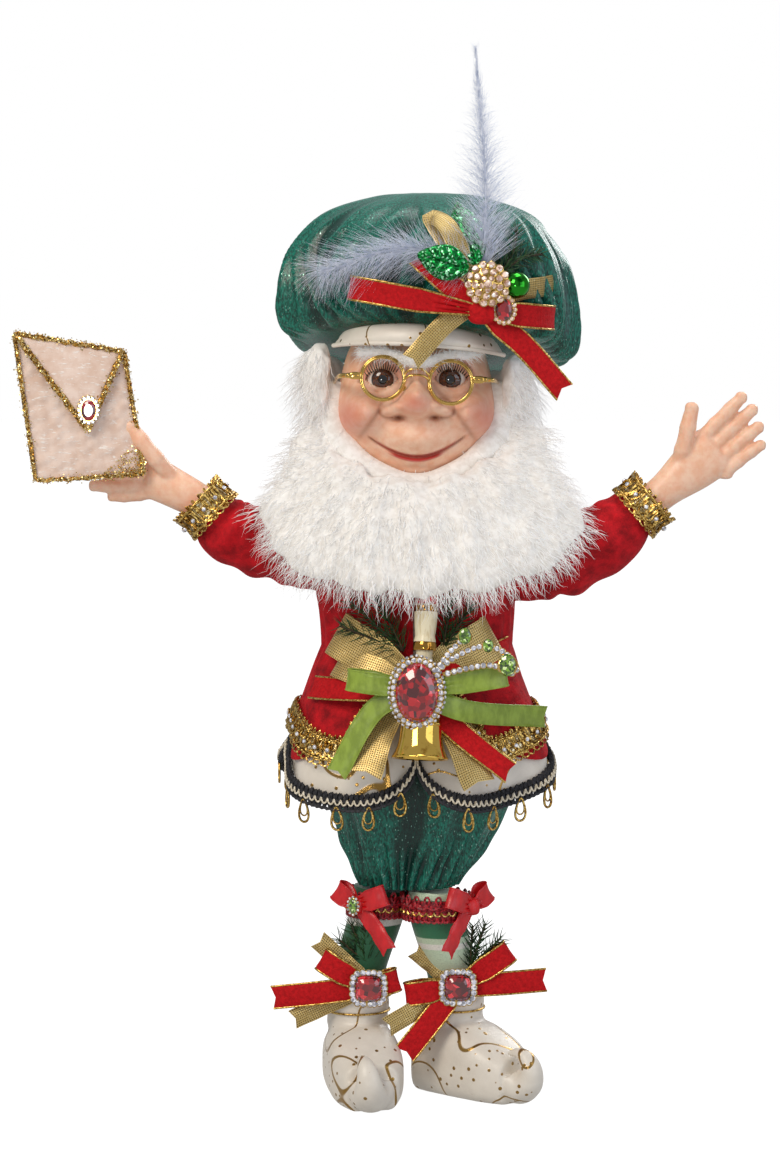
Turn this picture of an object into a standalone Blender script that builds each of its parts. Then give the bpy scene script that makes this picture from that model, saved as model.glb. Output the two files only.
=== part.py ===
"""Elf figurine: a padded cloth doll with a cast head and hands, dressed in velvet, satin and lace.

The figure faces -Y and stands on the flat soles of its two boots at Z = 0.
Right and left are the figure's own, so its right hand, which holds the envelope, is at -X.
All sizes below are millimetres. Meshes are written in metres through MM.
"""

import math

import bmesh
import bpy
import numpy as np
from mathutils import Matrix, Vector
from mathutils.bvhtree import BVHTree

MM = 0.001

# Clearances
FIT = 0.3

# Results of two Boolean solvers that differ by less than this, in cubic metres, are the same
SAME_VOLUME = 1e-10

# Where the body's own axis stands from the origin, which is under the middle of the whole figure
AXIS_X = 10.0
AXIS_Y = 3.1

# Head
HEAD_HALF_WIDTH = 30.0
HEAD_HALF_DEPTH = 29.0
HEAD_HALF_HEIGHT = 37.0
CHIN_Z = 247.0
CHEEK_BULGE = 9.5
JOWL = 0.2
NOSE_LENGTH = 12.5
EYE_RADIUS = 6.6
EYE_SPREAD = 13.2
EYE_RISE = 6.0
HEAD_Z = CHIN_Z + HEAD_HALF_HEIGHT
EYE_Z = HEAD_Z + EYE_RISE
FACE_Y = -HEAD_HALF_DEPTH
BROW_RADIUS = 3.4
BROW_RISE = 9.5

# Spectacles
LENS_RADIUS = 8.3
WIRE_RADIUS = 0.75
TEMPLE_RADIUS = 0.9

# Hair and beard
HAIR_THICKNESS = 15.0
HAIR_DROP = 22.0
BEARD_THICKNESS = 15.0

# Hat
HAT_HALF_WIDTH = 57.0
HAT_HALF_DEPTH = 49.0
HAT_SHIFT_X = 5.0
HAT_SHIFT_Y = 7.0
HAT_TOP_RISE = 79.0
HAT_FRONT_RISE = 31.0
HAT_TIP_BACK = 0.27
HAT_TIP_SIDE = 0.06
HAT_SAG = 9.0
HAT_FOLDS = 8
HAT_FOLD_DEPTH = 0.03
BRIM_WIDTH = 15.0
BRIM_THICKNESS = 2.4
FEATHER_LENGTH = 86.0
FEATHER_RADIUS = 9.5

# Body and coat, as half widths and half depths at each height
COLLAR_Z = 237.0
SHOULDER_Z = 227.0
CHEST_Z = 206.0
WAIST_Z = 183.0
HIP_Z = 160.0
COAT_HEM_Z = 139.5
COAT_HEM_RISE = 10.5
NECK_RADIUS = 11.0
SHOULDER_HALF_WIDTH = 34.0
CHEST_HALF_WIDTH = 40.0
WAIST_HALF_WIDTH = 38.0
HIP_HALF_WIDTH = 47.0
HEM_HALF_WIDTH = 55.0
BODY_DEPTH_RATIO = 0.72
COAT_THICKNESS = 1.4
CLOTH_COLUMNS = 24
COAT_FOLDS = 6
FOLD_DEPTH = 2.4
COLLAR_DROP_FRONT = 30.0
COLLAR_DROP_BACK = 12.5
COLLAR_THICKNESS = 1.2
LACE_WIDTH = 10.0
LACE_THICKNESS = 1.3
SKIRT_TOP_Z = 178.0
SKIRT_SIDE_Z = 142.0
SKIRT_LOBE_DROP = 20.0
SKIRT_THICKNESS = 1.2
SKIRT_VALLEY = 7.0
BRAID_WIDTH = 6.5
BRAID_THICKNESS = 1.6
BRAID_GAP = 1.1
PICOT_LENGTH = 7.5
PICOT_WIDTH = 4.6
PICOT_WIRE = 0.75
PICOTS = 12

# Arms
CUFF_RADIUS = 12.0
CUFF_WIDTH = 9.5
CUFF_THICKNESS = 1.6
FINGER_RADIUS = 2.9
THUMB_RADIUS = 3.4
WRIST_RADIUS = 7.4
PALM_HALF_THICKNESS = 4.6

# Envelope
ENVELOPE_THICKNESS = 1.2
FLAP_RISE = 0.8

# Legs
TROUSER_TOP_Z = 160.0
TROUSER_END_Z = 84.0
TROUSER_HALF_WIDTH = 37.0
TROUSER_FOLDS = 8
STOCKING_TOP_RADIUS = 10.8
STOCKING_ANKLE_RADIUS = 8.6
TRIM_HEIGHT = 9.0
TRIM_THICKNESS = 1.3
BOOT_HEIGHT = 41.0
BOOT_SHAFT_RADIUS = 12.2
BOOT_SHAFT_FLARE = 1.06
BOOT_HALF_WIDTH = 15.0
BOOT_LENGTH = 40.0
BOOT_TOE_CURL_RADIUS = 7.0

# Ribbons
VELVET_WIDTH = 9.0
SATIN_WIDTH = 8.0
MESH_WIDTH = 22.0
NARROW_MESH_WIDTH = 8.0
RIBBON_THICKNESS = 0.9

# Bell
BELL_MOUTH_RADIUS = 11.0
BELL_WALL = 1.2
BELL_HEIGHT = 24.0
BELL_HANDLE_LENGTH = 36.0
BELL_HANDLE_RADIUS = 3.0
BELL_CAP_HEIGHT = 7.0

# Jewels
CHEST_GEM_HALF_WIDTH = 8.2
CHEST_GEM_HALF_HEIGHT = 11.6
STONE_RADIUS = 1.4
GEM_HEIGHT = 3.2
BUCKLE_HALF_WIDTH = 7.4
BROOCH_RADIUS = 8.6
BAUBLE_RADIUS = 5.2


# Colours, roughness and metallic value of each material

LOOKS = {
    "skin": ((0.86, 0.62, 0.50), 0.35, 0.0),
    "eye_glass": ((0.05, 0.02, 0.02), 0.05, 0.0),
    "gold_metal": ((0.80, 0.62, 0.30), 0.25, 1.0),
    "white_mohair": ((0.93, 0.91, 0.88), 0.9, 0.0),
    "green_brocade": ((0.02, 0.24, 0.20), 0.6, 0.1),
    "cream_satin": ((0.90, 0.87, 0.80), 0.45, 0.0),
    "red_velvet": ((0.70, 0.01, 0.02), 0.8, 0.0),
    "red_satin": ((0.75, 0.02, 0.04), 0.35, 0.0),
    "green_satin": ((0.30, 0.42, 0.06), 0.35, 0.0),
    "gold_mesh": ((0.76, 0.66, 0.38), 0.4, 0.6),
    "glitter_leaf": ((0.02, 0.35, 0.12), 0.25, 0.2),
    "pine": ((0.06, 0.15, 0.06), 0.7, 0.0),
    "white_feather": ((0.95, 0.95, 0.98), 0.9, 0.0),
    "silver_stones": ((0.85, 0.85, 0.90), 0.1, 0.8),
    "red_gem": ((0.70, 0.01, 0.03), 0.05, 0.0),
    "green_bauble": ((0.05, 0.35, 0.05), 0.1, 0.8),
    "gold_fabric": ((0.66, 0.54, 0.34), 0.5, 0.4),
    "gold_lace": ((0.72, 0.55, 0.30), 0.45, 0.6),
    "black_braid": ((0.03, 0.03, 0.04), 0.85, 0.0),
    "stuffing": ((0.80, 0.76, 0.70), 0.9, 0.0),
    "card": ((0.80, 0.68, 0.60), 0.7, 0.0),
    "cream_wood": ((0.90, 0.86, 0.72), 0.5, 0.0),
    "brass": ((0.80, 0.62, 0.25), 0.2, 1.0),
    "striped_stocking": ((0.70, 0.80, 0.64), 0.7, 0.0),
    "red_trim": ((0.55, 0.03, 0.06), 0.6, 0.0),
}


def material(name):
    """The Principled material of this name, made once."""
    found = bpy.data.materials.get(name)
    if found:
        return found
    colour, roughness, metallic = LOOKS[name]
    made = bpy.data.materials.new(name)
    made.use_nodes = True
    made.diffuse_color = (*colour, 1.0)
    shader = made.node_tree.nodes["Principled BSDF"]
    shader.inputs["Base Color"].default_value = (*colour, 1.0)
    shader.inputs["Roughness"].default_value = roughness
    shader.inputs["Metallic"].default_value = metallic
    return made


# Building solids from rings of points


def make_object(name, points, faces, look):
    """A closed mesh object from points in millimetres, with its faces turned outwards."""
    mesh = bpy.data.meshes.new(name)
    mesh.from_pydata([tuple(Vector(p) * MM) for p in points], [], faces)
    work = bmesh.new()
    work.from_mesh(mesh)
    bmesh.ops.remove_doubles(work, verts=work.verts, dist=1e-7)
    bmesh.ops.triangulate(work, faces=work.faces)
    bmesh.ops.recalc_face_normals(work, faces=work.faces)
    work.to_mesh(mesh)
    work.free()
    mesh.materials.append(material(look))
    mesh.shade_smooth()
    mesh.set_sharp_from_angle(angle=math.radians(50))
    made = bpy.data.objects.new(name, mesh)
    bpy.context.scene.collection.objects.link(made)
    return made


def ring_faces(rings, count, first_ring=0, closed=False):
    """Quads between consecutive rings of count points each."""
    faces = []
    for ring in range(rings if closed else rings - 1):
        here = first_ring + ring * count
        there = first_ring + ((ring + 1) % rings) * count
        for i in range(count):
            j = (i + 1) % count
            faces.append((here + i, here + j, there + j, there + i))
    return faces


def loft(name, rings, look):
    """A solid through closed rings of points, with its two ends capped."""
    rings = np.asarray(rings, float)
    count = rings.shape[1]
    faces = ring_faces(len(rings), count)
    faces.append(tuple(range(count))[::-1])
    last = (len(rings) - 1) * count
    faces.append(tuple(range(last, last + count)))
    return make_object(name, rings.reshape(-1, 3), faces, look)


def band(name, rings, look):
    """A ring-shaped solid: the last ring of points joins the first."""
    rings = np.asarray(rings, float)
    faces = ring_faces(len(rings), rings.shape[1], closed=True)
    return make_object(name, rings.reshape(-1, 3), faces, look)


def grid_normals(grid, around):
    """Unit normals of a grid of points, rows by columns, as the cross product of its two directions."""
    if around:
        across = np.roll(grid, -1, axis=1) - np.roll(grid, 1, axis=1)
    else:
        across = np.gradient(grid, axis=1)
    along = np.gradient(grid, axis=0)
    normals = np.cross(across, along)
    return normals / np.maximum(np.linalg.norm(normals, axis=2, keepdims=True), 1e-9)


def sheet(name, grid, thickness, look, around=False):
    """A cloth-like solid: the grid is one face, and the other lies thickness away along its normals."""
    grid = np.asarray(grid, float)
    rows, columns, _ = grid.shape
    other = grid + grid_normals(grid, around) * thickness
    points = np.concatenate([grid.reshape(-1, 3), other.reshape(-1, 3)])
    far = rows * columns
    faces = []
    for r in range(rows - 1):
        for c in range(columns if around else columns - 1):
            d = (c + 1) % columns
            a, b = r * columns + c, r * columns + d
            e, f = a + columns, b + columns
            faces.append((a, b, f, e))
            faces.append((far + a, far + e, far + f, far + b))
    for c in range(columns if around else columns - 1):
        d = (c + 1) % columns
        low = (rows - 1) * columns
        faces.append((c, far + c, far + d, d))
        faces.append((low + c, low + d, far + low + d, far + low + c))
    if not around:
        for r in range(rows - 1):
            a, b = r * columns, (r + 1) * columns
            last = columns - 1
            faces.append((a, b, far + b, far + a))
            faces.append((a + last, far + a + last, far + b + last, b + last))
    return make_object(name, points, faces, look)


def unit(vector):
    vector = np.asarray(vector, float)
    return vector / np.maximum(np.linalg.norm(vector, axis=-1, keepdims=True), 1e-9)


def smooth_path(points, count):
    """count points on a Catmull-Rom curve through the given points."""
    points = np.asarray(points, float)
    padded = np.concatenate([[2 * points[0] - points[1]], points, [2 * points[-1] - points[-2]]])
    spans = len(points) - 1
    found = []
    for t in np.linspace(0, spans, count):
        i = min(int(t), spans - 1)
        f = t - i
        p0, p1, p2, p3 = padded[i : i + 4]
        found.append(
            0.5 * (2 * p1 + (p2 - p0) * f + (2 * p0 - 5 * p1 + 4 * p2 - p3) * f**2
                   + (3 * p1 - p0 - 3 * p2 + p3) * f**3)
        )
    return np.array(found)


def frames_along(path, closed=False):
    """Tangents, sides and ups along a path, carried from point to point without twisting."""
    if closed:
        tangents = unit(np.roll(path, -1, axis=0) - np.roll(path, 1, axis=0))
    else:
        tangents = unit(np.gradient(path, axis=0))
    side = np.cross(tangents[0], (0.0, 0.0, 1.0))
    if np.linalg.norm(side) < 0.2:
        side = np.cross(tangents[0], (0.0, 1.0, 0.0))
    sides = []
    for tangent in tangents:
        side = unit(side - tangent * np.dot(side, tangent))
        sides.append(side)
    sides = np.array(sides)
    return tangents, sides, np.cross(sides, tangents)


def tube_rings(path, radii, count, flatten=1.0):
    """Rings of count points round a path; flatten scales them across their second direction."""
    path = np.asarray(path, float)
    radii = np.broadcast_to(np.asarray(radii, float), (len(path),))
    _, sides, ups = frames_along(path)
    turn = np.linspace(0, 2 * math.pi, count, endpoint=False)
    ring = np.cos(turn)[None, :, None] * sides[:, None] + flatten * np.sin(turn)[None, :, None] * ups[:, None]
    return path[:, None] + ring * radii[:, None, None]


def tube(name, path, radii, count, look, flatten=1.0):
    return loft(name, tube_rings(path, radii, count, flatten), look)


def hoop(name, path, radius, count, look):
    """A closed tube round a closed path."""
    path = np.asarray(path, float)
    tangents = unit(np.roll(path, -1, axis=0) - np.roll(path, 1, axis=0))
    middle = path.mean(axis=0)
    outward = unit(path - middle)
    outward = unit(outward - tangents * (outward * tangents).sum(1, keepdims=True))
    ups = np.cross(tangents, outward)
    turn = np.linspace(0, 2 * math.pi, count, endpoint=False)
    ring = np.cos(turn)[None, :, None] * outward[:, None] + np.sin(turn)[None, :, None] * ups[:, None]
    return band(name, path[:, None] + ring * radius, look)


def strip_rings(path, across, width, thickness=RIBBON_THICKNESS, closed=False):
    """Rectangular rings of a flat ribbon whose width runs along across at each point of the path."""
    path = np.asarray(path, float)
    across = unit(np.broadcast_to(np.asarray(across, float), path.shape))
    if closed:
        tangents = unit(np.roll(path, -1, axis=0) - np.roll(path, 1, axis=0))
    else:
        tangents = unit(np.gradient(path, axis=0))
    across = unit(across - tangents * (across * tangents).sum(1, keepdims=True))
    normal = np.cross(tangents, across)
    width = np.broadcast_to(np.asarray(width, float), (len(path),))[:, None]
    a, n = across * width / 2, normal * thickness / 2
    return np.stack([path - a - n, path + a - n, path + a + n, path - a + n], axis=1)


def turned(name, profile, centre, count, look, axis=(0, 0, 1)):
    """A solid of revolution: profile is a list of (radius, height) up the axis, from tip to tip."""
    axis = unit(axis)
    side = unit(np.cross(axis, (0.0, 1.0, 0.0)) if abs(axis[1]) < 0.9 else np.cross(axis, (1.0, 0.0, 0.0)))
    other = np.cross(axis, side)
    turn = np.linspace(0, 2 * math.pi, count, endpoint=False)
    rings = [
        np.asarray(centre, float) + axis * h
        + r * (np.cos(turn)[:, None] * side + np.sin(turn)[:, None] * other)
        for r, h in profile
    ]
    return loft(name, rings, look)


# Joining pieces, and cutting one round another


def bake(made):
    """Replaces an object's mesh with the one its modifiers give."""
    bpy.context.view_layer.update()
    graph = bpy.context.evaluated_depsgraph_get()
    result = bpy.data.meshes.new_from_object(made.evaluated_get(graph))
    made.modifiers.clear()
    made.data = result
    return made


def volume(mesh):
    """The volume a mesh holds, in cubic metres, or 0 when its surface isn't closed."""
    work = bmesh.new()
    work.from_mesh(mesh)
    closed = bool(work.edges) and all(len(edge.link_faces) == 2 for edge in work.edges)
    held = work.calc_volume(signed=True) if closed else 0.0
    work.free()
    return held


def boolean(made, other, operation):
    """Joins or cuts with the EXACT solver; where that gives another volume than MANIFOLD, it failed and MANIFOLD stays."""
    start = made.data
    results = {}
    for solver in ("MANIFOLD", "EXACT"):
        made.data = start.copy()
        modifier = made.modifiers.new("boolean", "BOOLEAN")
        modifier.operation = operation
        modifier.object = other
        modifier.solver = solver
        bake(made)
        results[solver] = made.data
    if abs(volume(results["EXACT"]) - volume(results["MANIFOLD"])) > SAME_VOLUME:
        made.data = results["MANIFOLD"]


def join(name, pieces):
    """One solid from overlapping pieces; the first gives the look. Each is shifted by a hair, so no faces coincide."""
    whole = pieces[0]
    for index, piece in enumerate(pieces[1:], 1):
        piece.data.transform(Matrix.Translation(Vector((0.031, 0.047, 0.023)) * index * MM))
        boolean(whole, piece, "UNION")
        bpy.data.objects.remove(piece)
    whole.name = name
    whole.data.name = name
    return keep_largest(whole)


def inflated(made, gap):
    """A hidden copy of a piece, grown by gap on every side, to cut its neighbours with."""
    cutter = bpy.data.objects.new(made.name + ".cutter", made.data.copy())
    work = bmesh.new()
    work.from_mesh(cutter.data)
    work.normal_update()
    moves = [v.normal * gap * MM * min(v.calc_shell_factor(), 2.0) for v in work.verts]
    for vertex, move in zip(work.verts, moves):
        vertex.co += move
    work.to_mesh(cutter.data)
    work.free()
    bpy.context.scene.collection.objects.link(cutter)
    cutter.hide_render = True
    cutter.display_type = "WIRE"
    return cutter


def islands(work):
    """The connected groups of faces of a bmesh; an edge with more than two faces connects nothing."""
    left = set(work.faces)
    groups = []
    while left:
        stack = [left.pop()]
        group = []
        while stack:
            face = stack.pop()
            group.append(face)
            for edge in face.edges:
                if len(edge.link_faces) != 2:
                    continue
                for near in edge.link_faces:
                    if near in left:
                        left.discard(near)
                        stack.append(near)
        groups.append(group)
    return groups


def size_of(group):
    """The volume that a closed group of faces holds."""
    total = 0.0
    for face in group:
        first = face.verts[0].co
        for a, b in zip(face.verts[1:], face.verts[2:]):
            total += first.dot(a.co.cross(b.co))
    return total / 6


def drop_scraps(work):
    """Leaves only the largest of a bmesh's connected bodies, without the scraps and hollows that a cut makes."""
    groups = islands(work)
    groups.sort(key=size_of)
    scraps = [face for group in groups[:-1] for face in group]
    bmesh.ops.delete(work, geom=scraps, context="FACES")


def keep_largest(made):
    """Removes the scraps that a cut leaves, and then collapsed faces where the surface stays closed."""
    work = bmesh.new()
    work.from_mesh(made.data)
    drop_scraps(work)
    work.to_mesh(made.data)
    tidy = made.data.copy()
    bmesh.ops.remove_doubles(work, verts=work.verts, dist=3e-6)
    bmesh.ops.dissolve_degenerate(work, edges=work.edges, dist=3e-6)
    work.to_mesh(tidy)
    work.free()
    if volume(tidy) > 0.99 * volume(made.data):
        made.data = tidy
    return made


def tree_of(made):
    work = bmesh.new()
    work.from_mesh(made.data)
    found = BVHTree.FromBMesh(work)
    work.free()
    return found


def corners(made):
    points = np.empty(len(made.data.vertices) * 3)
    made.data.vertices.foreach_get("co", points)
    points = points.reshape(-1, 3)
    return points.min(axis=0), points.max(axis=0)


def apart(a, b, gap):
    """Whether two pieces' boxes are more than gap from each other."""
    low_a, high_a = corners(a)
    low_b, high_b = corners(b)
    return bool((low_a - gap * MM > high_b).any() or (low_b - gap * MM > high_a).any())


def settle(pieces):
    """Cuts each piece round those before it, so that neighbours lie FIT apart and none overlap."""
    for index, soft in enumerate(pieces):
        for hard in pieces[:index]:
            if apart(hard, soft, FIT):
                continue
            cutter = inflated(hard, FIT)
            if tree_of(cutter).overlap(tree_of(soft)):
                boolean(soft, cutter, "DIFFERENCE")
                keep_largest(soft)
            bpy.data.objects.remove(cutter)
    for piece in pieces:
        work = bmesh.new()
        work.from_mesh(piece.data)
        bmesh.ops.triangulate(work, faces=work.faces)
        drop_scraps(work)
        work.to_mesh(piece.data)
        work.free()


# Head and face


def face_relief(x, z):
    """How far the face stands out at x, z, in millimetres: cheeks, nose, lip, chin, brow and creases as soft bumps."""

    def bump(cx, cz, sx, sz, height):
        return height * np.exp(-(((x - cx) / sx) ** 2) - ((z - cz) / sz) ** 2)

    z = z - HEAD_Z
    relief = bump(0, -2, 5.0, 7.0, NOSE_LENGTH) + bump(0, 6, 3.6, 6.0, 4.0)
    for side in (-1, 1):
        relief = relief + bump(side * 22.5, -9, 9.5, 9.0, CHEEK_BULGE)
        relief = relief + bump(side * 8.5, -5.0, 4.0, 3.6, 5.5)
        relief = relief - bump(side * EYE_SPREAD, EYE_RISE, 7.0, 4.6, 3.6)
        relief = relief + bump(side * EYE_SPREAD, 15, 8.0, 4.5, 2.5)
    relief = relief + bump(0, -16, 13.0, 6.5, 6.5)
    relief = relief + bump(0, -30, 9.5, 6.0, 6.5)
    smile = -24 + 9 * (x / 17) ** 2
    relief = relief - 2.2 * np.exp(-(((z - smile) / 1.6) ** 2)) * (np.abs(x) < 17)
    return relief


def head():
    """The cast head: an egg with the face's relief on its front, cut off under the hat and at the neck."""
    around, rows = 22, 15
    w = np.arange(around) / around
    phi = 2 * math.pi * w - 0.66 * np.sin(2 * math.pi * w)
    share = np.linspace(0.0, 1.0, rows)
    theta = 0.30 + (math.pi - 0.30 - 0.34) * (share - 0.05 * np.sin(2 * math.pi * share))
    phi, theta = np.meshgrid(phi, theta)
    x = HEAD_HALF_WIDTH * np.sin(phi) * np.sin(theta)
    y = -HEAD_HALF_DEPTH * np.cos(phi) * np.sin(theta)
    z = HEAD_Z + HEAD_HALF_HEIGHT * np.cos(theta)
    front = np.clip(-y / HEAD_HALF_DEPTH * 1.25, 0, 1) ** 1.5
    y = y - front * face_relief(x, z)
    jowl = np.exp(-(((z - HEAD_Z + 14) / 15) ** 2)) * np.clip(-y / HEAD_HALF_DEPTH + 0.35, 0, 1)
    x = x * (1 + JOWL * jowl)
    z = np.minimum(z, hat_under(x, y) - 0.5)
    return loft("head", np.stack([x, y, z], axis=2), "skin")


def eye(side, name):
    """A glass eye set into the head."""
    profile = [
        (EYE_RADIUS * math.sin(a), -EYE_RADIUS * math.cos(a))
        for a in np.linspace(0.4, math.pi - 0.4, 5)
    ]
    centre = (side * EYE_SPREAD, FACE_Y + 9.3, EYE_Z)
    return turned(name, profile, centre, 8, "eye_glass", axis=(0, -1, 0))


def spectacles():
    """Round wire rims, an arched bridge, hinge blocks and temples that reach back over the ears."""
    rim_y = FACE_Y - 7.0
    tilt = 0.8
    pieces = []
    gap = EYE_SPREAD - LENS_RADIUS
    bridge = smooth_path([
        (-gap - 0.4, rim_y, EYE_Z + 1.0), (-gap * 0.55, rim_y - 0.8, EYE_Z + 3.6),
        (gap * 0.55, rim_y - 0.8, EYE_Z + 3.4), (gap + 0.4, rim_y, EYE_Z + 0.4)], 4)
    pieces.append(tube("bridge", bridge, WIRE_RADIUS * 1.2, 4, "gold_metal"))
    for side in (-1, 1):
        centre = np.array((side * EYE_SPREAD, rim_y, EYE_Z - side * tilt))
        turn = np.linspace(0, 2 * math.pi, 12, endpoint=False)
        path = centre + LENS_RADIUS * np.stack([np.cos(turn), 0 * turn, np.sin(turn)], axis=1)
        pieces.append(hoop("rim", path, WIRE_RADIUS * 1.1, 3, "gold_metal"))
        hinge_x = side * (EYE_SPREAD + LENS_RADIUS)
        ear_x = side * (HEAD_HALF_WIDTH + 2.4)
        path = [
            (hinge_x - side * 0.4, rim_y, EYE_Z - side * tilt + 1),
            (hinge_x + side * 5.0, rim_y, EYE_Z - side * tilt + 1),
            (ear_x + side * 2.0, rim_y + 10.0, EYE_Z),
            (ear_x, FACE_Y + 24, EYE_Z - 2),
        ]
        pieces.append(tube("temple", path, TEMPLE_RADIUS * 1.1, 3, "gold_metal"))
    return join("spectacles", pieces)


def eyebrows():
    """The tuft of white fur across the brow, thick in the middle."""
    y = FACE_Y - 2.0
    z = EYE_Z + BROW_RISE
    path = smooth_path([(-19, y + 5, z + 1.5), (-8, y + 1, z + 0.5), (2, y, z - 1.0), (12, y + 1, z + 0.8), (22, y + 8, z + 2)], 6)
    radii = BROW_RADIUS * np.array([0.4, 0.85, 1.15, 1.3, 0.9, 0.4])
    return tube("eyebrows", path, radii, 6, "white_mohair")


def hair():
    """The wig: a thick roll of curls from temple to temple round the back of the head."""
    steps, count = 17, 8
    turn = np.linspace(math.radians(-114), math.radians(114), steps)
    rings = []
    for i, angle in enumerate(turn):
        share = abs(angle) / turn[-1]
        half = HAIR_THICKNESS / 2 * (1 - 0.15 * share) * (1 + 0.12 * math.sin(i * 2.3))
        ends = 0.6 if i in (0, steps - 1) else 1.0
        outward = np.array((math.sin(angle), math.cos(angle), 0.0))
        reach_x = HEAD_HALF_WIDTH + 1.6 + half + 2.0 * share
        reach_y = HEAD_HALF_DEPTH + 1.0 + half
        centre = np.array((outward[0] * reach_x, outward[1] * reach_y, 0.0))
        top = min(hat_under(centre[0] + d * half, centre[1] + e * half) for d in (-1, 1) for e in (-1, 1)) - 0.2
        low = EYE_Z - HAIR_DROP + 4 * share - 6 * (1 - share) + 1.5 * math.cos(i * 1.9)
        tall = (top - low) / 2 * ends
        centre[2] = (top + low) / 2
        ring = []
        for a in np.linspace(0, 2 * math.pi, count, endpoint=False):
            across, rise = math.cos(a), math.sin(a)
            ring.append(centre + outward * half * ends * np.sign(across) * abs(across) ** 0.7
                        + np.array((0, 0, 1.0)) * tall * np.sign(rise) * abs(rise) ** 0.8)
        rings.append(ring)
    return loft("hair", rings, "white_mohair")


def beard():
    """The full beard: a crescent of mohair under the jaw that hangs over the chest in locks."""
    # From the right jaw round the chin to the left jaw: the edge on the face, and the edge of the tips.
    steps = 17
    inner = smooth_path([
        (-31, -7, HEAD_Z - 12), (-27, -15, HEAD_Z - 22), (-14, -24, HEAD_Z - 31), (0, -27, HEAD_Z - 33),
        (14, -24, HEAD_Z - 31), (28, -15, HEAD_Z - 22), (32, -7, HEAD_Z - 12)], steps)
    outer = smooth_path([
        (-42, -4, HEAD_Z - 14), (-61, -16, HEAD_Z - 49), (-47, -32, HEAD_Z - 71), (-22, -40, HEAD_Z - 78),
        (3, -42, HEAD_Z - 80), (27, -40, HEAD_Z - 78), (50, -32, HEAD_Z - 71), (65, -16, HEAD_Z - 53),
        (46, -4, HEAD_Z - 14)], steps)
    rings = []
    turn = np.linspace(0, 2 * math.pi, 10, endpoint=False)
    for i, (near, far) in enumerate(zip(inner, outer)):
        share = i / (steps - 1)
        lock = 1 + 0.07 * math.cos(math.pi * i)
        depth = BEARD_THICKNESS / 2 * (0.6 + 0.4 * math.sin(math.pi * share)) * lock
        side = 2 * share - 1
        forward = unit((0.8 * side * abs(side), -1.0, 0.25))
        middle = (near + far) / 2 + forward * depth * 0.75
        reach = (far - near) / 2 * (1 + 0.04 * math.cos(math.pi * i))
        ring = []
        for a in turn:
            bulge = math.sin(a)
            ring.append(middle + reach * math.cos(a) + forward * depth * (bulge if bulge > 0 else bulge * 0.7))
        rings.append(ring)
    return loft("beard", rings, "white_mohair")


def hat_under(x, y):
    """Height of the flat underside of the hat, which tips down to the back and to the left."""
    return HEAD_Z + HAT_FRONT_RISE - HAT_TIP_BACK * (y - (HAT_SHIFT_Y - HAT_HALF_DEPTH)) - HAT_TIP_SIDE * x


# Hat, from its flat underside over the rim to the top: share of the radius, and height

HAT_LEVELS = (
    (0.45, 0.0, 0.0), (0.80, 0.0, 0.5), (0.97, 0.12, 1.0), (1.00, 0.36, 1.0), (0.93, 0.62, 0.9),
    (0.72, 0.86, 0.6), (0.38, 0.975, 0.3), (0.12, 1.0, 0.0),
)


def hat_point(phi, share, height, gather):
    """A point of the hat's cloth: phi from the front, share of the full radius, height from 0, the rim, to 1."""
    fold = 1 + gather * HAT_FOLD_DEPTH * (math.sin(HAT_FOLDS * phi) + 0.4 * math.sin(3 * phi + 1))
    x = HAT_SHIFT_X + HAT_HALF_WIDTH * share * fold * math.sin(phi)
    y = HAT_SHIFT_Y - HAT_HALF_DEPTH * share * fold * math.cos(phi)
    low = hat_under(x, y) - HAT_SAG * max(0.0, share - 0.8) * 5 * (1 - height) * (1 - math.cos(phi)) / 2
    low = low - 22 * max(0.0, share - 0.8) * max(0.0, math.sin(phi) - 0.3) * (1 - height)
    top = HEAD_Z + HAT_TOP_RISE
    return x, y, low + (top - low) * height


def hat_crown():
    """The gathered cloth crown, padded, which overhangs its band all round."""
    turn = np.linspace(0, 2 * math.pi, 28, endpoint=False)
    rings = [[hat_point(a, *level) for a in turn] for level in HAT_LEVELS]
    return loft("hat_crown", rings, "green_brocade")


def hat_front(x, z, out=0.0):
    """The point at x, z that stands out millimetres in front of the hat's cloth."""
    low = HEAD_Z + HAT_FRONT_RISE
    height = (z - low) / (HEAD_Z + HAT_TOP_RISE - low)
    share = np.interp(height, [level[1] for level in HAT_LEVELS[2:]], [level[0] for level in HAT_LEVELS[2:]])
    across = min(abs(x - HAT_SHIFT_X) / (HAT_HALF_WIDTH * share), 0.97)
    y = HAT_SHIFT_Y - HAT_HALF_DEPTH * share * math.sqrt(1 - across**2)
    return np.array((x, y - out * (1 + 0.6 * across), z))


def drape(surface, points, count):
    """Points on a smooth path of (x, z, distance out) over a surface, and the surface's outward direction at each."""
    path = smooth_path(points, count)
    placed = np.array([surface(x, z, out) for x, z, out in path])
    return placed, np.array([outwards(surface, x, z, out) for x, z, out in path])


def outwards(surface, x, z, out):
    """The direction that a surface faces at x, z."""
    across = surface(x + 2.0, z, out) - surface(x - 2.0, z, out)
    upwards = surface(x, z + 2.0, out) - surface(x, z - 2.0, out)
    return unit(np.cross(across, upwards))


def draped_ribbon(name, surface, points, width, look, count=4):
    """A ribbon that lies over a surface, pinched where it starts in its knot."""
    path, facing = drape(surface, points, count)
    across = np.cross(unit(np.gradient(path, axis=0)), facing)
    widths = np.full(count, float(width))
    widths[0] = width * 0.5
    return loft(name, strip_rings(path, across, widths), look)


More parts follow.
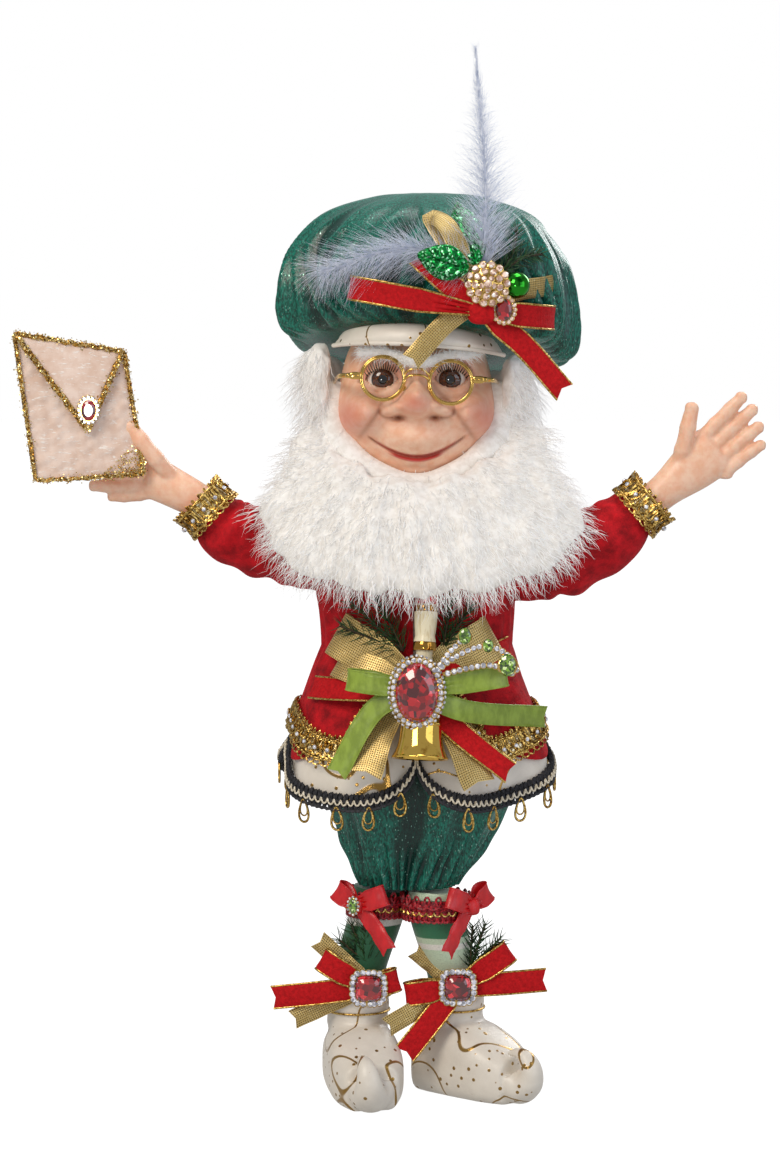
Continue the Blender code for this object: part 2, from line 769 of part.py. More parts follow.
def draped_loop(name, surface, knot, tip, out, rise, width, look):
    """A loop over a surface from the knot's x, z to the tip's, out millimetres off it and rise high."""
    shape = ((0.1, 0.3), (0.45, 0.0), (0.85, 0.05), (1.0, 0.5), (0.85, 0.95), (0.45, 0.9))
    knot, tip = np.asarray(knot, float), np.asarray(tip, float)
    path, facing = [], []
    for share, height in shape:
        x, z = knot + (tip - knot) * share
        path.append(surface(x, z, out + rise * height))
        facing.append(outwards(surface, x, z, out))
    path, facing = np.array(path), np.array(facing)
    across = unit(np.cross(path[3] - path[0], facing))
    widths = width * np.array([0.5, 1.0, 1.0, 1.0, 1.0, 1.0])
    return band(name, strip_rings(path, across, widths, closed=True), look)


def hat_brim():
    """The soft visor over the brow, a curved padded strip."""
    rows, columns = 3, 11
    grid = []
    for r in range(rows):
        down = r / (rows - 1)
        row = []
        for a in np.linspace(math.radians(-64), math.radians(60), columns):
            radius_x = HEAD_HALF_WIDTH + 4.0 + 4.0 * down
            radius_y = HEAD_HALF_DEPTH + 8.5 + 4.0 * down
            x, y = 1.5 + radius_x * math.sin(a), 2.0 - radius_y * math.cos(a)
            top = hat_under(x, y) - 1.3
            row.append((x, y, top - BRIM_WIDTH * down * (0.35 + 0.65 * math.cos(a))))
        grid.append(row)
    return sheet("hat_brim", grid, -BRIM_THICKNESS, "cream_satin")


# The middle of the hat's trimming, on the front of the crown
TRIM_X = 25.0
TRIM_Y = HAT_SHIFT_Y - HAT_HALF_DEPTH * 0.93
TRIM_Z = HEAD_Z + 33.0
TRIM_AT = np.array((TRIM_X, TRIM_Y, TRIM_Z))
FORWARD = np.array((0.0, -1.0, 0.0))


def ribbon(name, path, width, look, facing=FORWARD, count=4, lean=None):
    """A flat ribbon along a smooth path, its face turned towards facing, pinched where it starts in its knot."""
    path = smooth_path(path, count)
    tangents = unit(np.gradient(path, axis=0))
    across = np.cross(tangents, facing) if lean is None else np.asarray(lean, float)
    widths = np.full(count, float(width))
    widths[0] = width * 0.5
    return loft(name, strip_rings(path, across, widths), look)


def ribbon_loop(name, knot, tip, width, rise, look, facing=FORWARD):
    """A loop of ribbon that leaves the knot, turns over at tip and comes back in front of itself."""
    knot, tip, facing = np.asarray(knot, float), np.asarray(tip, float), unit(facing)
    along = tip - knot
    across = unit(np.cross(along, facing))
    shape = ((0.06, 0.3), (0.45, 0.0), (0.85, 0.05), (1.0, 0.5), (0.85, 0.95), (0.45, 0.9))
    path = np.array([knot + along * share + facing * rise * (height - 0.4) for share, height in shape])
    widths = width * np.array([0.5, 1.0, 1.0, 1.0, 1.0, 1.0])
    return band(name, strip_rings(path, across, widths, closed=True), look)


def knot_block(name, centre, half, look):
    """The wrapped middle of a bow, a rounded block."""
    centre = np.asarray(centre, float)
    rings = []
    for height, scale in ((-1, 0.85), (0, 1.0), (1, 0.85)):
        ring = [
            centre + np.array((half[0] * scale * math.cos(a), half[1] * height, half[2] * scale * math.sin(a)))
            for a in np.linspace(0, 2 * math.pi, 6, endpoint=False)
        ]
        rings.append(ring)
    return loft(name, rings, look)


def hat_bow():
    """The velvet bow: a long loop to the right, a tail up and a tail down across the hat, and a short loop."""
    x, z = TRIM_AT[0], TRIM_AT[2]
    at = hat_front(x, z, 4.6)
    pieces = [
        knot_block("knot", at + FORWARD * 0.5, (5.0, 3.0, 5.0), "red_velvet"),
        draped_loop("loop_a", hat_front, (x, z), (x - 51, z + 9), 2.7, 4, VELVET_WIDTH, "red_velvet"),
        draped_loop("loop_b", hat_front, (x, z), (x + 28, z - 3), 2.7, 5, VELVET_WIDTH, "red_velvet"),
        draped_ribbon("tail_a", hat_front, [(x, z, 4.6), (x - 12, z + 10, 4.4), (x - 24, z + 21, 3.0)],
                      VELVET_WIDTH, "red_velvet"),
        ribbon("tail_b", [at, hat_front(x + 16, z - 13, 6.5), (x + 32, at[1] + 9, z - 31)],
               VELVET_WIDTH, "red_velvet", facing=(0.5, -1, 0)),
    ]
    return join("hat_bow", pieces)


def hat_mesh_ribbon():
    """Gold mesh ribbon behind the velvet bow: one end up, one to the left and one down on to the brim."""
    x, z = TRIM_AT[0] + 1, TRIM_AT[2] + 5
    pieces = [
        knot_block("mesh_knot", hat_front(x, z, 1.6), (4.5, 0.75, 4.5), "gold_mesh"),
        draped_ribbon("end_a", hat_front, [(x, z, 1.6), (x - 10, z + 16, 1.8), (x - 19, z + 30, 1.6)],
                      NARROW_MESH_WIDTH, "gold_mesh"),
        draped_ribbon("end_b", hat_front, [(x, z, 1.6), (x + 15, z + 3, 1.8), (x + 29, z + 5, 1.6)],
                      NARROW_MESH_WIDTH, "gold_mesh"),
        draped_ribbon("tail_a", hat_front, [(x, z, 1.6), (x - 14, z - 9, 2.0), (x - 28, z - 24, 3.4)],
                      NARROW_MESH_WIDTH, "gold_mesh"),
    ]
    return join("hat_mesh_ribbon", pieces)


def leaf(name, base, tip, half_width, swell, look, facing=FORWARD):
    """A domed, pointed leaf from base to tip."""
    base, tip, facing = np.asarray(base, float), np.asarray(tip, float), unit(facing)
    along = tip - base
    across = unit(np.cross(along, facing))
    rings = []
    for share in (0.03, 0.25, 0.55, 0.97):
        wide = half_width * math.sin(math.pi * share**0.85) ** 0.8 + 0.25
        high = swell * math.sin(math.pi * share) ** 0.7 + 0.25
        middle = base + along * share
        rings.append([
            middle - across * wide, middle - across * wide * 0.5 + facing * high * 0.8,
            middle + across * wide * 0.5 + facing * high * 0.8, middle + across * wide, middle - facing * 0.6])
    return loft(name, rings, look)


def sprig(name, base, tip, spread, needles, look="pine", facing=FORWARD, thickness=1.6):
    """A pine sprig: needles fan out on both sides of a stem, cut as one flat outline with pointed ends."""
    base, tip, facing = np.asarray(base, float), np.asarray(tip, float), unit(facing)
    along = tip - base
    ahead = unit(along)
    across = unit(np.cross(along, facing))
    step = np.linalg.norm(along) / needles
    left, right = [], []
    for i in range(needles):
        root = base + along * (i + 0.2) / needles
        reach = spread * (1 - 0.4 * i / needles)
        for side, line in ((-1, left), (1, right)):
            line.append(root + across * side * 0.9)
            line.append(root + across * side * reach + ahead * reach * 0.75)
            line.append(root + across * side * 0.9 + ahead * step * 0.6)
    outline = [base, *right, tip + ahead * 2.0, *left[::-1]]
    near = [p - facing * thickness / 2 for p in outline]
    far = [p + facing * thickness / 2 for p in outline]
    return loft(name, [near, far], look)


def stone_ring(name, centre, half_x, half_z, look, squareness=2.0, facing=FORWARD, stone=STONE_RADIUS, count=16):
    """A row of set stones round an oval or square: a rounded rim with a low back plate inside it."""
    centre, facing = np.asarray(centre, float), unit(facing)
    side = unit(np.cross((0.0, 0.0, 1.0), facing))
    rise = np.cross(facing, side)
    turn = np.linspace(0, 2 * math.pi, count, endpoint=False) + math.pi / count
    c, s = np.cos(turn), np.sin(turn)
    power = 2.0 / squareness
    u = np.sign(c) * np.abs(c) ** power
    v = np.sign(s) * np.abs(s) ** power
    rings = []
    for inset, height in ((0.0, 0.0), (-0.9, 1.0), (0.2, 1.9), (1.2, 0.8)):
        a, b = half_x - inset * stone, half_z - inset * stone
        rings.append(centre + (u * a)[:, None] * side + (v * b)[:, None] * rise + facing * height * stone)
    return loft(name, rings, look)


def gem(name, centre, half_x, half_z, height, look, squareness=2.0, facing=FORWARD, count=12):
    """A cut stone: a girdle, a sloping crown and a flat table."""
    centre, facing = np.asarray(centre, float), unit(facing)
    side = unit(np.cross((0.0, 0.0, 1.0), facing))
    rise = np.cross(facing, side)
    turn = np.linspace(0, 2 * math.pi, count, endpoint=False)
    power = 2.0 / squareness
    u = np.sign(np.cos(turn)) * np.abs(np.cos(turn)) ** power
    v = np.sign(np.sin(turn)) * np.abs(np.sin(turn)) ** power
    rings = []
    for scale, share in ((0.9, 0.0), (1.0, 0.3), (0.62, 1.0)):
        rings.append(
            centre + (u * half_x * scale)[:, None] * side + (v * half_z * scale)[:, None] * rise + facing * height * share)
    return loft(name, rings, look)


def set_stone(name, centre, half_x, half_z, stone, crown, look, squareness=2.0, facing=FORWARD, count=12):
    """A jewel in one piece: a raised rim of small stones and a domed gem inside it."""
    centre, facing = np.asarray(centre, float), unit(facing)
    side = unit(np.cross((0.0, 0.0, 1.0), facing))
    rise = np.cross(facing, side)
    turn = np.linspace(0, 2 * math.pi, count, endpoint=False) + math.pi / count
    c, s = np.cos(turn), np.sin(turn)
    power = 2.0 / squareness
    u = np.sign(c) * np.abs(c) ** power
    v = np.sign(s) * np.abs(s) ** power
    rings = []
    for inset, height in ((0.0, 0.0), (-0.9 * stone, stone), (0.4 * stone, 1.9 * stone), (1.5 * stone, stone),
                          (1.5 * stone + 0.4 * (half_x - 1.5 * stone), crown)):
        a, b = half_x - inset, half_z - inset
        rings.append(centre + (u * a)[:, None] * side + (v * b)[:, None] * rise + facing * height)
    return loft(name, rings, look)


def hat_feather():
    """The plume: an upright spindle, and a second one that sweeps over the hat to the right."""
    foot = hat_front(TRIM_AT[0] + 1, TRIM_AT[2] + 16, 3.4)
    top = np.array((TRIM_AT[0] - 2.5, foot[1] + 6, TRIM_Z + 16 + FEATHER_LENGTH))
    upright = smooth_path([foot, (foot + top) / 2 + (2, -4, -6), top], 6)
    radii = FEATHER_RADIUS * np.array([0.38, 0.62, 0.58, 0.4, 0.2, 0.05])
    sweep = smooth_path([
        foot, hat_front(TRIM_AT[0] - 30, TRIM_AT[2] + 22, 5.0), hat_front(TRIM_AT[0] - 62, TRIM_AT[2] + 14, 5.5)], 5)
    pieces = [
        tube("sweep", sweep, FEATHER_RADIUS * np.array([0.36, 0.42, 0.42, 0.36, 0.08]), 6, "white_feather"),
        tube("upright", upright, radii, 6, "white_feather"),
    ]
    return join("hat_feather", pieces)


# Body, coat and skirts


def radii_at(z):
    """Half width and half depth of the coat's outer face at height z."""
    levels = (COAT_HEM_Z - 25, COAT_HEM_Z, HIP_Z, WAIST_Z, CHEST_Z, SHOULDER_Z, COLLAR_Z)
    widths = (HEM_HALF_WIDTH + 3, HEM_HALF_WIDTH, HIP_HALF_WIDTH, WAIST_HALF_WIDTH, CHEST_HALF_WIDTH,
              SHOULDER_HALF_WIDTH, NECK_RADIUS + 6)
    ratios = (0.84, 0.82, 0.80, BODY_DEPTH_RATIO, BODY_DEPTH_RATIO, 0.66, 0.85)
    wide = np.interp(z, levels, widths)
    return wide, wide * np.interp(z, levels, ratios)


def body_point(phi, z, out=0.0, fold=0.0):
    """A point out millimetres from the coat's outer face; phi runs from the front towards +X."""
    wide, deep = radii_at(z)
    flare = np.clip((WAIST_Z - z) / (WAIST_Z - COAT_HEM_Z), 0, 1.3) ** 1.3
    wave = fold * flare * FOLD_DEPTH * np.sin(COAT_FOLDS * phi + 0.8)
    return np.array(((wide + out + wave) * np.sin(phi), -(deep + out + wave) * np.cos(phi), z))


def coat_front(x, z, out=0.0):
    """The point at x, z that stands out millimetres in front of the coat, clear of its folds."""
    wide, deep = radii_at(z)
    flare = np.clip((WAIST_Z - z) / (WAIST_Z - COAT_HEM_Z), 0, 1.3) ** 1.3
    out = out + flare * FOLD_DEPTH
    across = min(abs(x) / (wide + out), 0.96)
    return np.array((x, -(deep + out) * math.sqrt(1 - across**2), z))


def torso():
    """The stuffed body inside the clothes, with its neck."""
    rings = []
    turn = np.linspace(0, 2 * math.pi, 16, endpoint=False)
    for z, level, inset in (
        (TROUSER_TOP_Z + 0.5, WAIST_Z, 9.0), (WAIST_Z - 6, WAIST_Z, 4.0), (CHEST_Z, CHEST_Z, 2.6),
        (SHOULDER_Z - 3, SHOULDER_Z, 3.0), (COLLAR_Z - 5, COLLAR_Z, 3.0),
    ):
        wide, deep = radii_at(level)
        rings.append([((wide - inset) * math.sin(a), -(deep - inset) * math.cos(a), z) for a in turn])
    for z, radius in ((COLLAR_Z - 2, NECK_RADIUS), (CHIN_Z + 1.4, NECK_RADIUS - 2)):
        rings.append([(radius * math.sin(a), -radius * math.cos(a), z) for a in turn])
    return loft("torso", rings, "stuffing")


def torso_levels():
    """Heights of the coat's rings, at which the widths change, so cloth laid over cloth stays parallel to it."""
    return (COLLAR_Z - 1, SHOULDER_Z, CHEST_Z, WAIST_Z)


def coat_hem(phi):
    """Height of the coat's hem: level round the sides and back, with a rounded corner low on each side in front."""
    turn = abs(math.remainder(phi, 2 * math.pi))
    return COAT_HEM_Z + COAT_HEM_RISE * (1 - math.exp(-(((turn - 0.62) / 0.5) ** 2)))


def coat_opening(z):
    """Half angle of the coat's front opening, closed at the waist and wide at the hem."""
    share = np.clip((WAIST_Z - z) / (WAIST_Z - COAT_HEM_Z), 0, 1)
    return math.radians(2.0) + math.radians(30) * share**1.6


def coat():
    """The velvet coat, open down the front, its skirt flared in soft folds."""
    columns = CLOTH_COLUMNS + 1
    grid = []
    for level in (*torso_levels(), 0.42, 1.0):
        row = []
        for i in range(columns):
            turn = 2 * math.pi * i / (columns - 1)
            z = level if level > 1 else WAIST_Z + (coat_hem(turn) - WAIST_Z) * level
            opening = coat_opening(z)
            phi = max(turn, opening) if turn < math.pi else min(turn, 2 * math.pi - opening)
            if 0 < i < columns - 1 and (phi == opening or phi == 2 * math.pi - opening):
                phi = opening + 0.04 * i if turn < math.pi else 2 * math.pi - opening - 0.04 * (columns - 1 - i)
            row.append(body_point(phi, z, fold=1.0))
        grid.append(row)
    return sheet("coat", grid, COAT_THICKNESS, "red_velvet")


def collar():
    """The pointed gold collar that lies on the shoulders."""
    columns = CLOTH_COLUMNS // 2
    grid = []
    for down in (0.0, 0.35, 1.0):
        row = []
        for i in range(columns):
            phi = 2 * math.pi * i / columns
            front = (1 + math.cos(phi)) / 2
            tip = COLLAR_Z - COLLAR_DROP_BACK - (COLLAR_DROP_FRONT - COLLAR_DROP_BACK) * front**4
            level = COLLAR_Z if down == 0.0 else SHOULDER_Z + 0.5 if down < 1.0 else tip
            row.append(body_point(phi, level, out=3.2 if down < 1.0 else 2.4))
        grid.append(row)
    return sheet("collar", grid, -COLLAR_THICKNESS, "gold_fabric", around=True)


def edge_strip(name, path, inward, surface, thickness, look, closed=False):
    """A trim on a cloth surface: path is (phi, z) along its edge, and inward the offsets to its other edge."""
    grid = [[surface(phi, z) for phi, z in path], [surface(phi + dp, z + dz) for (phi, z), (dp, dz) in zip(path, inward)]]
    return sheet(name, np.array(grid), thickness, look, around=closed)


def coat_lace():
    """Gold lace along the coat's hem and up both front edges."""
    path, inward = [], []
    top = WAIST_Z - 19
    levels = np.linspace(top, COAT_HEM_Z + 9.0, 3)
    wide = LACE_WIDTH / (HEM_HALF_WIDTH * 0.92)
    for z in levels:
        path.append((coat_opening(z) - 0.02, z))
        inward.append((wide, 1.0))
    start = coat_opening(COAT_HEM_Z)
    for i in range(CLOTH_COLUMNS + 1):
        phi = 2 * math.pi * i / CLOTH_COLUMNS
        if start + 0.1 < phi < 2 * math.pi - start - 0.1:
            path.append((phi, coat_hem(phi) - 0.8))
            inward.append((0.0, LACE_WIDTH))
    for z in levels[::-1]:
        path.append((2 * math.pi - coat_opening(z) + 0.02, z))
        inward.append((-wide, 1.0))

    def surface(phi, z):
        return body_point(phi, z, out=1.2, fold=1.0)

    return edge_strip("coat_lace", path, inward, surface, LACE_THICKNESS, "gold_lace")


def skirt_hem(phi):
    """Height of the underskirt's hem: two rounded lobes in front and two behind, parted at the middle."""
    turn = abs(math.remainder(phi, 2 * math.pi)) / math.pi * 2
    share = turn if turn <= 1 else 2 - turn
    return SKIRT_SIDE_Z - SKIRT_LOBE_DROP * math.sin(math.pi * share**0.6) ** 0.8


def skirt_point(phi, z, out=0.0):
    """A point on the underskirt, inside the coat, drawn in behind the bell at the middle of the front."""
    turn = math.remainder(phi, 2 * math.pi)
    flare = float(np.clip((WAIST_Z - z) / (WAIST_Z - COAT_HEM_Z), 0, 1))
    valley = SKIRT_VALLEY * flare * math.exp(-((turn / 0.24) ** 2))
    return body_point(phi, z, out=out - COAT_THICKNESS - 1.2 - valley, fold=1.0)


def underskirt():
    """The cream satin underskirt below the coat."""
    grid = []
    for share in (0.0, 0.6, 1.0):
        row = []
        for i in range(CLOTH_COLUMNS):
            phi = 2 * math.pi * i / CLOTH_COLUMNS
            row.append(skirt_point(phi, SKIRT_TOP_Z + (skirt_hem(phi) - SKIRT_TOP_Z) * share))
        grid.append(row)
    return sheet("underskirt", grid, SKIRT_THICKNESS, "cream_satin", around=True)


def hem_braid():
    """Black and cream braid sewn round the underskirt's hem, with drop-shaped gold loops hanging from it."""
    grid = []
    for rise in (-0.9, BRAID_WIDTH - 0.9):
        row = []
        for i in range(CLOTH_COLUMNS):
            phi = 2 * math.pi * i / CLOTH_COLUMNS
            row.append(skirt_point(phi, skirt_hem(phi) + rise, out=BRAID_GAP))
        grid.append(row)
    pieces = [sheet("hem_braid", grid, BRAID_THICKNESS, "black_braid", around=True)]
    for i in range(PICOTS):
        phi = 2 * math.pi * (i + 0.5) / PICOTS
        root = skirt_point(phi, skirt_hem(phi) + 0.6, out=BRAID_GAP + BRAID_THICKNESS / 2)
        along = unit((skirt_point(phi + 0.03, 0) - skirt_point(phi, 0)) * (1, 1, 0))
        turn = np.linspace(0, 2 * math.pi, 5, endpoint=False)
        down = (1 - np.cos(turn)) / 2
        path = root + np.outer(PICOT_WIDTH / 2 * np.sin(turn) * (0.5 + 0.7 * down), along)
        path = path - np.outer((PICOT_LENGTH + 1.5) * down / down.max(), (0, 0, 1))
        pieces.append(hoop("picot", path, PICOT_WIRE, 3, "gold_lace"))
    return join("hem_braid", pieces)


# Arms and hands

RIGHT_ARM = [(-34, 1, 213), (-47, 0, 218.5), (-62, -2, 223.5), (-74, -4, 229.5), (-81, -5, 235.6), (-86, -5, 240.3)]
RIGHT_ARM_RADII = [9.6, 12.4, 13.0, 13.8, 9.2, 8.4]
LEFT_ARM = [(34, 1, 210), (47, 0, 214), (60, -2, 218.5), (75, -3, 226.5), (87, -5, 236.2), (93, -5, 241.2)]
LEFT_ARM_RADII = [9.8, 13.4, 15.4, 15.0, 9.4, 8.4]


def sleeve(name, path, radii):
    """A padded velvet sleeve with cross folds, gathered at the cuff and fitted to the coat's side."""
    count, steps = 10, 10
    line = smooth_path(path, steps)
    girth = np.interp(np.linspace(0, 1, steps), np.linspace(0, 1, len(radii)), radii)
    rings = tube_rings(line, girth, count)
    side = 1 if path[-1][0] > 0 else -1
    for i in range(steps):
        for j in range(count):
            crease = 1 + 0.05 * math.sin(i * 2.4 + 2.0 * math.sin(2 * math.pi * j / count)) * (0 < i < steps - 3)
            rings[i, j] = line[i] + (rings[i, j] - line[i]) * crease
    for point in rings[0]:
        wide, deep = radii_at(point[2])
        point[0] = side * (wide * math.sqrt(max(1 - (point[1] / deep) ** 2, 0.0)) + 0.8)
    for i in range(1, steps):
        for point in rings[i]:
            wide, deep = radii_at(point[2])
            least = wide * math.sqrt(max(1 - (point[1] / deep) ** 2, 0.0)) + 0.8 + 1.2 * i
            point[0] = side * max(side * point[0], least)
    return loft(name, rings, "red_velvet")


def cuff(name, path):
    """The stiff gold lace cuff round the wrist."""
    path = np.asarray(path, float)
    ahead = unit(path[-1] - path[-2])
    centre = path[-1] - ahead * (CUFF_WIDTH * 0.30)
    side = unit(np.cross(ahead, (0, 1, 0)))
    rise = np.cross(side, ahead)
    rings = []
    for radius, offset in (
        (CUFF_RADIUS - CUFF_THICKNESS, -0.5), (CUFF_RADIUS, -0.5), (CUFF_RADIUS - 1.0, 0.5),
        (CUFF_RADIUS - 1.0 - CUFF_THICKNESS, 0.5),
    ):
        ring = []
        for i in range(12):
            a = 2 * math.pi * i / 12
            scallop = 1 + 0.08 * (i % 2)
            ring.append(centre + ahead * CUFF_WIDTH * offset * scallop + radius * (math.cos(a) * side + math.sin(a) * rise))
        rings.append(ring)
    return band(name, rings, "gold_lace")


def finger(points, radius):
    path = smooth_path(points, 4)
    return tube("finger", path, radius * np.array([0.95, 1.0, 0.95, 0.5]), 5, "skin")


def palm(wrist, knuckles, half_width, back, sleeve_end):
    """Wrist and palm: round at the sleeve, broad and flat at the knuckles."""
    wrist, knuckles, sleeve_end = (np.asarray(p, float) for p in (wrist, knuckles, sleeve_end))
    back = unit(back)
    rings = []
    turn = np.linspace(0, 2 * math.pi, 10, endpoint=False)
    stations = [
        (sleeve_end, WRIST_RADIUS * 0.9, WRIST_RADIUS * 0.9), (wrist, WRIST_RADIUS, WRIST_RADIUS * 0.85),
        (wrist + (knuckles - wrist) * 0.5, half_width, PALM_HALF_THICKNESS * 1.25),
        (knuckles, half_width, PALM_HALF_THICKNESS), (knuckles + unit(knuckles - wrist) * 2.0, half_width * 0.8, PALM_HALF_THICKNESS * 0.6),
    ]
    for i, (centre, wide, thick) in enumerate(stations):
        ahead = unit(stations[min(i + 1, 4)][0] - stations[max(i - 1, 0)][0])
        side = unit(np.cross(ahead, back))
        normal = np.cross(side, ahead)
        rings.append([centre + side * wide * math.cos(a) + normal * thick * math.sin(a) for a in turn])
    return loft("palm", rings, "skin")


def hand_left():
    """The open hand, palm to the front, thumb up."""
    y = -6.0
    wrist = (101.0, y, 247.0)
    pieces = [
        palm(wrist, (118.5, y, 261.5), 10.4, (0, 1, 0), LEFT_ARM[-1]),
        finger([(113.5, y, 266), (121, y - 2, 274), (129.5, y - 3, 283)], FINGER_RADIUS),
        finger([(117.5, y, 262), (126, y - 1, 270.5), (134, y - 1.5, 278)], FINGER_RADIUS),
        finger([(121, y, 257.5), (129, y - 1, 265), (136.5, y - 1.5, 271)], FINGER_RADIUS),
        finger([(123, y, 252.8), (130, y - 1, 258.5), (137.5, y - 1.5, 263.8)], FINGER_RADIUS * 0.92),
        finger([(104, y, 254), (106.5, y - 4, 265), (109.2, y - 5, 279)], THUMB_RADIUS),
    ]
    return join("hand_left", pieces)


def hand_right():
    """The hand that pinches the envelope: thumb in front, fingers behind it."""
    y = -6.0
    wrist = (-90.0, y, 242.5)
    pieces = [
        palm(wrist, (-106, y + 3, 250.5), 8.6, (0.15, 1, 0.1), RIGHT_ARM[-1]),
        finger([(-104, y + 4, 254), (-113, y + 1.4, 258), (-122, y - 2.3, 259)], FINGER_RADIUS),
        finger([(-105, y + 4, 250.5), (-116, y + 0.6, 252.5), (-127, y - 3.4, 253)], FINGER_RADIUS),
        finger([(-105, y + 3.5, 247), (-117, y + 1, 246.5), (-129, y - 2.5, 247)], FINGER_RADIUS),
        finger([(-104, y + 3, 244.5), (-113, y + 3, 242.8), (-122, y + 1.0, 242.5)], FINGER_RADIUS * 0.92),
        finger([(-98, y - 1, 251), (-106, y - 5.6, 261), (-114, y - 5.3, 271.5)], THUMB_RADIUS),
    ]
    return join("hand_right", pieces)


# Envelope

ENVELOPE_CORNERS = np.array([
    (-158.4, -16.0, 308.0), (-115.6, -9.0, 300.6), (-108.0, -8.0, 252.0), (-150.4, -15.0, 249.6)])


def envelope():
    """A folded card envelope: a flat body with the pointed flap standing proud of its front."""
    top_left, top_right, low_right, low_left = ENVELOPE_CORNERS
    grid = []
    for down in (0.0, 0.33, 0.66, 1.0):
        row = []
        for along in (0.0, 0.33, 0.66, 1.0):
            top = top_left + (top_right - top_left) * along
            low = low_left + (low_right - low_left) * along
            curl = 1.6 * math.sin(math.pi * along) * down
            row.append(top + (low - top) * down + (0, -curl, 0))
        grid.append(row)
    body = sheet("envelope", grid, ENVELOPE_THICKNESS, "card")
    point = np.array((-129.6, -14.2, 269.5))
    normal = unit(np.cross(top_right - top_left, low_left - top_left))
    normal = normal if normal[1] < 0 else -normal
    flap_points = [top_left + (0.8, 0, -0.8), top_right + (-0.8, 0, -0.8), point]
    near = [p + normal * FLAP_RISE for p in flap_points]
    far = [p - normal * 0.5 for p in flap_points]
    flap = loft("flap", [far, near], "card")
    return join("envelope", [body, flap])


def envelope_jewel():
    """The small oval jewel that seals the flap."""
    return set_stone("envelope_jewel", (-129.2, -15.0, 277.5), 4.2, 5.4, 1.0, 2.6, "red_gem", count=10)


# Chest trimming, a stack of ribbons behind and in front of the bell

CHEST_X = 0.0
CHEST_KNOT_Z = 170.0
MESH_BOW_Y = -float(radii_at(CHEST_KNOT_Z)[1]) - 1.2
BELL_TOP = np.array((4.0, -38.5, 207.0))
BELL_FOOT = np.array((1.2, -51.0, 143.5))
BELL_AXIS = unit(BELL_TOP - BELL_FOOT)
GREEN_BOW_Y = -52.6
JEWEL_Y = GREEN_BOW_Y - 2.4


def chest_bow_mesh():
    """The wide gold mesh bow against the coat: two upper loops and two tails."""
    z = CHEST_KNOT_Z + 2
    wide = MESH_WIDTH
    pieces = [
        knot_block("mesh_knot", coat_front(CHEST_X, z, 2.2), (6.2, 1.9, 6.6), "gold_mesh"),
        draped_loop("loop_a", coat_front, (CHEST_X, z), (-32, z + 18), 1.6, 5, wide * 0.8, "gold_mesh"),
        draped_loop("loop_b", coat_front, (CHEST_X, z), (31, z + 17), 1.6, 5, wide * 0.8, "gold_mesh"),
        draped_ribbon("tail_a", coat_front, [(-1, z - 1, 2.2), (-13, z - 14, 4.8), (-20, z - 34, 7.0)], wide * 0.62, "gold_mesh"),
        draped_ribbon("tail_b", coat_front, [(1, z - 1, 2.2), (14, z - 15, 4.8), (24, z - 38, 7.0)], wide * 0.62, "gold_mesh"),
    ]
    return join("chest_bow_mesh", pieces)


def chest_bow_red():
    """Velvet ribbon behind the bell: a tail to the right and one to the lower left."""
    z = CHEST_KNOT_Z - 1
    pieces = [
        knot_block("red_knot", coat_front(CHEST_X, z, 6.0), (4.5, 1.1, 5.0), "red_velvet"),
        draped_ribbon("tail_b", coat_front, [(0, z, 6.0), (-22, z, 5.4), (-41, z - 1, 2.4)], VELVET_WIDTH, "red_velvet"),
        draped_ribbon("tail_a", coat_front, [(0, z, 6.0), (17, z - 16, 7.2), (36, z - 31, 8.6)], VELVET_WIDTH, "red_velvet"),
    ]
    return join("chest_bow_red", pieces)


def chest_bow_green():
    """The satin bow tied over the bell's neck, with two loops and two curved tails."""
    z = CHEST_KNOT_Z + 1
    at = np.array((CHEST_X, GREEN_BOW_Y, z))
    pieces = [
        knot_block("green_knot", at, (5.0, 1.8, 5.0), "green_satin"),
        ribbon_loop("loop_a", at, at + (-27, 4.5, 3.5), SATIN_WIDTH, 6, "green_satin", facing=(-0.2, -1, 0)),
        ribbon_loop("loop_b", at, at + (35, 5.5, 5), SATIN_WIDTH, 6, "green_satin", facing=(0.2, -1, 0)),
        ribbon("tail_a", [at, at + (-17, 2.5, -9), coat_front(-31, z - 33, 8.0)], SATIN_WIDTH, "green_satin", facing=(-0.3, -1, 0)),
        ribbon("tail_b", [at, at + (19, 4.0, -9), coat_front(51, z - 15, 5.0)], SATIN_WIDTH, "green_satin", facing=(0.5, -1, 0)),
    ]
    return join("chest_bow_green", pieces)


def bell_cup():
    """The brass cup, turned with a thin wall and a flared lip, open below."""
    r, wall, tall = BELL_MOUTH_RADIUS, BELL_WALL, BELL_HEIGHT
    outer = [(r, 0.0), (r * 0.80, tall * 0.26), (r * 0.66, tall * 0.84), (r * 0.36, tall)]
    inner = [(r * 0.33, tall - wall * 1.5), (r * 0.64 - wall, tall * 0.80), (r * 0.80 - wall, tall * 0.25), (r - wall, 0.0)]
    turn = np.linspace(0, 2 * math.pi, 12, endpoint=False)
    side = unit(np.cross(BELL_AXIS, (0.0, 1.0, 0.0)))
    other = np.cross(BELL_AXIS, side)

    def ring(radius, height):
        return BELL_FOOT + BELL_AXIS * height + radius * (np.cos(turn)[:, None] * side + np.sin(turn)[:, None] * other)

    return loft("bell_cup", [ring(*p) for p in (*outer[::-1], *inner[::-1])], "brass")


def bell_handle():
    """The cream turned handle, wider at the top, its foot set on the cup."""
    start = BELL_HEIGHT + FIT
    full = BELL_HANDLE_LENGTH
    r = BELL_HANDLE_RADIUS
    profile = [(r * 1.1, start), (r, start + 3), (r * 1.1, start + full * 0.5), (r * 1.5, start + full)]
    return turned("bell_handle", profile, BELL_FOOT, 8, "cream_wood", axis=BELL_AXIS)


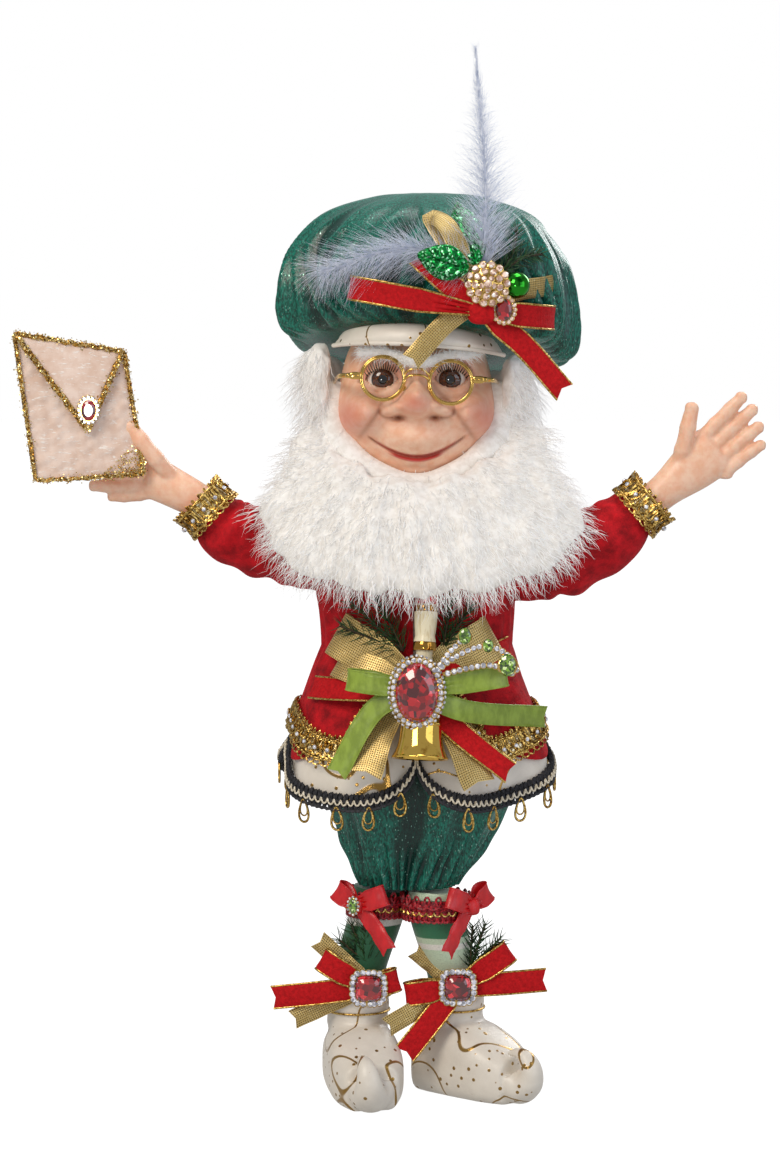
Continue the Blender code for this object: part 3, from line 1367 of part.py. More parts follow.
def bell_cap():
    """The wooden cap on the end of the handle, with a small knob."""
    start = BELL_HEIGHT + BELL_HANDLE_LENGTH + 2 * FIT
    r = BELL_HANDLE_RADIUS
    profile = [(r * 1.6, start), (r * 1.6, start + BELL_CAP_HEIGHT * 0.6), (r * 0.8, start + BELL_CAP_HEIGHT)]
    return turned("bell_cap", profile, BELL_FOOT, 8, "brass", axis=BELL_AXIS)


def chest_swirl():
    """The looped brooch of small stones beside the jewel, joined to its setting's edge."""
    y = GREEN_BOW_Y - 2.2
    z = CHEST_KNOT_Z
    loop = smooth_path([
        (7, y, z + 8), (15, y, z + 14), (25, y, z + 18), (33, y + 0.5, z + 16), (38.5, y + 1, z + 10),
        (36, y + 1, z + 7.4), (29, y + 0.5, z + 10.6), (20, y, z + 9.6), (10, y, z + 7.0)], 11)
    stem = [(7, y, z + 8), (12, y, z + 15), (18.5, y + 0.5, z + 21.5)]
    pieces = [
        tube("loop", loop, STONE_RADIUS, 4, "silver_stones"),
        tube("stem", stem, STONE_RADIUS * 1.5, 4, "silver_stones"),
        gem("stone", (35.5, y + 0.6, z + 10.4), 3.6, 3.6, 3.0, "green_bauble", count=6),
    ]
    return join("chest_swirl", pieces)


# Legs


def trousers():
    """Padded bloomers, full at the hips, drawn in to the stockings in deep gathers."""
    turn = np.linspace(0, 2 * math.pi, 30, endpoint=False)
    rings = []
    levels = [
        (TROUSER_TOP_Z, 0.86, 0.62, 0.0, 0.3), (143.0, 1.0, 0.74, 1.0, 0.9), (124.0, 0.98, 0.75, 2.0, 1.0),
        (108.0, 0.82, 0.64, 1.0, 1.1), (95.0, 0.63, 0.52, -1.0, 1.1), (TROUSER_END_Z, 0.50, 0.44, -2.5, 0.5),
    ]
    for z, wide, deep, shift, gather in levels:
        ring = []
        for a in turn:
            fold = 1 + 0.05 * gather * math.sin(TROUSER_FOLDS * a + 0.5)
            part = 1 - 0.12 * gather * math.exp(-((math.remainder(a, math.pi) / 0.2) ** 2))
            r = TROUSER_HALF_WIDTH * fold * part
            ring.append((shift + r * wide * math.sin(a), -r * deep * math.cos(a), z))
        rings.append(ring)
    return loft("trousers", rings, "green_brocade")


RIGHT_LEG = [(-14, 4, TROUSER_END_Z), (-15, 4, 76), (-21, 3, 56), (-23, 3, BOOT_HEIGHT)]
LEFT_LEG = [(8, -5, TROUSER_END_Z), (8, -5, 76), (13, 3, 56), (15, 7, BOOT_HEIGHT)]


def stocking(name, path):
    """A striped stocking over the padded leg."""
    line = smooth_path(path, 6)
    radii = np.linspace(STOCKING_TOP_RADIUS, STOCKING_ANKLE_RADIUS, 6) * np.array([1, 1.02, 0.98, 1.0, 1, 1])
    rings = tube_rings(line, radii, 10)
    rings[0, :, 2] = TROUSER_END_Z - 0.4
    rings[-1, :, 2] = BOOT_HEIGHT + 0.4
    return loft(name, rings, "striped_stocking")


def stocking_trim(name, path):
    """The red and gold gimp round the stocking's top, its upper edge in loops."""
    centre = np.array((path[0][0], path[0][1], TROUSER_END_Z - TRIM_HEIGHT * 0.72))
    rings = []
    outer = STOCKING_TOP_RADIUS + 0.9 + TRIM_THICKNESS
    for radius, offset in ((outer - TRIM_THICKNESS, -0.5), (outer, -0.5), (outer + 0.5, 0.5), (outer + 0.5 - TRIM_THICKNESS, 0.5)):
        ring = []
        for i in range(12):
            a = 2 * math.pi * i / 12
            loop = 1 + (0.30 * (i % 2) if offset > 0 else 0)
            ring.append(centre + (radius * math.cos(a), radius * math.sin(a), TRIM_HEIGHT * offset * loop))
        rings.append(ring)
    return band(name, rings, "red_trim")


def stocking_bow(name, at, side, facing):
    """A small satin bow with a set stone at its knot."""
    at, facing = np.asarray(at, float), unit(facing)
    right = unit(np.cross(facing, (0, 0, 1)))
    up = np.array((0.0, 0.0, 1.0))
    pieces = [
        knot_block("bow_knot", at, (3.4, 3.0, 3.4), "red_satin"),
        ribbon_loop("loop_a", at, at + right * 13 * side + up * 5, SATIN_WIDTH, 5, "red_satin", facing=facing),
        ribbon_loop("loop_b", at, at - right * 9 * side + up * 6, SATIN_WIDTH, 5, "red_satin", facing=facing),
        ribbon("tail_a", [at, at + right * 8 * side - up * 8 + facing, at + right * 15 * side - up * 17 + facing * 2],
               SATIN_WIDTH * 0.8, "red_satin", facing=facing, count=3),
    ]
    return join(name, pieces)


def boot_ring(centre, ahead, wide, low, high, lift=0.0):
    """One cross section of a boot's foot: flat below, arched above."""
    across = unit(np.cross(ahead, (0, 0, 1)))
    ring = []
    for a in np.linspace(0, 2 * math.pi, 10, endpoint=False):
        c, s = math.cos(a + math.pi / 10), math.sin(a + math.pi / 10)
        u = math.copysign(abs(c) ** 0.75, c) * wide
        v = max((math.copysign(abs(s) ** 0.6, s) + 1) / 2 - 0.06, 0.0) / 0.94
        ring.append(np.array((centre[0], centre[1], 0.0)) + across * u + np.array((0, 0, lift + low + (high - low) * v)))
    return ring


def boot(name, ankle, heading, curl_side):
    """A soft elf boot: a shaft, a full foot on a flat sole and a toe that curls up and over."""
    ankle = np.asarray(ankle, float)
    ahead = np.array((math.sin(heading), -math.cos(heading), 0.0))
    across = unit(np.cross(ahead, (0, 0, 1)))
    sole = []
    stations = ((-0.36, 0.50, 16), (-0.28, 0.82, 24), (0.0, 0.95, 30), (0.30, 1.0, 30), (0.60, 0.98, 25), (0.86, 0.74, 18.5))
    for along, wide, high in stations:
        sole.append(boot_ring(ankle + ahead * BOOT_LENGTH * along, ahead, BOOT_HALF_WIDTH * wide, 0.0, high))
    toe = ankle + ahead * BOOT_LENGTH * 0.95
    for step, (turn, wide) in enumerate(((0.5, 0.46), (1.3, 0.36), (2.2, 0.27), (3.1, 0.16))):
        r = BOOT_TOE_CURL_RADIUS
        centre = toe + ahead * r * math.sin(turn) * 0.9 + across * curl_side * step * 1.3
        height = 7.5 + r * (1 - math.cos(turn))
        half = BOOT_HALF_WIDTH * wide
        direction = unit(ahead * math.cos(turn) + np.array((0, 0, 1.0)) * math.sin(turn))
        normal = np.cross(across, direction)
        ring = []
        for a in np.linspace(0, 2 * math.pi, 10, endpoint=False) + math.pi / 10:
            ring.append(np.array((centre[0], centre[1], height)) + across * half * math.cos(a) + normal * half * 0.85 * math.sin(a))
        sole.append(ring)
    foot = loft("foot", sole, "cream_satin")
    base = ankle * (1, 1, 0)
    shaft = tube("shaft", [base + (0, 0, 10.0), base + (0, 0, 26.0), base + (0, 0, BOOT_HEIGHT)],
                 [BOOT_SHAFT_RADIUS * 0.95, BOOT_SHAFT_RADIUS * 0.98, BOOT_SHAFT_RADIUS * BOOT_SHAFT_FLARE], 12, "cream_satin")
    return join(name, [foot, shaft])


def boot_bow(name, at, loops, tails, mesh_tails):
    """The velvet bow on a boot, with gold mesh ribbon behind it tied into the same knot."""
    at = np.asarray(at, float)
    pieces = [knot_block("boot_knot", at, (4.8, BOOT_KNOT_DEPTH, 4.8), "red_velvet")]
    for tip in loops:
        pieces.append(ribbon_loop("loop", at, at + tip, VELVET_WIDTH, 5, "red_velvet"))
    for tip in tails:
        pieces.append(ribbon("tail", [at, at + np.array(tip) * 0.5 + FORWARD * 1.5, at + tip], VELVET_WIDTH, "red_velvet", count=3))
    for tip in mesh_tails:
        pieces.append(ribbon("mesh", [at - FORWARD * 1.2, at + np.array(tip) * 0.5 - FORWARD * 1.4, at + tip], NARROW_MESH_WIDTH, "gold_mesh", count=3))
    return join(name, pieces)


# Where the boots' trimmings sit, just in front of each ankle
RIGHT_ANKLE = np.array((-23.5, 3.0, 0.0))
LEFT_ANKLE = np.array((15.0, 8.0, 0.0))
BOOT_KNOT_DEPTH = 2.6
BOOT_KNOT_OUT = BOOT_SHAFT_RADIUS * BOOT_SHAFT_FLARE + BOOT_KNOT_DEPTH + FIT
RIGHT_BUCKLE = np.array((-19.0, RIGHT_ANKLE[1] - BOOT_KNOT_OUT + 0.6, 46.5))
LEFT_BUCKLE = np.array((16.8, LEFT_ANKLE[1] - BOOT_KNOT_OUT, 46.0))


def build():
    """All pieces, from the ones that keep their full shape to the soft ones cut round them."""
    pieces = [
        eye(-1, "eye_right"), eye(1, "eye_left"), spectacles(),
        bell_cup(), bell_handle(), bell_cap(),
        gem("chest_gem", (CHEST_X, JEWEL_Y - 1.2, CHEST_KNOT_Z), CHEST_GEM_HALF_WIDTH, CHEST_GEM_HALF_HEIGHT, GEM_HEIGHT * 1.5, "red_gem"),
        stone_ring("chest_jewel_setting", (CHEST_X, JEWEL_Y, CHEST_KNOT_Z), CHEST_GEM_HALF_WIDTH + 2.2, CHEST_GEM_HALF_HEIGHT + 2.2, "silver_stones"),
        chest_swirl(),
        set_stone("boot_buckle_right", RIGHT_BUCKLE + FORWARD * 3.0, BUCKLE_HALF_WIDTH, BUCKLE_HALF_WIDTH, STONE_RADIUS, 3.6, "red_gem", squareness=4.0),
        set_stone("boot_buckle_left", LEFT_BUCKLE + FORWARD * 3.0, BUCKLE_HALF_WIDTH, BUCKLE_HALF_WIDTH, STONE_RADIUS, 3.6, "red_gem", squareness=4.0),
        set_stone("hat_jewel", hat_front(TRIM_X + 8.6, TRIM_Z + 0.5, 8.0), 4.6, 5.6, 1.0, 2.8, "red_gem", count=10),
        turned("hat_bauble", [(BAUBLE_RADIUS * math.sin(a), -BAUBLE_RADIUS * math.cos(a)) for a in np.linspace(0.3, math.pi - 0.3, 7)],
               hat_front(TRIM_X + 13.5, TRIM_Z + 10.0, 8.0), 9, "green_bauble"),
        turned("hat_brooch", [(BROOCH_RADIUS * 0.92, 0), (BROOCH_RADIUS, 1.4), (BROOCH_RADIUS * 0.7, 3.4), (BROOCH_RADIUS * 0.3, 4.6)],
               hat_front(TRIM_X + 2.2, TRIM_Z + 10.5, 7.0), 12, "silver_stones", axis=(0, -1, 0)),
        hand_right(), hand_left(), head(), envelope_jewel(), envelope(),
        leaf("hat_leaf_upper", hat_front(TRIM_X - 2, TRIM_Z + 17, 5.6), hat_front(TRIM_X - 9, TRIM_Z + 41, 5.0), 7.0, 4.0, "glitter_leaf"),
        leaf("hat_leaf_lower", hat_front(TRIM_X - 5, TRIM_Z + 16, 6.8), hat_front(TRIM_X - 25, TRIM_Z + 22, 7.0), 6.6, 4.0, "glitter_leaf"),
        chest_bow_green(), chest_bow_red(), chest_bow_mesh(),
        hat_bow(), hat_mesh_ribbon(),
        boot_bow("boot_bow_right", RIGHT_BUCKLE, [(-19, 2, 11), (12, 1, 3)], [(-38, 3, -5)], [(-30, 4, -14), (-20, 4, 18)]),
        boot_bow("boot_bow_left", LEFT_BUCKLE, [(-21, -2, -3), (21, 2, 14)], [(35, 2, 2), (-21, -7, -26)], [(-28, -8, -15), (-17, 3, 14)]),
        stocking_bow("stocking_bow_right", (RIGHT_LEG[0][0] - 9.5, -11.0, 79.5), -1, (-0.5, -1, 0)),
        stocking_bow("stocking_bow_left", (LEFT_LEG[0][0] + 14.0, -12.0, 79.0), 1, (0.75, -0.8, 0)),
        sprig("chest_pine_right", coat_front(-5, 184, 7.5), coat_front(-26, 203, 7.9), 9.0, 5),
        sprig("chest_pine_left", coat_front(10, 184, 6.9), coat_front(14, 206, 6.8), 6.5, 4),
        sprig("hat_pine", hat_front(TRIM_X + 7, TRIM_Z + 15, 4.2), hat_front(TRIM_X + 14, TRIM_Z + 31, 5.0), 8.0, 4),
        sprig("boot_pine_right", RIGHT_BUCKLE + (0, 6.0, 8), RIGHT_BUCKLE + (-7, 6.6, 24), 9.0, 4),
        sprig("boot_pine_left", LEFT_BUCKLE + (5, 3.4, 6), LEFT_BUCKLE + (11, 0.4, 25), 9.0, 4),
        cuff("cuff_right", RIGHT_ARM), cuff("cuff_left", LEFT_ARM),
        stocking_trim("stocking_trim_right", RIGHT_LEG), stocking_trim("stocking_trim_left", LEFT_LEG),
        boot("boot_right", RIGHT_ANKLE, math.radians(10), 1), boot("boot_left", LEFT_ANKLE, math.radians(48), 1),
        stocking("stocking_right", RIGHT_LEG), stocking("stocking_left", LEFT_LEG),
        torso(), hem_braid(), coat_lace(), collar(),
        coat(), underskirt(), trousers(),
        sleeve("sleeve_right", RIGHT_ARM, RIGHT_ARM_RADII), sleeve("sleeve_left", LEFT_ARM, LEFT_ARM_RADII),
        eyebrows(), hat_brim(), hat_crown(), beard(), hair(), hat_feather(),
    ]
    settle(pieces)
    figure = bpy.data.objects.new("figure", None)
    figure.location = (AXIS_X * MM, AXIS_Y * MM, 0)
    bpy.context.scene.collection.objects.link(figure)
    for piece in pieces:
        piece.parent = figure
    return pieces


for leftover in list(bpy.data.objects):
    bpy.data.objects.remove(leftover)
build()
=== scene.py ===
"""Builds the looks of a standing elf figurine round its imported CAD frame, and sets up its lights and camera.

The figure faces -Y. Right and left are its own, so the hand with the envelope is at -X.
Lengths are millimetres from the figure's own axis, and metres() turns them into the frame's coordinates.
Every shape is a surface from a formula: a grid of two parameters, or a profile carried along a path.
"""

import logging
import math
import sys
from collections.abc import Callable, Sequence
from dataclasses import dataclass, field
from enum import Enum

import bmesh
import bpy
import numpy as np
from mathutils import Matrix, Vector

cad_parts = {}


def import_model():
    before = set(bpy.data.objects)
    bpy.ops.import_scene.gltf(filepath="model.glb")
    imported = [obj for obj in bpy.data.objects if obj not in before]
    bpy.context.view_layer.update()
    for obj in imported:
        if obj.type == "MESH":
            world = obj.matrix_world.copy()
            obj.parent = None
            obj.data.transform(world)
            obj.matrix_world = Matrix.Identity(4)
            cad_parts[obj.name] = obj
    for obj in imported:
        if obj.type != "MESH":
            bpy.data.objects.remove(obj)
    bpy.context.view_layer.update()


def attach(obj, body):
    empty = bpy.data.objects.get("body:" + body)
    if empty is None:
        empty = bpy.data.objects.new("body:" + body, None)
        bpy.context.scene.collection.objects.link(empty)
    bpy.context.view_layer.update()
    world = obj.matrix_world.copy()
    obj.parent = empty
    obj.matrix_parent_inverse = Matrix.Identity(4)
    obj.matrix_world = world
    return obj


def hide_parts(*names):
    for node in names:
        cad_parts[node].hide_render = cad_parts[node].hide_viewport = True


LOG = logging.getLogger("elf")

MM = 0.001
AXIS = np.array((10.0, 3.1, 0.0))
TAU = 2 * math.pi
TINY = 1e-9
WELD_METRES = 1e-6
SEED = 20

Points = np.ndarray
FORWARD = np.array((0.0, -1.0, 0.0))
UPWARD = np.array((0.0, 0.0, 1.0))


# Points and paths


def metres(points: Points) -> Points:
    """Points in millimetres from the figure's axis, as metres in the frame."""
    return (np.asarray(points, float) + AXIS) * MM


def unit(vectors: Points) -> Points:
    """The vectors, each divided by its own length."""
    vectors = np.asarray(vectors, float)
    return vectors / np.maximum(np.linalg.norm(vectors, axis=-1, keepdims=True), TINY)


def smooth_path(points: Points, count: int, closed: bool = False) -> Points:
    """Points on a Catmull-Rom curve: its tangent at a given point is parallel to the neighbours' chord.

    Args:
        points: the curve's own points, one row each.
        count: how many points to return.
        closed: whether the curve runs from its last point back to its first.

    Returns:
        count rows of points.
    """
    points = np.asarray(points, float)
    if closed:
        padded = np.concatenate([points[-1:], points, points[:2]])
        along = np.linspace(0, len(points), count, endpoint=False)
    else:
        padded = np.concatenate([[2 * points[0] - points[1]], points, [2 * points[-1] - points[-2]]])
        along = np.linspace(0, len(points) - 1, count)
    spans = len(padded) - 3
    i = np.minimum(along.astype(int), spans - 1)
    f = (along - i)[:, None]
    p0, p1, p2, p3 = (padded[i + k] for k in range(4))
    return 0.5 * (
        2 * p1 + (p2 - p0) * f + (2 * p0 - 5 * p1 + 4 * p2 - p3) * f**2 + (3 * p1 - p0 - 3 * p2 + p3) * f**3
    )


def tangents_of(path: Points, closed: bool = False) -> Points:
    """Unit tangents of a path, from each point's two neighbours. The last axis but one runs along it.

    Args:
        path: its points.
        closed: whether it is a loop.

    Returns:
        one unit vector for each point.
    """
    if closed:
        return unit(np.roll(path, -1, axis=-2) - np.roll(path, 1, axis=-2))
    return unit(np.gradient(path, axis=-2))


def arc_lengths(path: Points) -> Points:
    """The distance along a path to each of its points."""
    steps = np.linalg.norm(np.diff(path, axis=0), axis=1)
    return np.concatenate([[0.0], np.cumsum(steps)])


def bump(x: Points, z: Points, at: tuple[float, float], spread: tuple[float, float], height: float) -> Points:
    """A soft round rise: height times e to the minus squared distance, measured in spreads."""
    return height * np.exp(-(((x - at[0]) / spread[0]) ** 2) - ((z - at[1]) / spread[1]) ** 2)


def step_up(value: Points, low: float, high: float) -> Points:
    """0 below low, 1 above high, and 3t squared minus 2t cubed between them."""
    t = np.clip((value - low) / (high - low), 0, 1)
    return t * t * (3 - 2 * t)


def ripple(points: Points, size: float, seed: float = 0.0) -> Points:
    """A smooth field in -1 to 1 that looks random: three sines along slanted ways, each bent by another.

    Args:
        points: where to work it out.
        size: its waves' length in millimetres.
        seed: shifts the pattern.

    Returns:
        one value for each point.
    """
    p = np.asarray(points, float) / size * TAU
    x, y, z = p[..., 0] + seed, p[..., 1] + 1.7 * seed, p[..., 2] + 2.3 * seed
    first = np.sin(0.9 * x + 0.4 * y + 0.7 * np.sin(0.6 * z + 0.5 * y))
    second = np.sin(0.8 * z - 0.5 * x + 0.9 * np.sin(0.7 * y + 0.3 * x) + 1.3)
    third = np.sin(0.7 * y + 0.6 * z + 0.8 * np.sin(0.5 * x - 0.6 * z) + 2.1)
    return (first + second + third) / 3


# Surfaces


@dataclass
class Surface:
    """A piece of mesh: points in millimetres, quads, triangles, and a UV in millimetres at each corner."""

    points: Points
    quads: Points
    quad_uv: Points
    triangles: Points = field(default_factory=lambda: np.zeros((0, 3), int))
    slot: int = 0
    paint: Points | None = None

    def painted(self, paint: Points) -> "Surface":
        """The same surface with four painted shares at each point."""
        self.paint = np.asarray(paint, float).reshape(-1, 4)
        return self

    def in_slot(self, slot: int) -> "Surface":
        """The same surface in another material slot of its piece."""
        self.slot = slot
        return self


def grid_surface(grid: Points, around: bool = False, looped: bool = False, slot: int = 0) -> Surface:
    """A surface of quads through a grid of points.

    Args:
        grid: rows by columns of points.
        around: whether the last column joins the first.
        looped: whether the last row joins the first.
        slot: the material slot of its faces.

    Returns:
        the surface, its U the mean distance along the rows and its V the mean distance down the columns.
    """
    rows, columns = grid.shape[:2]
    r = np.arange(rows if looped else rows - 1)[:, None]
    c = np.arange(columns if around else columns - 1)[None, :]
    r2, c2 = (r + 1) % rows, (c + 1) % columns
    quads = np.stack([r * columns + c, r * columns + c2, r2 * columns + c2, r2 * columns + c], axis=-1)
    wide = np.linalg.norm(np.roll(grid, -1, axis=1) - grid, axis=2).mean(axis=0)
    tall = np.linalg.norm(np.roll(grid, -1, axis=0) - grid, axis=2).mean(axis=1)
    u = np.concatenate([[0.0], np.cumsum(wide)])
    v = np.concatenate([[0.0], np.cumsum(tall)])
    c, r = np.broadcast_arrays(c, r)
    uv = np.stack([
        np.stack([u[c], v[r]], -1), np.stack([u[c + 1], v[r]], -1),
        np.stack([u[c + 1], v[r + 1]], -1), np.stack([u[c], v[r + 1]], -1)], axis=2)
    return Surface(grid.reshape(-1, 3), quads.reshape(-1, 4), uv.reshape(-1, 4, 2), slot=slot)


def tube(
    path: Points, radius: float | Points, sides: int = 8, up: Points = UPWARD, flat: float = 1.0,
    closed: bool = False, slot: int = 0,
) -> Surface:
    """A round profile carried along a path: centre plus radius times (cos a side + flat sin a rise).

    Args:
        path: the points of its centre line.
        radius: one radius, or one for each point.
        sides: how many points the profile has.
        up: the direction that the profile's rise leans towards.
        flat: the profile's height as a share of its width.
        closed: whether the path is a loop. An open tube's ends are drawn together to a point.
        slot: the material slot of its faces.

    Returns:
        the closed surface.
    """
    path = np.asarray(path, float)
    radius = np.broadcast_to(np.asarray(radius, float), (len(path),))
    ahead = tangents_of(path, closed)
    side = unit(np.cross(ahead, up))
    rise = np.cross(side, ahead)
    turn = np.linspace(0, TAU, sides, endpoint=False)
    ring = np.cos(turn)[:, None] * side[:, None] + flat * np.sin(turn)[:, None] * rise[:, None]
    rings = path[:, None] + ring * radius[:, None, None]
    if not closed:
        rings = np.concatenate([np.repeat(path[:1, None], sides, 1), rings,
                                np.repeat(path[-1:, None], sides, 1)])
    return grid_surface(rings, around=True, looped=closed, slot=slot)


def rings_round(line: Points, across: Points, rise: Points, turn: Points, reach: Points) -> Points:
    """Rings on a centre line: each point is the line's plus reach times (cos turn across + sin turn rise)."""
    around = np.cos(turn)[..., None] * across[:, None] + np.sin(turn)[..., None] * rise[:, None]
    return line[:, None] + reach[..., None] * around


def loft(rings: Points, slot: int = 0) -> Surface:
    """A closed surface through rings of points, its first and last rings drawn together to their middles.

    Args:
        rings: rings by points by three.
        slot: the material slot of its faces.

    Returns:
        the closed surface.
    """
    rings = np.asarray(rings, float)
    first = np.broadcast_to(rings[:1].mean(axis=1, keepdims=True), rings[:1].shape)
    last = np.broadcast_to(rings[-1:].mean(axis=1, keepdims=True), rings[-1:].shape)
    return grid_surface(np.concatenate([first, rings, last]), around=True, slot=slot)


def shell(grid: Points, thickness: float, around: bool = False, slot: int = 0,
          power: float = 10.0) -> Surface:
    """A sheet or pad: each face stands off by half the thickness times (1 - |s|^power), s being 1 at edges.

    Args:
        grid: rows by columns of points in the middle of the sheet.
        thickness: its full thickness.
        around: whether the last column joins the first.
        slot: the material slot of its faces.
        power: high for a thin sheet with square edges, and 2 for a pad that thins towards its edges.

    Returns:
        the closed surface, whose two faces meet at the edges.
    """
    rows, columns = grid.shape[:2]
    across = (np.roll(grid, -1, 1) - np.roll(grid, 1, 1)) if around else np.gradient(grid, axis=1)
    normal = unit(np.cross(across, np.gradient(grid, axis=0)))
    profile = 1 - np.abs(np.linspace(-1, 1, rows))[:, None] ** power
    if not around:
        profile = np.minimum(profile, 1 - np.abs(np.linspace(-1, 1, columns))[None, :] ** power)
    half = normal * (profile * thickness / 2)[..., None]
    sheet = np.concatenate([grid + half, (grid - half)[::-1][1:-1]])
    if around:
        return grid_surface(sheet, around=True, looped=True, slot=slot)
    near, far = grid_surface(grid + half, slot=slot), grid_surface((grid - half)[:, ::-1], slot=slot)
    return joined([near, far])


def joined(surfaces: Sequence[Surface]) -> Surface:
    """One surface from several in the same slot.

    Args:
        surfaces: the surfaces, whose first one gives the slot.

    Returns:
        the surface of them all.
    """
    offsets = np.cumsum([0, *[len(s.points) for s in surfaces[:-1]]])
    return Surface(
        np.concatenate([s.points for s in surfaces]),
        np.concatenate([s.quads + o for s, o in zip(surfaces, offsets)]),
        np.concatenate([s.quad_uv for s in surfaces]),
        np.concatenate([s.triangles + o for s, o in zip(surfaces, offsets)]),
        surfaces[0].slot,
    )


def strands(curves: Points, radius: float | Points, slot: int = 0) -> Surface:
    """Fine tapering fibres, three-sided: radius times (1 - share along)^0.6, down to a blunt tip.

    Args:
        curves: fibres by points by three.
        radius: one radius at the root, or one for each fibre.
        slot: the material slot of their faces.

    Returns:
        the closed fibres.
    """
    count, steps = curves.shape[:2]
    ahead = tangents_of(curves)
    side = unit(np.cross(ahead, unit(np.array((0.31, 0.83, 0.47)))))
    rise = np.cross(side, ahead)
    taper = np.maximum((1 - np.linspace(0, 1, steps)) ** 0.6, 0.12)
    wide = np.broadcast_to(np.asarray(radius, float), (count,))[:, None] * taper
    turn = np.arange(3) * TAU / 3
    ring = np.cos(turn)[:, None] * side[:, :, None] + np.sin(turn)[:, None] * rise[:, :, None]
    points = curves[:, :, None] + ring * wide[:, :, None, None]
    index = np.arange(count * steps * 3).reshape(count, steps, 3)
    here, there = index[:, :-1], index[:, 1:]
    quads = np.stack([here, np.roll(here, -1, 2), np.roll(there, -1, 2), there], axis=-1).reshape(-1, 4)
    triangles = np.concatenate([index[:, 0, ::-1], index[:, -1]])
    return Surface(points.reshape(-1, 3), quads, np.zeros((len(quads), 4, 2)), triangles, slot)


def copies(shape: Surface, at: Points, axes: Points, scale: float | Points = 1.0, slot: int = 0) -> Surface:
    """One small shape repeated: each point is its place plus scale times (x side + y rise + z out).

    Args:
        shape: the shape, its base at the origin and its top along +Z.
        at: the places, one row each.
        axes: for each place, its side, rise and outward directions as rows.
        scale: one size, or one for each place.
        slot: the material slot of the copies.

    Returns:
        all copies as one surface.
    """
    at, count = np.asarray(at, float), len(at)
    scale = np.broadcast_to(np.asarray(scale, float), (count,))
    points = at[:, None] + scale[:, None, None] * np.einsum("pk,nkj->npj", shape.points, axes)
    step = (np.arange(count) * len(shape.points))[:, None, None]
    return Surface(
        points.reshape(-1, 3), (shape.quads[None] + step).reshape(-1, 4),
        np.tile(shape.quad_uv, (count, 1, 1)),
        (shape.triangles[None] + step).reshape(-1, 3), slot)


def facing_axes(out: Points, count: int) -> Points:
    """For each place, a side, a rise and the outward direction, the side as level as it can be.

    Args:
        out: the outward direction, one or one for each place.
        count: how many places.

    Returns:
        places by three directions by three.
    """
    out = unit(np.broadcast_to(np.asarray(out, float), (count, 3)))
    side = unit(np.cross(np.where(np.abs(out[:, 2:]) > 0.95, (1.0, 0.0, 0.0), UPWARD), out))
    return np.stack([side, np.cross(out, side), out], axis=1)


def lathe(profile: Sequence[tuple[float, float]], sides: int, at: Points, axis: Points,
          slot: int = 0) -> Surface:
    """A turned solid: each (radius, height) of the profile swept round the axis.

    Args:
        profile: its radii and heights.
        sides: points round it.
        at: the foot of its axis.
        axis: the direction of its axis.
        slot: the material slot of its faces.

    Returns:
        the closed surface.
    """
    side, rise, out = facing_axes(axis, 1)[0]
    turn = np.linspace(0, TAU, sides, endpoint=False)
    circle = np.cos(turn)[:, None] * side + np.sin(turn)[:, None] * rise
    radius, height = np.asarray(profile, float).T
    return loft(np.asarray(at, float) + height[:, None, None] * out + radius[:, None, None] * circle, slot)


def blob(centre: Points, half: tuple[float, float, float], creases: float = 0.0, slot: int = 0) -> Surface:
    """A rounded block, |cos|^0.7 and |sin|^0.7 of two angles, with upright creases pressed into its sides.

    Args:
        centre: its middle.
        half: half its size along each axis.
        creases: their depth as a share of the radius.
        slot: the material slot of its faces.

    Returns:
        the closed surface.
    """
    up, turn = np.meshgrid(np.linspace(-math.pi / 2, math.pi / 2, 22),
                           np.linspace(0, TAU, 40, endpoint=False), indexing="ij")

    def soft(value: Points) -> Points:
        """The value's size to the power 0.7, with its own sign."""
        return np.sign(value) * np.abs(value) ** 0.7

    pinch = 1 + creases * np.sin(7 * turn + 3 * np.sin(up)) * np.cos(up)
    grid = np.stack([
        half[0] * soft(np.cos(up)) * soft(np.cos(turn)) * pinch,
        half[1] * soft(np.cos(up)) * soft(np.sin(turn)) * pinch, half[2] * soft(np.sin(up))], axis=-1)
    return grid_surface(np.asarray(centre, float) + grid, around=True, slot=slot)


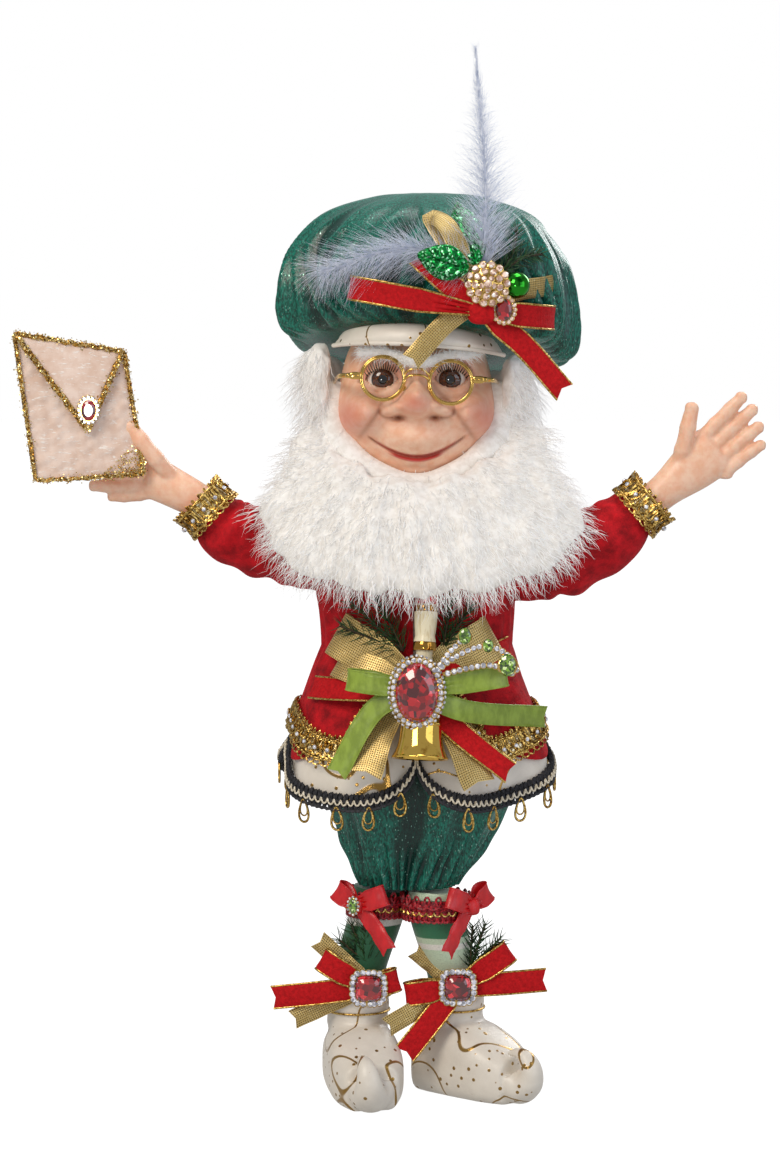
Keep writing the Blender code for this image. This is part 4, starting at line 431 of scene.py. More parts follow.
def make_piece(
    name: str, surfaces: Sequence[Surface], materials: Sequence[bpy.types.Material],
    sharp: float | None = 50.0,
    weld: bool = True,
) -> bpy.types.Object:
    """One object from surfaces, at the origin, in the frame's metres.

    Args:
        name: its name.
        surfaces: what it is made of.
        materials: its material slots, in the order the surfaces number them.
        sharp: edges steeper than this many degrees stay sharp, and None leaves every face flat.
        weld: whether doubled points are merged and the faces turned outwards, which fibres don't need.

    Returns:
        the object, linked to the scene.
    """
    mesh = bpy.data.meshes.new(name)
    offsets = np.cumsum([0, *[len(s.points) for s in surfaces[:-1]]])
    points = metres(np.concatenate([s.points for s in surfaces]))
    quads = np.concatenate([s.quads + o for s, o in zip(surfaces, offsets)])
    triangles = np.concatenate([s.triangles + o for s, o in zip(surfaces, offsets)])
    corners = np.concatenate([quads.ravel(), triangles.ravel()])
    starts = np.concatenate([np.arange(len(quads)) * 4, len(quads) * 4 + np.arange(len(triangles)) * 3])
    slots = np.concatenate([np.full(len(s.quads), s.slot) for s in surfaces]
                           + [np.full(len(s.triangles), s.slot) for s in surfaces])
    mesh.vertices.add(len(points))
    mesh.vertices.foreach_set("co", points.ravel())
    mesh.loops.add(len(corners))
    mesh.loops.foreach_set("vertex_index", corners.astype(np.int32))
    mesh.polygons.add(len(starts))
    mesh.polygons.foreach_set("loop_start", starts.astype(np.int32))
    mesh.polygons.foreach_set("material_index", slots.astype(np.int32))
    uv = np.concatenate([np.concatenate([s.quad_uv for s in surfaces]).reshape(-1, 2),
                         np.zeros((triangles.size, 2))])
    mesh.uv_layers.new(name="UVMap").data.foreach_set("uv", uv.ravel())
    if any(s.paint is not None for s in surfaces):
        shares = [np.zeros((len(s.points), 4)) if s.paint is None else s.paint for s in surfaces]
        layer = mesh.attributes.new("paint", "FLOAT_COLOR", "POINT")
        layer.data.foreach_set("color", np.concatenate(shares).ravel())
    for look in materials:
        mesh.materials.append(look)
    mesh.update(calc_edges=True)
    if weld:
        merge_points(mesh)
    if sharp is not None:
        mesh.shade_smooth()
        if weld:
            mesh.set_sharp_from_angle(angle=math.radians(sharp))
    made = bpy.data.objects.new(name, mesh)
    bpy.context.scene.collection.objects.link(made)
    LOG.info("%s: %d faces", name, len(mesh.polygons))
    return made


def merge_points(mesh: bpy.types.Mesh) -> None:
    """Joins a mesh's doubled points and turns its faces outwards.

    Args:
        mesh: the mesh, which is changed.
    """
    work = bmesh.new()
    work.from_mesh(mesh)
    bmesh.ops.remove_doubles(work, verts=work.verts, dist=WELD_METRES)
    bmesh.ops.recalc_face_normals(work, faces=work.faces)
    work.to_mesh(mesh)
    work.free()


def fused(made: bpy.types.Object, voxel: float, passes: int) -> bpy.types.Object:
    """Melts a piece's overlapping surfaces into one skin.

    Args:
        made: the piece.
        voxel: the size of the remesh's cells, in millimetres.
        passes: how many times the skin is smoothed.

    Returns:
        the same object, with its modifiers applied.
    """
    remesh = made.modifiers.new("skin", "REMESH")
    remesh.mode = "VOXEL"
    remesh.voxel_size = voxel * MM
    remesh.use_smooth_shade = True
    smooth = made.modifiers.new("soften", "SMOOTH")
    smooth.factor = 0.5
    smooth.iterations = passes
    bpy.context.view_layer.update()
    graph = bpy.context.evaluated_depsgraph_get()
    result = bpy.data.meshes.new_from_object(made.evaluated_get(graph))
    made.modifiers.clear()
    made.data = result
    return made


# Materials


def linear(colour: str) -> tuple[float, float, float, float]:
    """An sRGB hex colour as the linear values that a shader mixes."""
    shares = [int(colour[i:i + 2], 16) / 255 for i in (1, 3, 5)]
    return (*[s / 12.92 if s <= 0.04045 else ((s + 0.055) / 1.055) ** 2.4 for s in shares], 1.0)


def add_node(tree: bpy.types.NodeTree, kind: str, inputs: dict | None = None,
             **settings: object) -> bpy.types.Node:
    """Adds a node to a tree.

    Args:
        tree: the tree.
        kind: the node's type.
        inputs: constants or other nodes' outputs for its inputs, by name or number.
        settings: the node's own settings.

    Returns:
        the node.
    """
    node = tree.nodes.new(kind)
    for key, value in settings.items():
        setattr(node, key, value)
    for key, value in (inputs or {}).items():
        if isinstance(value, bpy.types.NodeSocket):
            tree.links.new(value, node.inputs[key])
        else:
            node.inputs[key].default_value = value
    return node


class Space(Enum):
    """Where a pattern is drawn: in the object's own metres, or along the cloth in millimetres."""

    OBJECT = "Object"
    CLOTH = "UV"


class Recipe:
    """A material being put together: its tree, its Principled shader and short ways to mix colours."""

    def __init__(self, name: str) -> None:
        """Starts a material of that name with an empty Principled shader.

        Args:
            name: the material's name.
        """
        self.made = bpy.data.materials.new(name)
        self.made.use_nodes = True
        self.tree = self.made.node_tree
        self.shader = self.tree.nodes["Principled BSDF"]
        self.where = add_node(self.tree, "ShaderNodeTexCoord")

    def place(self, space: Space = Space.OBJECT,
              stretch: tuple[float, float, float] = (1, 1, 1)) -> bpy.types.NodeSocket:
        """A point to draw patterns at, in millimetres, each axis multiplied by its stretch.

        Args:
            space: the object's own space or the cloth's.
            stretch: above 1, the pattern is finer along that axis.

        Returns:
            the socket of the point.
        """
        scale = 1 / MM if space is Space.OBJECT else 1.0
        return add_node(self.tree, "ShaderNodeMapping", {
            "Vector": self.where.outputs[space.value], "Scale": tuple(s * scale for s in stretch)}).outputs[0]

    def noise(self, size: float, at: bpy.types.NodeSocket | None = None,
              detail: float = 3.0) -> bpy.types.NodeSocket:
        """Noise whose features are size millimetres across."""
        return add_node(self.tree, "ShaderNodeTexNoise", {
            "Vector": at or self.place(), "Scale": 1 / size, "Detail": detail, "Roughness": 0.6}).outputs[0]

    def cells(self, size: float, at: bpy.types.NodeSocket | None = None,
              output: str = "Color") -> bpy.types.NodeSocket:
        """Irregular cells size millimetres across: a random colour each, or the distance to their middles."""
        return add_node(self.tree, "ShaderNodeTexVoronoi",
                        {"Vector": at or self.place(), "Scale": 1 / size}).outputs[output]

    def threshold(self, value: bpy.types.NodeSocket, low: float, high: float) -> bpy.types.NodeSocket:
        """0 below low and 1 above high, and the other way round where low is the higher."""
        return add_node(self.tree, "ShaderNodeMapRange", {
            "Value": value, "From Min": low, "From Max": high}, interpolation_type="SMOOTHSTEP").outputs[0]

    def mix(self, share: bpy.types.NodeSocket | float, first: object, second: object) -> bpy.types.NodeSocket:
        """A colour between first and second, which are hex colours or sockets.

        Args:
            share: how much of the second.
            first: a hex colour or a socket.
            second: a hex colour or a socket.

        Returns:
            the socket of the colour.
        """
        ends = [linear(c) if isinstance(c, str) else c for c in (first, second)]
        return add_node(self.tree, "ShaderNodeMix", {0: share, 6: ends[0], 7: ends[1]},
                        data_type="RGBA").outputs[2]

    def maths(self, operation: str, *values: object) -> bpy.types.NodeSocket:
        """One sum of the Math node."""
        return add_node(self.tree, "ShaderNodeMath", dict(enumerate(values)), operation=operation).outputs[0]

    def bump(self, height: bpy.types.NodeSocket, depth: float,
             before: bpy.types.NodeSocket | None = None) -> bpy.types.NodeSocket:
        """A normal from a height of depth millimetres, on top of an earlier one.

        Args:
            height: the socket of the height, 0 to 1.
            depth: its depth in millimetres.
            before: the socket of a coarser normal.

        Returns:
            the socket of the normal.
        """
        inputs = {"Height": height, "Distance": depth * MM, "Strength": 1.0}
        if before is not None:
            inputs["Normal"] = before
        return add_node(self.tree, "ShaderNodeBump", inputs).outputs[0]

    def finish(self, **values: object) -> bpy.types.Material:
        """Sets the shader's inputs, underscores standing for spaces, and returns the material.

        Args:
            values: constants, hex colours or sockets by input.

        Returns:
            the material.
        """
        for key, value in values.items():
            entry = self.shader.inputs[key.replace("_", " ")]
            if isinstance(value, bpy.types.NodeSocket):
                self.tree.links.new(value, entry)
            else:
                entry.default_value = linear(value) if isinstance(value, str) else value
        return self.made


@dataclass(frozen=True)
class Velvet:
    """Rayon pile on a woven back: dark where one looks down into the pile, bright where it lies over."""

    name: str
    deep: str
    bright: str
    crush_mm: float = 5.0

    def build(self) -> bpy.types.Material:
        """The pile's crushed patches, its nap as fine noise, and a strong sheen at grazing angles."""
        r = Recipe(self.name)
        patches = r.noise(self.crush_mm, detail=4.0)
        nap = r.noise(0.45)
        shade = r.maths("ADD", r.maths("MULTIPLY", patches, 0.75), r.maths("MULTIPLY", nap, 0.25))
        colour = r.mix(r.threshold(shade, 0.22, 0.74), self.deep, self.bright)
        normal = r.bump(nap, 0.12, r.bump(patches, 0.5))
        return r.finish(Base_Color=colour, Roughness=0.78, Normal=normal, Sheen_Weight=0.55,
                        Sheen_Roughness=0.35,
                        Sheen_Tint=self.bright, Specular_IOR_Level=0.25)


@dataclass(frozen=True)
class Satin:
    """Woven polyester satin: a smooth face whose long floats catch the light in bands, over a faint rib."""

    name: str
    deep: str
    bright: str
    roughness: float = 0.33
    rib_mm: float = 0.5

    def build(self) -> bpy.types.Material:
        """Slow bands of painted sheen, and the weave's rib, drawn at half a millimetre so that it shows."""
        r = Recipe(self.name)
        bands = r.noise(3.0, r.place(Space.OBJECT, (1, 1, 0.5)))
        rib = r.noise(self.rib_mm, r.place(Space.CLOTH, (0.25, 2.0, 1.0)))
        # painted sheen: noise bands lighten the colour where the floats would catch the light
        colour = r.mix(r.threshold(bands, 0.35, 0.68), self.deep, self.bright)
        return r.finish(Base_Color=colour, Roughness=self.roughness, Normal=r.bump(rib, 0.06),
                        Sheen_Weight=0.25,
                        Sheen_Tint=self.bright, Anisotropic=0.5, Specular_IOR_Level=0.6)


@dataclass(frozen=True)
class PrintedSatin:
    """Cream satin printed with gold: wandering lines and, between them, small dots."""

    name: str
    cloth: str = "#efe8db"
    shade: str = "#d8cfc2"
    gold: str = "#b8924a"
    line_mm: float = 24.0
    dot_mm: float = 4.2

    def build(self) -> bpy.types.Material:
        """Lines where a slow noise crosses its middle value, and dots at cells' middles, both metallic."""
        r = Recipe(self.name)
        bent = r.noise(self.line_mm, detail=0.0)
        line = r.threshold(r.maths("ABSOLUTE", r.maths("SUBTRACT", bent, 0.5)), 0.016, 0.007)
        middle = r.threshold(r.cells(self.dot_mm, output="Distance"), 0.21, 0.15)
        gilt = r.maths("MAXIMUM", line, middle)
        cloth = r.mix(r.noise(6.0), self.shade, self.cloth)
        colour = r.mix(gilt, cloth, r.mix(r.noise(0.5), "#8a6428", self.gold))
        weave = r.noise(0.35, detail=1.0)
        return r.finish(Base_Color=colour, Metallic=r.maths("MULTIPLY", gilt, 0.75),
                        Roughness=r.mix(gilt, "#a0a0a0", "#707070"),
                        Normal=r.bump(gilt, 0.06, r.bump(weave, 0.05)), Sheen_Weight=0.3,
                        Sheen_Tint=self.cloth)


@dataclass(frozen=True)
class Brocade:
    """Woven polyester with a metallic slub: dark teal threads, with short silver-green flecks along them."""

    name: str
    deep: str = "#05382f"
    bright: str = "#15806b"
    fleck: str = "#a8dccb"

    def build(self) -> bpy.types.Material:
        """Threads as noise drawn out along the cloth, flecks near the middles of stretched cells, and painted
        shade that darkens the folds.
        """
        r = Recipe(self.name)
        threads = r.noise(0.7, r.place(Space.OBJECT, (1, 1, 0.35)), detail=4.0)
        cells = r.cells(0.9, r.place(Space.OBJECT, (1, 1, 0.4)), output="Distance")
        fleck = r.maths("MULTIPLY", r.threshold(cells, 0.24, 0.1), r.threshold(r.noise(2.6), 0.44, 0.62))
        colour = r.mix(r.threshold(threads, 0.34, 0.7), self.deep, self.bright)
        # painted shade: the paint attribute says how deep each point lies in a fold, and the colour darkens
        # there towards #021a16
        folds = add_node(r.tree, "ShaderNodeAttribute", {}, attribute_name="paint").outputs["Fac"]
        colour = r.mix(folds, colour, "#021a16")
        return r.finish(Base_Color=r.mix(fleck, colour, self.fleck), Metallic=r.maths("MULTIPLY", fleck, 0.8),
                        Roughness=r.mix(fleck, "#8c8c8c", "#606060"), Normal=r.bump(threads, 0.18),
                        Sheen_Weight=0.35, Sheen_Tint=self.bright)


@dataclass(frozen=True)
class OpenMesh:
    """Ribbon woven of metallic thread with gaps between: bright crossing threads over shadowed holes."""

    name: str
    thread: str = "#c9ad6b"
    glint: str = "#f3e3b0"
    hole: str = "#6d5830"
    pitch_mm: float = 0.9

    def build(self) -> bpy.types.Material:
        """Two sets of threads as sines along U and V, drawn at 0.9 mm, three times their real pitch, with
        painted shadow in the holes and painted glints on the threads.
        """
        r = Recipe(self.name)
        parts = add_node(r.tree, "ShaderNodeSeparateXYZ", {0: r.place(Space.CLOTH)}).outputs
        turns = [r.maths("SINE", r.maths("MULTIPLY", p, TAU / self.pitch_mm)) for p in (parts[0], parts[1])]
        over = r.threshold(r.maths("MAXIMUM", *turns), -0.4, 0.5)
        # painted glints: bright noise spots on the threads
        glitter = r.threshold(r.noise(0.5), 0.55, 0.7)
        colour = r.mix(over, self.hole, r.mix(glitter, self.thread, self.glint))
        return r.finish(Base_Color=colour, Metallic=0.55, Roughness=0.38, Normal=r.bump(over, 0.12))


@dataclass(frozen=True)
class MetalThread:
    """Metallised polyester thread or plated wire: gold with brighter and browner turns."""

    name: str
    deep: str = "#8a5f1f"
    bright: str = "#e9c774"
    roughness: float = 0.3
    twist_mm: float = 0.8
    metallic: float = 1.0

    def build(self) -> bpy.types.Material:
        """The twist as stretched noise in the colour and in the bump."""
        r = Recipe(self.name)
        twist = r.noise(self.twist_mm, detail=2.0)
        colour = r.mix(r.threshold(twist, 0.35, 0.65), self.deep, self.bright)
        return r.finish(Base_Color=colour, Metallic=self.metallic, Roughness=self.roughness,
                        Normal=r.bump(twist, 0.08))


@dataclass(frozen=True)
class Plate:
    """Polished and lacquered metal, such as the bell's brass or the spectacles' gilt wire."""

    name: str
    colour: str = "#e8c062"
    stain: str = "#b98a35"
    roughness: float = 0.16

    def build(self) -> bpy.types.Material:
        """Faint stains and a slightly uneven polish."""
        r = Recipe(self.name)
        stains = r.noise(4.0)
        return r.finish(Base_Color=r.mix(r.threshold(stains, 0.5, 0.75), self.colour, self.stain),
                        Metallic=1.0,
                        Roughness=r.mix(stains, "#303030", "#585858"), Normal=r.bump(r.noise(1.5), 0.02))


@dataclass(frozen=True)
class CutStone:
    """Foiled glass or acrylic: painted dark and bright facets, for the reflections in the foil, behind a
    clear, glossy face.
    """

    name: str
    deep: str
    bright: str
    glint: str
    facet_mm: float = 1.6

    def build(self) -> bpy.types.Material:
        """Each inner facet is a cell with its own painted brightness, a few of them with a painted glint,
        under a clear coat, and all of them glow faintly.
        """
        r = Recipe(self.name)
        # painted reflections: each facet's brightness and the glints are painted into the colour, which also
        # glows faintly
        shade = add_node(r.tree, "ShaderNodeSeparateColor", {0: r.cells(self.facet_mm)}).outputs[0]
        colour = r.mix(r.threshold(shade, 0.15, 0.85), self.deep, self.bright)
        painted_glint = r.threshold(shade, 0.86, 0.93)
        return r.finish(Base_Color=r.mix(painted_glint, colour, self.glint), Roughness=0.08, IOR=1.55,
                        Coat_Weight=1.0,
                        Coat_Roughness=0.03, Specular_IOR_Level=0.8,
                        Emission_Color=r.mix(painted_glint, colour, self.glint),
                        Emission_Strength=0.05)


@dataclass(frozen=True)
class Fibre:
    """Combed fibre, such as mohair, marabou or moulded pine needles, each one a shade of its own."""

    name: str
    deep: str
    bright: str
    roughness: float = 0.6
    glow: float = 0.0
    patch_mm: float = 2.0

    def build(self) -> bpy.types.Material:
        """Shades that change from lock to lock, and a faint painted glow all over that stands in for light
        through the thin ends.
        """
        r = Recipe(self.name)
        colour = r.mix(r.threshold(r.noise(self.patch_mm), 0.36, 0.62), self.deep, self.bright)
        # painted glow: emission, though the fibre is no lamp
        return r.finish(Base_Color=colour, Roughness=self.roughness, Sheen_Weight=0.3, Sheen_Tint=self.bright,
                        Emission_Color=colour, Emission_Strength=self.glow)


@dataclass(frozen=True)
class Glitter:
    """Flakes of metallised film glued on: each lies at its own angle, so some catch the light and some are
    dark, and this is painted into their colour.
    """

    name: str
    deep: str
    bright: str
    painted_glint: str
    flake_mm: float = 0.55

    def build(self) -> bpy.types.Material:
        """Cells with a painted brightness each and a painted glint on a few, whose tilt is the bump of the
        same cells.
        """
        r = Recipe(self.name)
        cell = add_node(r.tree, "ShaderNodeSeparateColor", {0: r.cells(self.flake_mm)}).outputs
        colour = r.mix(r.threshold(cell[0], 0.2, 0.8), self.deep, self.bright)
        # painted reflections: each flake's brightness, and a glint on a few
        return r.finish(Base_Color=r.mix(r.threshold(cell[1], 0.8, 0.9), colour, self.painted_glint), Metallic=0.75,
                        Roughness=0.3, Normal=r.bump(cell[2], 0.25))


@dataclass(frozen=True)
class PaintedResin:
    """Cast resin painted by hand: peach skin, a pink blush, brown painted shade in the creases, and red lips.
    """

    name: str
    skin: str = "#efb795"
    pale: str = "#f7ceb2"
    blush: str = "#d4644f"
    crease_shade: str = "#9a5a3c"
    lip: str = "#b5332c"

    def build(self) -> bpy.types.Material:
        """The painted shares say where each colour lies, over skin mottled by a noise."""
        r = Recipe(self.name)
        paint = add_node(r.tree, "ShaderNodeAttribute", attribute_name="paint").outputs["Color"]
        share = add_node(r.tree, "ShaderNodeSeparateColor", {0: paint}).outputs
        mottle = r.noise(4.0)
        skin = r.mix(r.threshold(mottle, 0.3, 0.7), self.skin, self.pale)
        colour = r.mix(r.maths("MULTIPLY", share[0], 0.72), skin, self.blush)
        # painted shade: brown darkening in the creases, the nostrils and the mouth line
        colour = r.mix(r.maths("MULTIPLY", share[1], 0.8), colour, self.crease_shade)
        colour = r.mix(share[2], colour, self.lip)
        return r.finish(Base_Color=colour, Roughness=0.42, Subsurface_Weight=0.12, Subsurface_Scale=0.002,
                        Specular_IOR_Level=0.45, Normal=r.bump(r.noise(0.6), 0.02), Coat_Weight=0.12,
                        Coat_Roughness=0.3)


@dataclass(frozen=True)
class GlassEye:
    """A glass doll's eye: white, a brown iris with lighter rays, and a black pupil under clear glass."""

    name: str

    def build(self) -> bpy.types.Material:
        """The painted shares give the iris, the pupil and the iris's dark rim."""
        r = Recipe(self.name)
        paint = add_node(r.tree, "ShaderNodeAttribute", attribute_name="paint").outputs["Color"]
        share = add_node(r.tree, "ShaderNodeSeparateColor", {0: paint}).outputs
        iris = r.mix(r.threshold(r.noise(0.7), 0.35, 0.7), "#2a1008", "#6b3a1c")
        colour = r.mix(share[0], "#e9e2da", iris)
        colour = r.mix(share[2], colour, "#120806")
        colour = r.mix(share[1], colour, "#050303")
        return r.finish(Base_Color=colour, Roughness=0.05, Coat_Weight=1.0, Coat_Roughness=0.02, IOR=1.5)


@dataclass(frozen=True)
class HandmadeCard:
    """Mulberry paper on card: pinkish cream, clouded, with pale fibres pressed in."""

    name: str
    deep: str = "#dcbda9"
    bright: str = "#efd9cb"

    def build(self) -> bpy.types.Material:
        """Clouds a few millimetres across, and fibres where a stretched noise peaks."""
        r = Recipe(self.name)
        clouds = r.noise(7.0, detail=6.0)
        fibres = r.threshold(r.noise(1.2, r.place(Space.OBJECT, (0.3, 1, 1.3))), 0.56, 0.68)
        colour = r.mix(r.threshold(clouds, 0.3, 0.7), self.deep, self.bright)
        return r.finish(Base_Color=r.mix(fibres, colour, "#f6ebe2"), Roughness=0.75,
                        Normal=r.bump(fibres, 0.08, r.bump(clouds, 0.15)), Sheen_Weight=0.2)


@dataclass(frozen=True)
class Knit:
    """Fine stocking knit in level stripes, each a height range on the leg."""

    name: str
    ground: str
    stripes: tuple[tuple[float, float, str], ...]

    def build(self) -> bpy.types.Material:
        """Each stripe covers the heights between its two limits, its edge waved a little by the stitches."""
        r = Recipe(self.name)
        height = add_node(r.tree, "ShaderNodeSeparateXYZ", {0: r.place()}).outputs[2]
        waved = r.maths("ADD", height, r.maths("MULTIPLY", r.noise(1.0), 0.5))
        colour: object = self.ground
        for low, high, stripe in self.stripes:
            inside = r.maths("MULTIPLY", r.threshold(waved, low - 0.2, low + 0.2),
                             r.threshold(waved, high + 0.2, high - 0.2))
            colour = r.mix(inside, colour, stripe)
        stitches = r.noise(0.5, r.place(Space.OBJECT, (1, 1, 1.6)))
        shaded = r.mix(r.threshold(stitches, 0.2, 0.6), r.mix(0.35, colour, "#203020"), colour)
        return r.finish(Base_Color=shaded, Roughness=0.55, Normal=r.bump(stitches, 0.12), Sheen_Weight=0.3)


@dataclass(frozen=True)
class PaintedWood:
    """Turned wood under cream paint, whose grain still shows a little."""

    name: str
    paint: str = "#eee4c4"
    grain: str = "#d9c79c"

    def build(self) -> bpy.types.Material:
        """Grain as noise drawn out along the handle."""
        r = Recipe(self.name)
        grain = r.noise(1.1, r.place(Space.OBJECT, (1, 1, 0.15)))
        return r.finish(Base_Color=r.mix(r.threshold(grain, 0.45, 0.7), self.paint, self.grain),
                        Roughness=0.4,
                        Normal=r.bump(grain, 0.05), Coat_Weight=0.2)


FINISHES = {
    "skin": PaintedResin("painted resin"),
    "eye": GlassEye("doll's eye glass"),
    "lash": Fibre("black lash bristle", "#080605", "#15100e", 0.35),
    "gilt": Plate("gilt wire", "#dcb768", "#b08a42", 0.2),
    "brass": Plate("polished brass", "#ecc25e", "#b07f2c", 0.14),
    "mohair": Fibre("white mohair", "#f1eeea", "#ffffff", 0.6, 0.1),
    "hair_pad": Fibre("mohair wadding", "#e6e2dc", "#f4f2ee", 0.9, 0.06, 3.0),
    "down": Fibre("white marabou down", "#bcc6dc", "#e9edf8", 0.7, 0.05),
    "brocade": Brocade("metallic brocade"),
    "cream": PrintedSatin("gold printed satin"),
    "velvet": Velvet("crushed rayon velvet", "#6d0009", "#d3121f"),
    "ribbon": Velvet("velvet ribbon", "#9c0008", "#cf1018", 1.4),
    "red_satin": Satin("red satin ribbon", "#c01019", "#d6181f"),
    "green_satin": Satin("olive satin ribbon", "#7c922a", "#94ac3c"),
    "mesh": OpenMesh("gold mesh ribbon"),
    "leaf": Glitter("green leaf glitter", "#034a1e", "#0f9a44", "#a9f5c4", 0.7),
    "needle": Fibre("moulded pine needle", "#0d2410", "#2f5a2a", 0.5),
    "stem": Fibre("wrapped wire stem", "#2a2010", "#4a3a1e", 0.7),
    "stone": CutStone("clear foiled glass", "#8d8f9a", "#f2f4ff", "#ffffff", 0.9),
    "blush_stone": CutStone("peach foiled glass", "#a77a62", "#ffe3cf", "#ffffff", 0.9),
    "ruby": CutStone("red foiled glass", "#4a0006", "#b80a18", "#f03a44", 2.2),
    "olive": CutStone("green foiled glass", "#1d3a08", "#7fae2c", "#e6ffb0", 0.9),
    "bauble": Plate("mirror green glass", "#2f9a2a", "#0a4a10", 0.08),
    "gold_cloth": Glitter("gold glitter cloth", "#9a7d49", "#d4bd86", "#fff3cf", 0.6),
    "thread": MetalThread("gold lace thread"),
    "flake": Plate("gold glitter flake", "#f0cf84", "#a9762c", 0.28),
    "band": Plate("gilt band paint", "#b98a3e", "#7a5420", 0.35),
    "enamel": Plate("red enamel", "#c8323a", "#8c1520", 0.18),
    "glitter": Glitter("bronze glitter", "#5a3a10", "#c3913a", "#fff0b8", 0.6),
    "black": MetalThread("black gimp braid", "#07070a", "#26262e", 0.65, 0.9, 0.0),
    "cream_cord": MetalThread("cream cord", "#b8ab90", "#efe6d2", 0.6, 0.6, 0.0),
    "red_cord": MetalThread("red gimp", "#5c0410", "#c01426", 0.5, 0.7, 0.0),
    "card": HandmadeCard("handmade mulberry card"),
    "wood": PaintedWood("painted turned wood"),
    "muslin": Fibre("stuffed muslin", "#b9afa2", "#ddd5c8", 0.9),
    "knit_left": Knit("pale green stocking", "#cfe3c4",
                      ((66, 82, "#2c7a52"), (44, 50, "#247a4c"), (61, 63.5, "#f3f1e6"))),
    "knit_right": Knit("dark green stocking", "#155c38", ((70, 74.5, "#e8e6dc"), (48, 51, "#e8e6dc"))),
}


class Wardrobe:
    """The materials, each made the first time that a piece asks for it."""

    def __init__(self) -> None:
        """Starts with no material made."""
        self.made: dict[str, bpy.types.Material] = {}

    def __call__(self, name: str) -> bpy.types.Material:
        """The material of that name in FINISHES.

        Args:
            name: a key of FINISHES.

        Returns:
            the material.
        """
        if name not in self.made:
            self.made[name] = FINISHES[name].build()
        return self.made[name]


@dataclass
class Assembly:
    """What each group of pieces shares: the materials, its random numbers, and how a piece is handed over."""

    looks: Wardrobe

    def __post_init__(self) -> None:
        """Seeds the group's own random numbers."""
        self.random = np.random.default_rng(SEED)

    def hand_over(self, made: bpy.types.Object, node: str, slot: str) -> bpy.types.Object:
        """Ties a piece to the CAD body and hides the CAD node that it stands for.

        Args:
            made: the piece.
            node: the CAD node that it stands for.
            slot: not used.

        Returns:
            the same object.
        """
        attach(made, "root")
        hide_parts(node)
        return made

    def piece(
        self, name: str, surfaces: Sequence[Surface], looks: Sequence[str], slot: str,
        sharp: float | None = 50.0,
        weld: bool = True, node: str | None = None,
    ) -> bpy.types.Object:
        """Makes a piece and hands it over.

        Args:
            name: the piece's name.
            surfaces: what it is made of.
            looks: the names of its finishes, by slot number.
            slot: the record's material slot.
            sharp: see make_piece.
            weld: see make_piece.
            node: the CAD node that it stands for, the one of its own name when left out.

        Returns:
            the object.
        """
        made = make_piece("elf_" + name, surfaces, [self.looks(look) for look in looks], sharp, weld)
        return self.hand_over(made, node or name, slot)


# Head


def knob(x: Points, z: Points, at: tuple[float, float], spread: tuple[float, float], height: float) -> Points:
    """A steep round rise: height times e to the minus fourth power of the distance, measured in spreads."""
    return height * np.exp(-((((x - at[0]) / spread[0]) ** 2 + ((z - at[1]) / spread[1]) ** 2) ** 2))


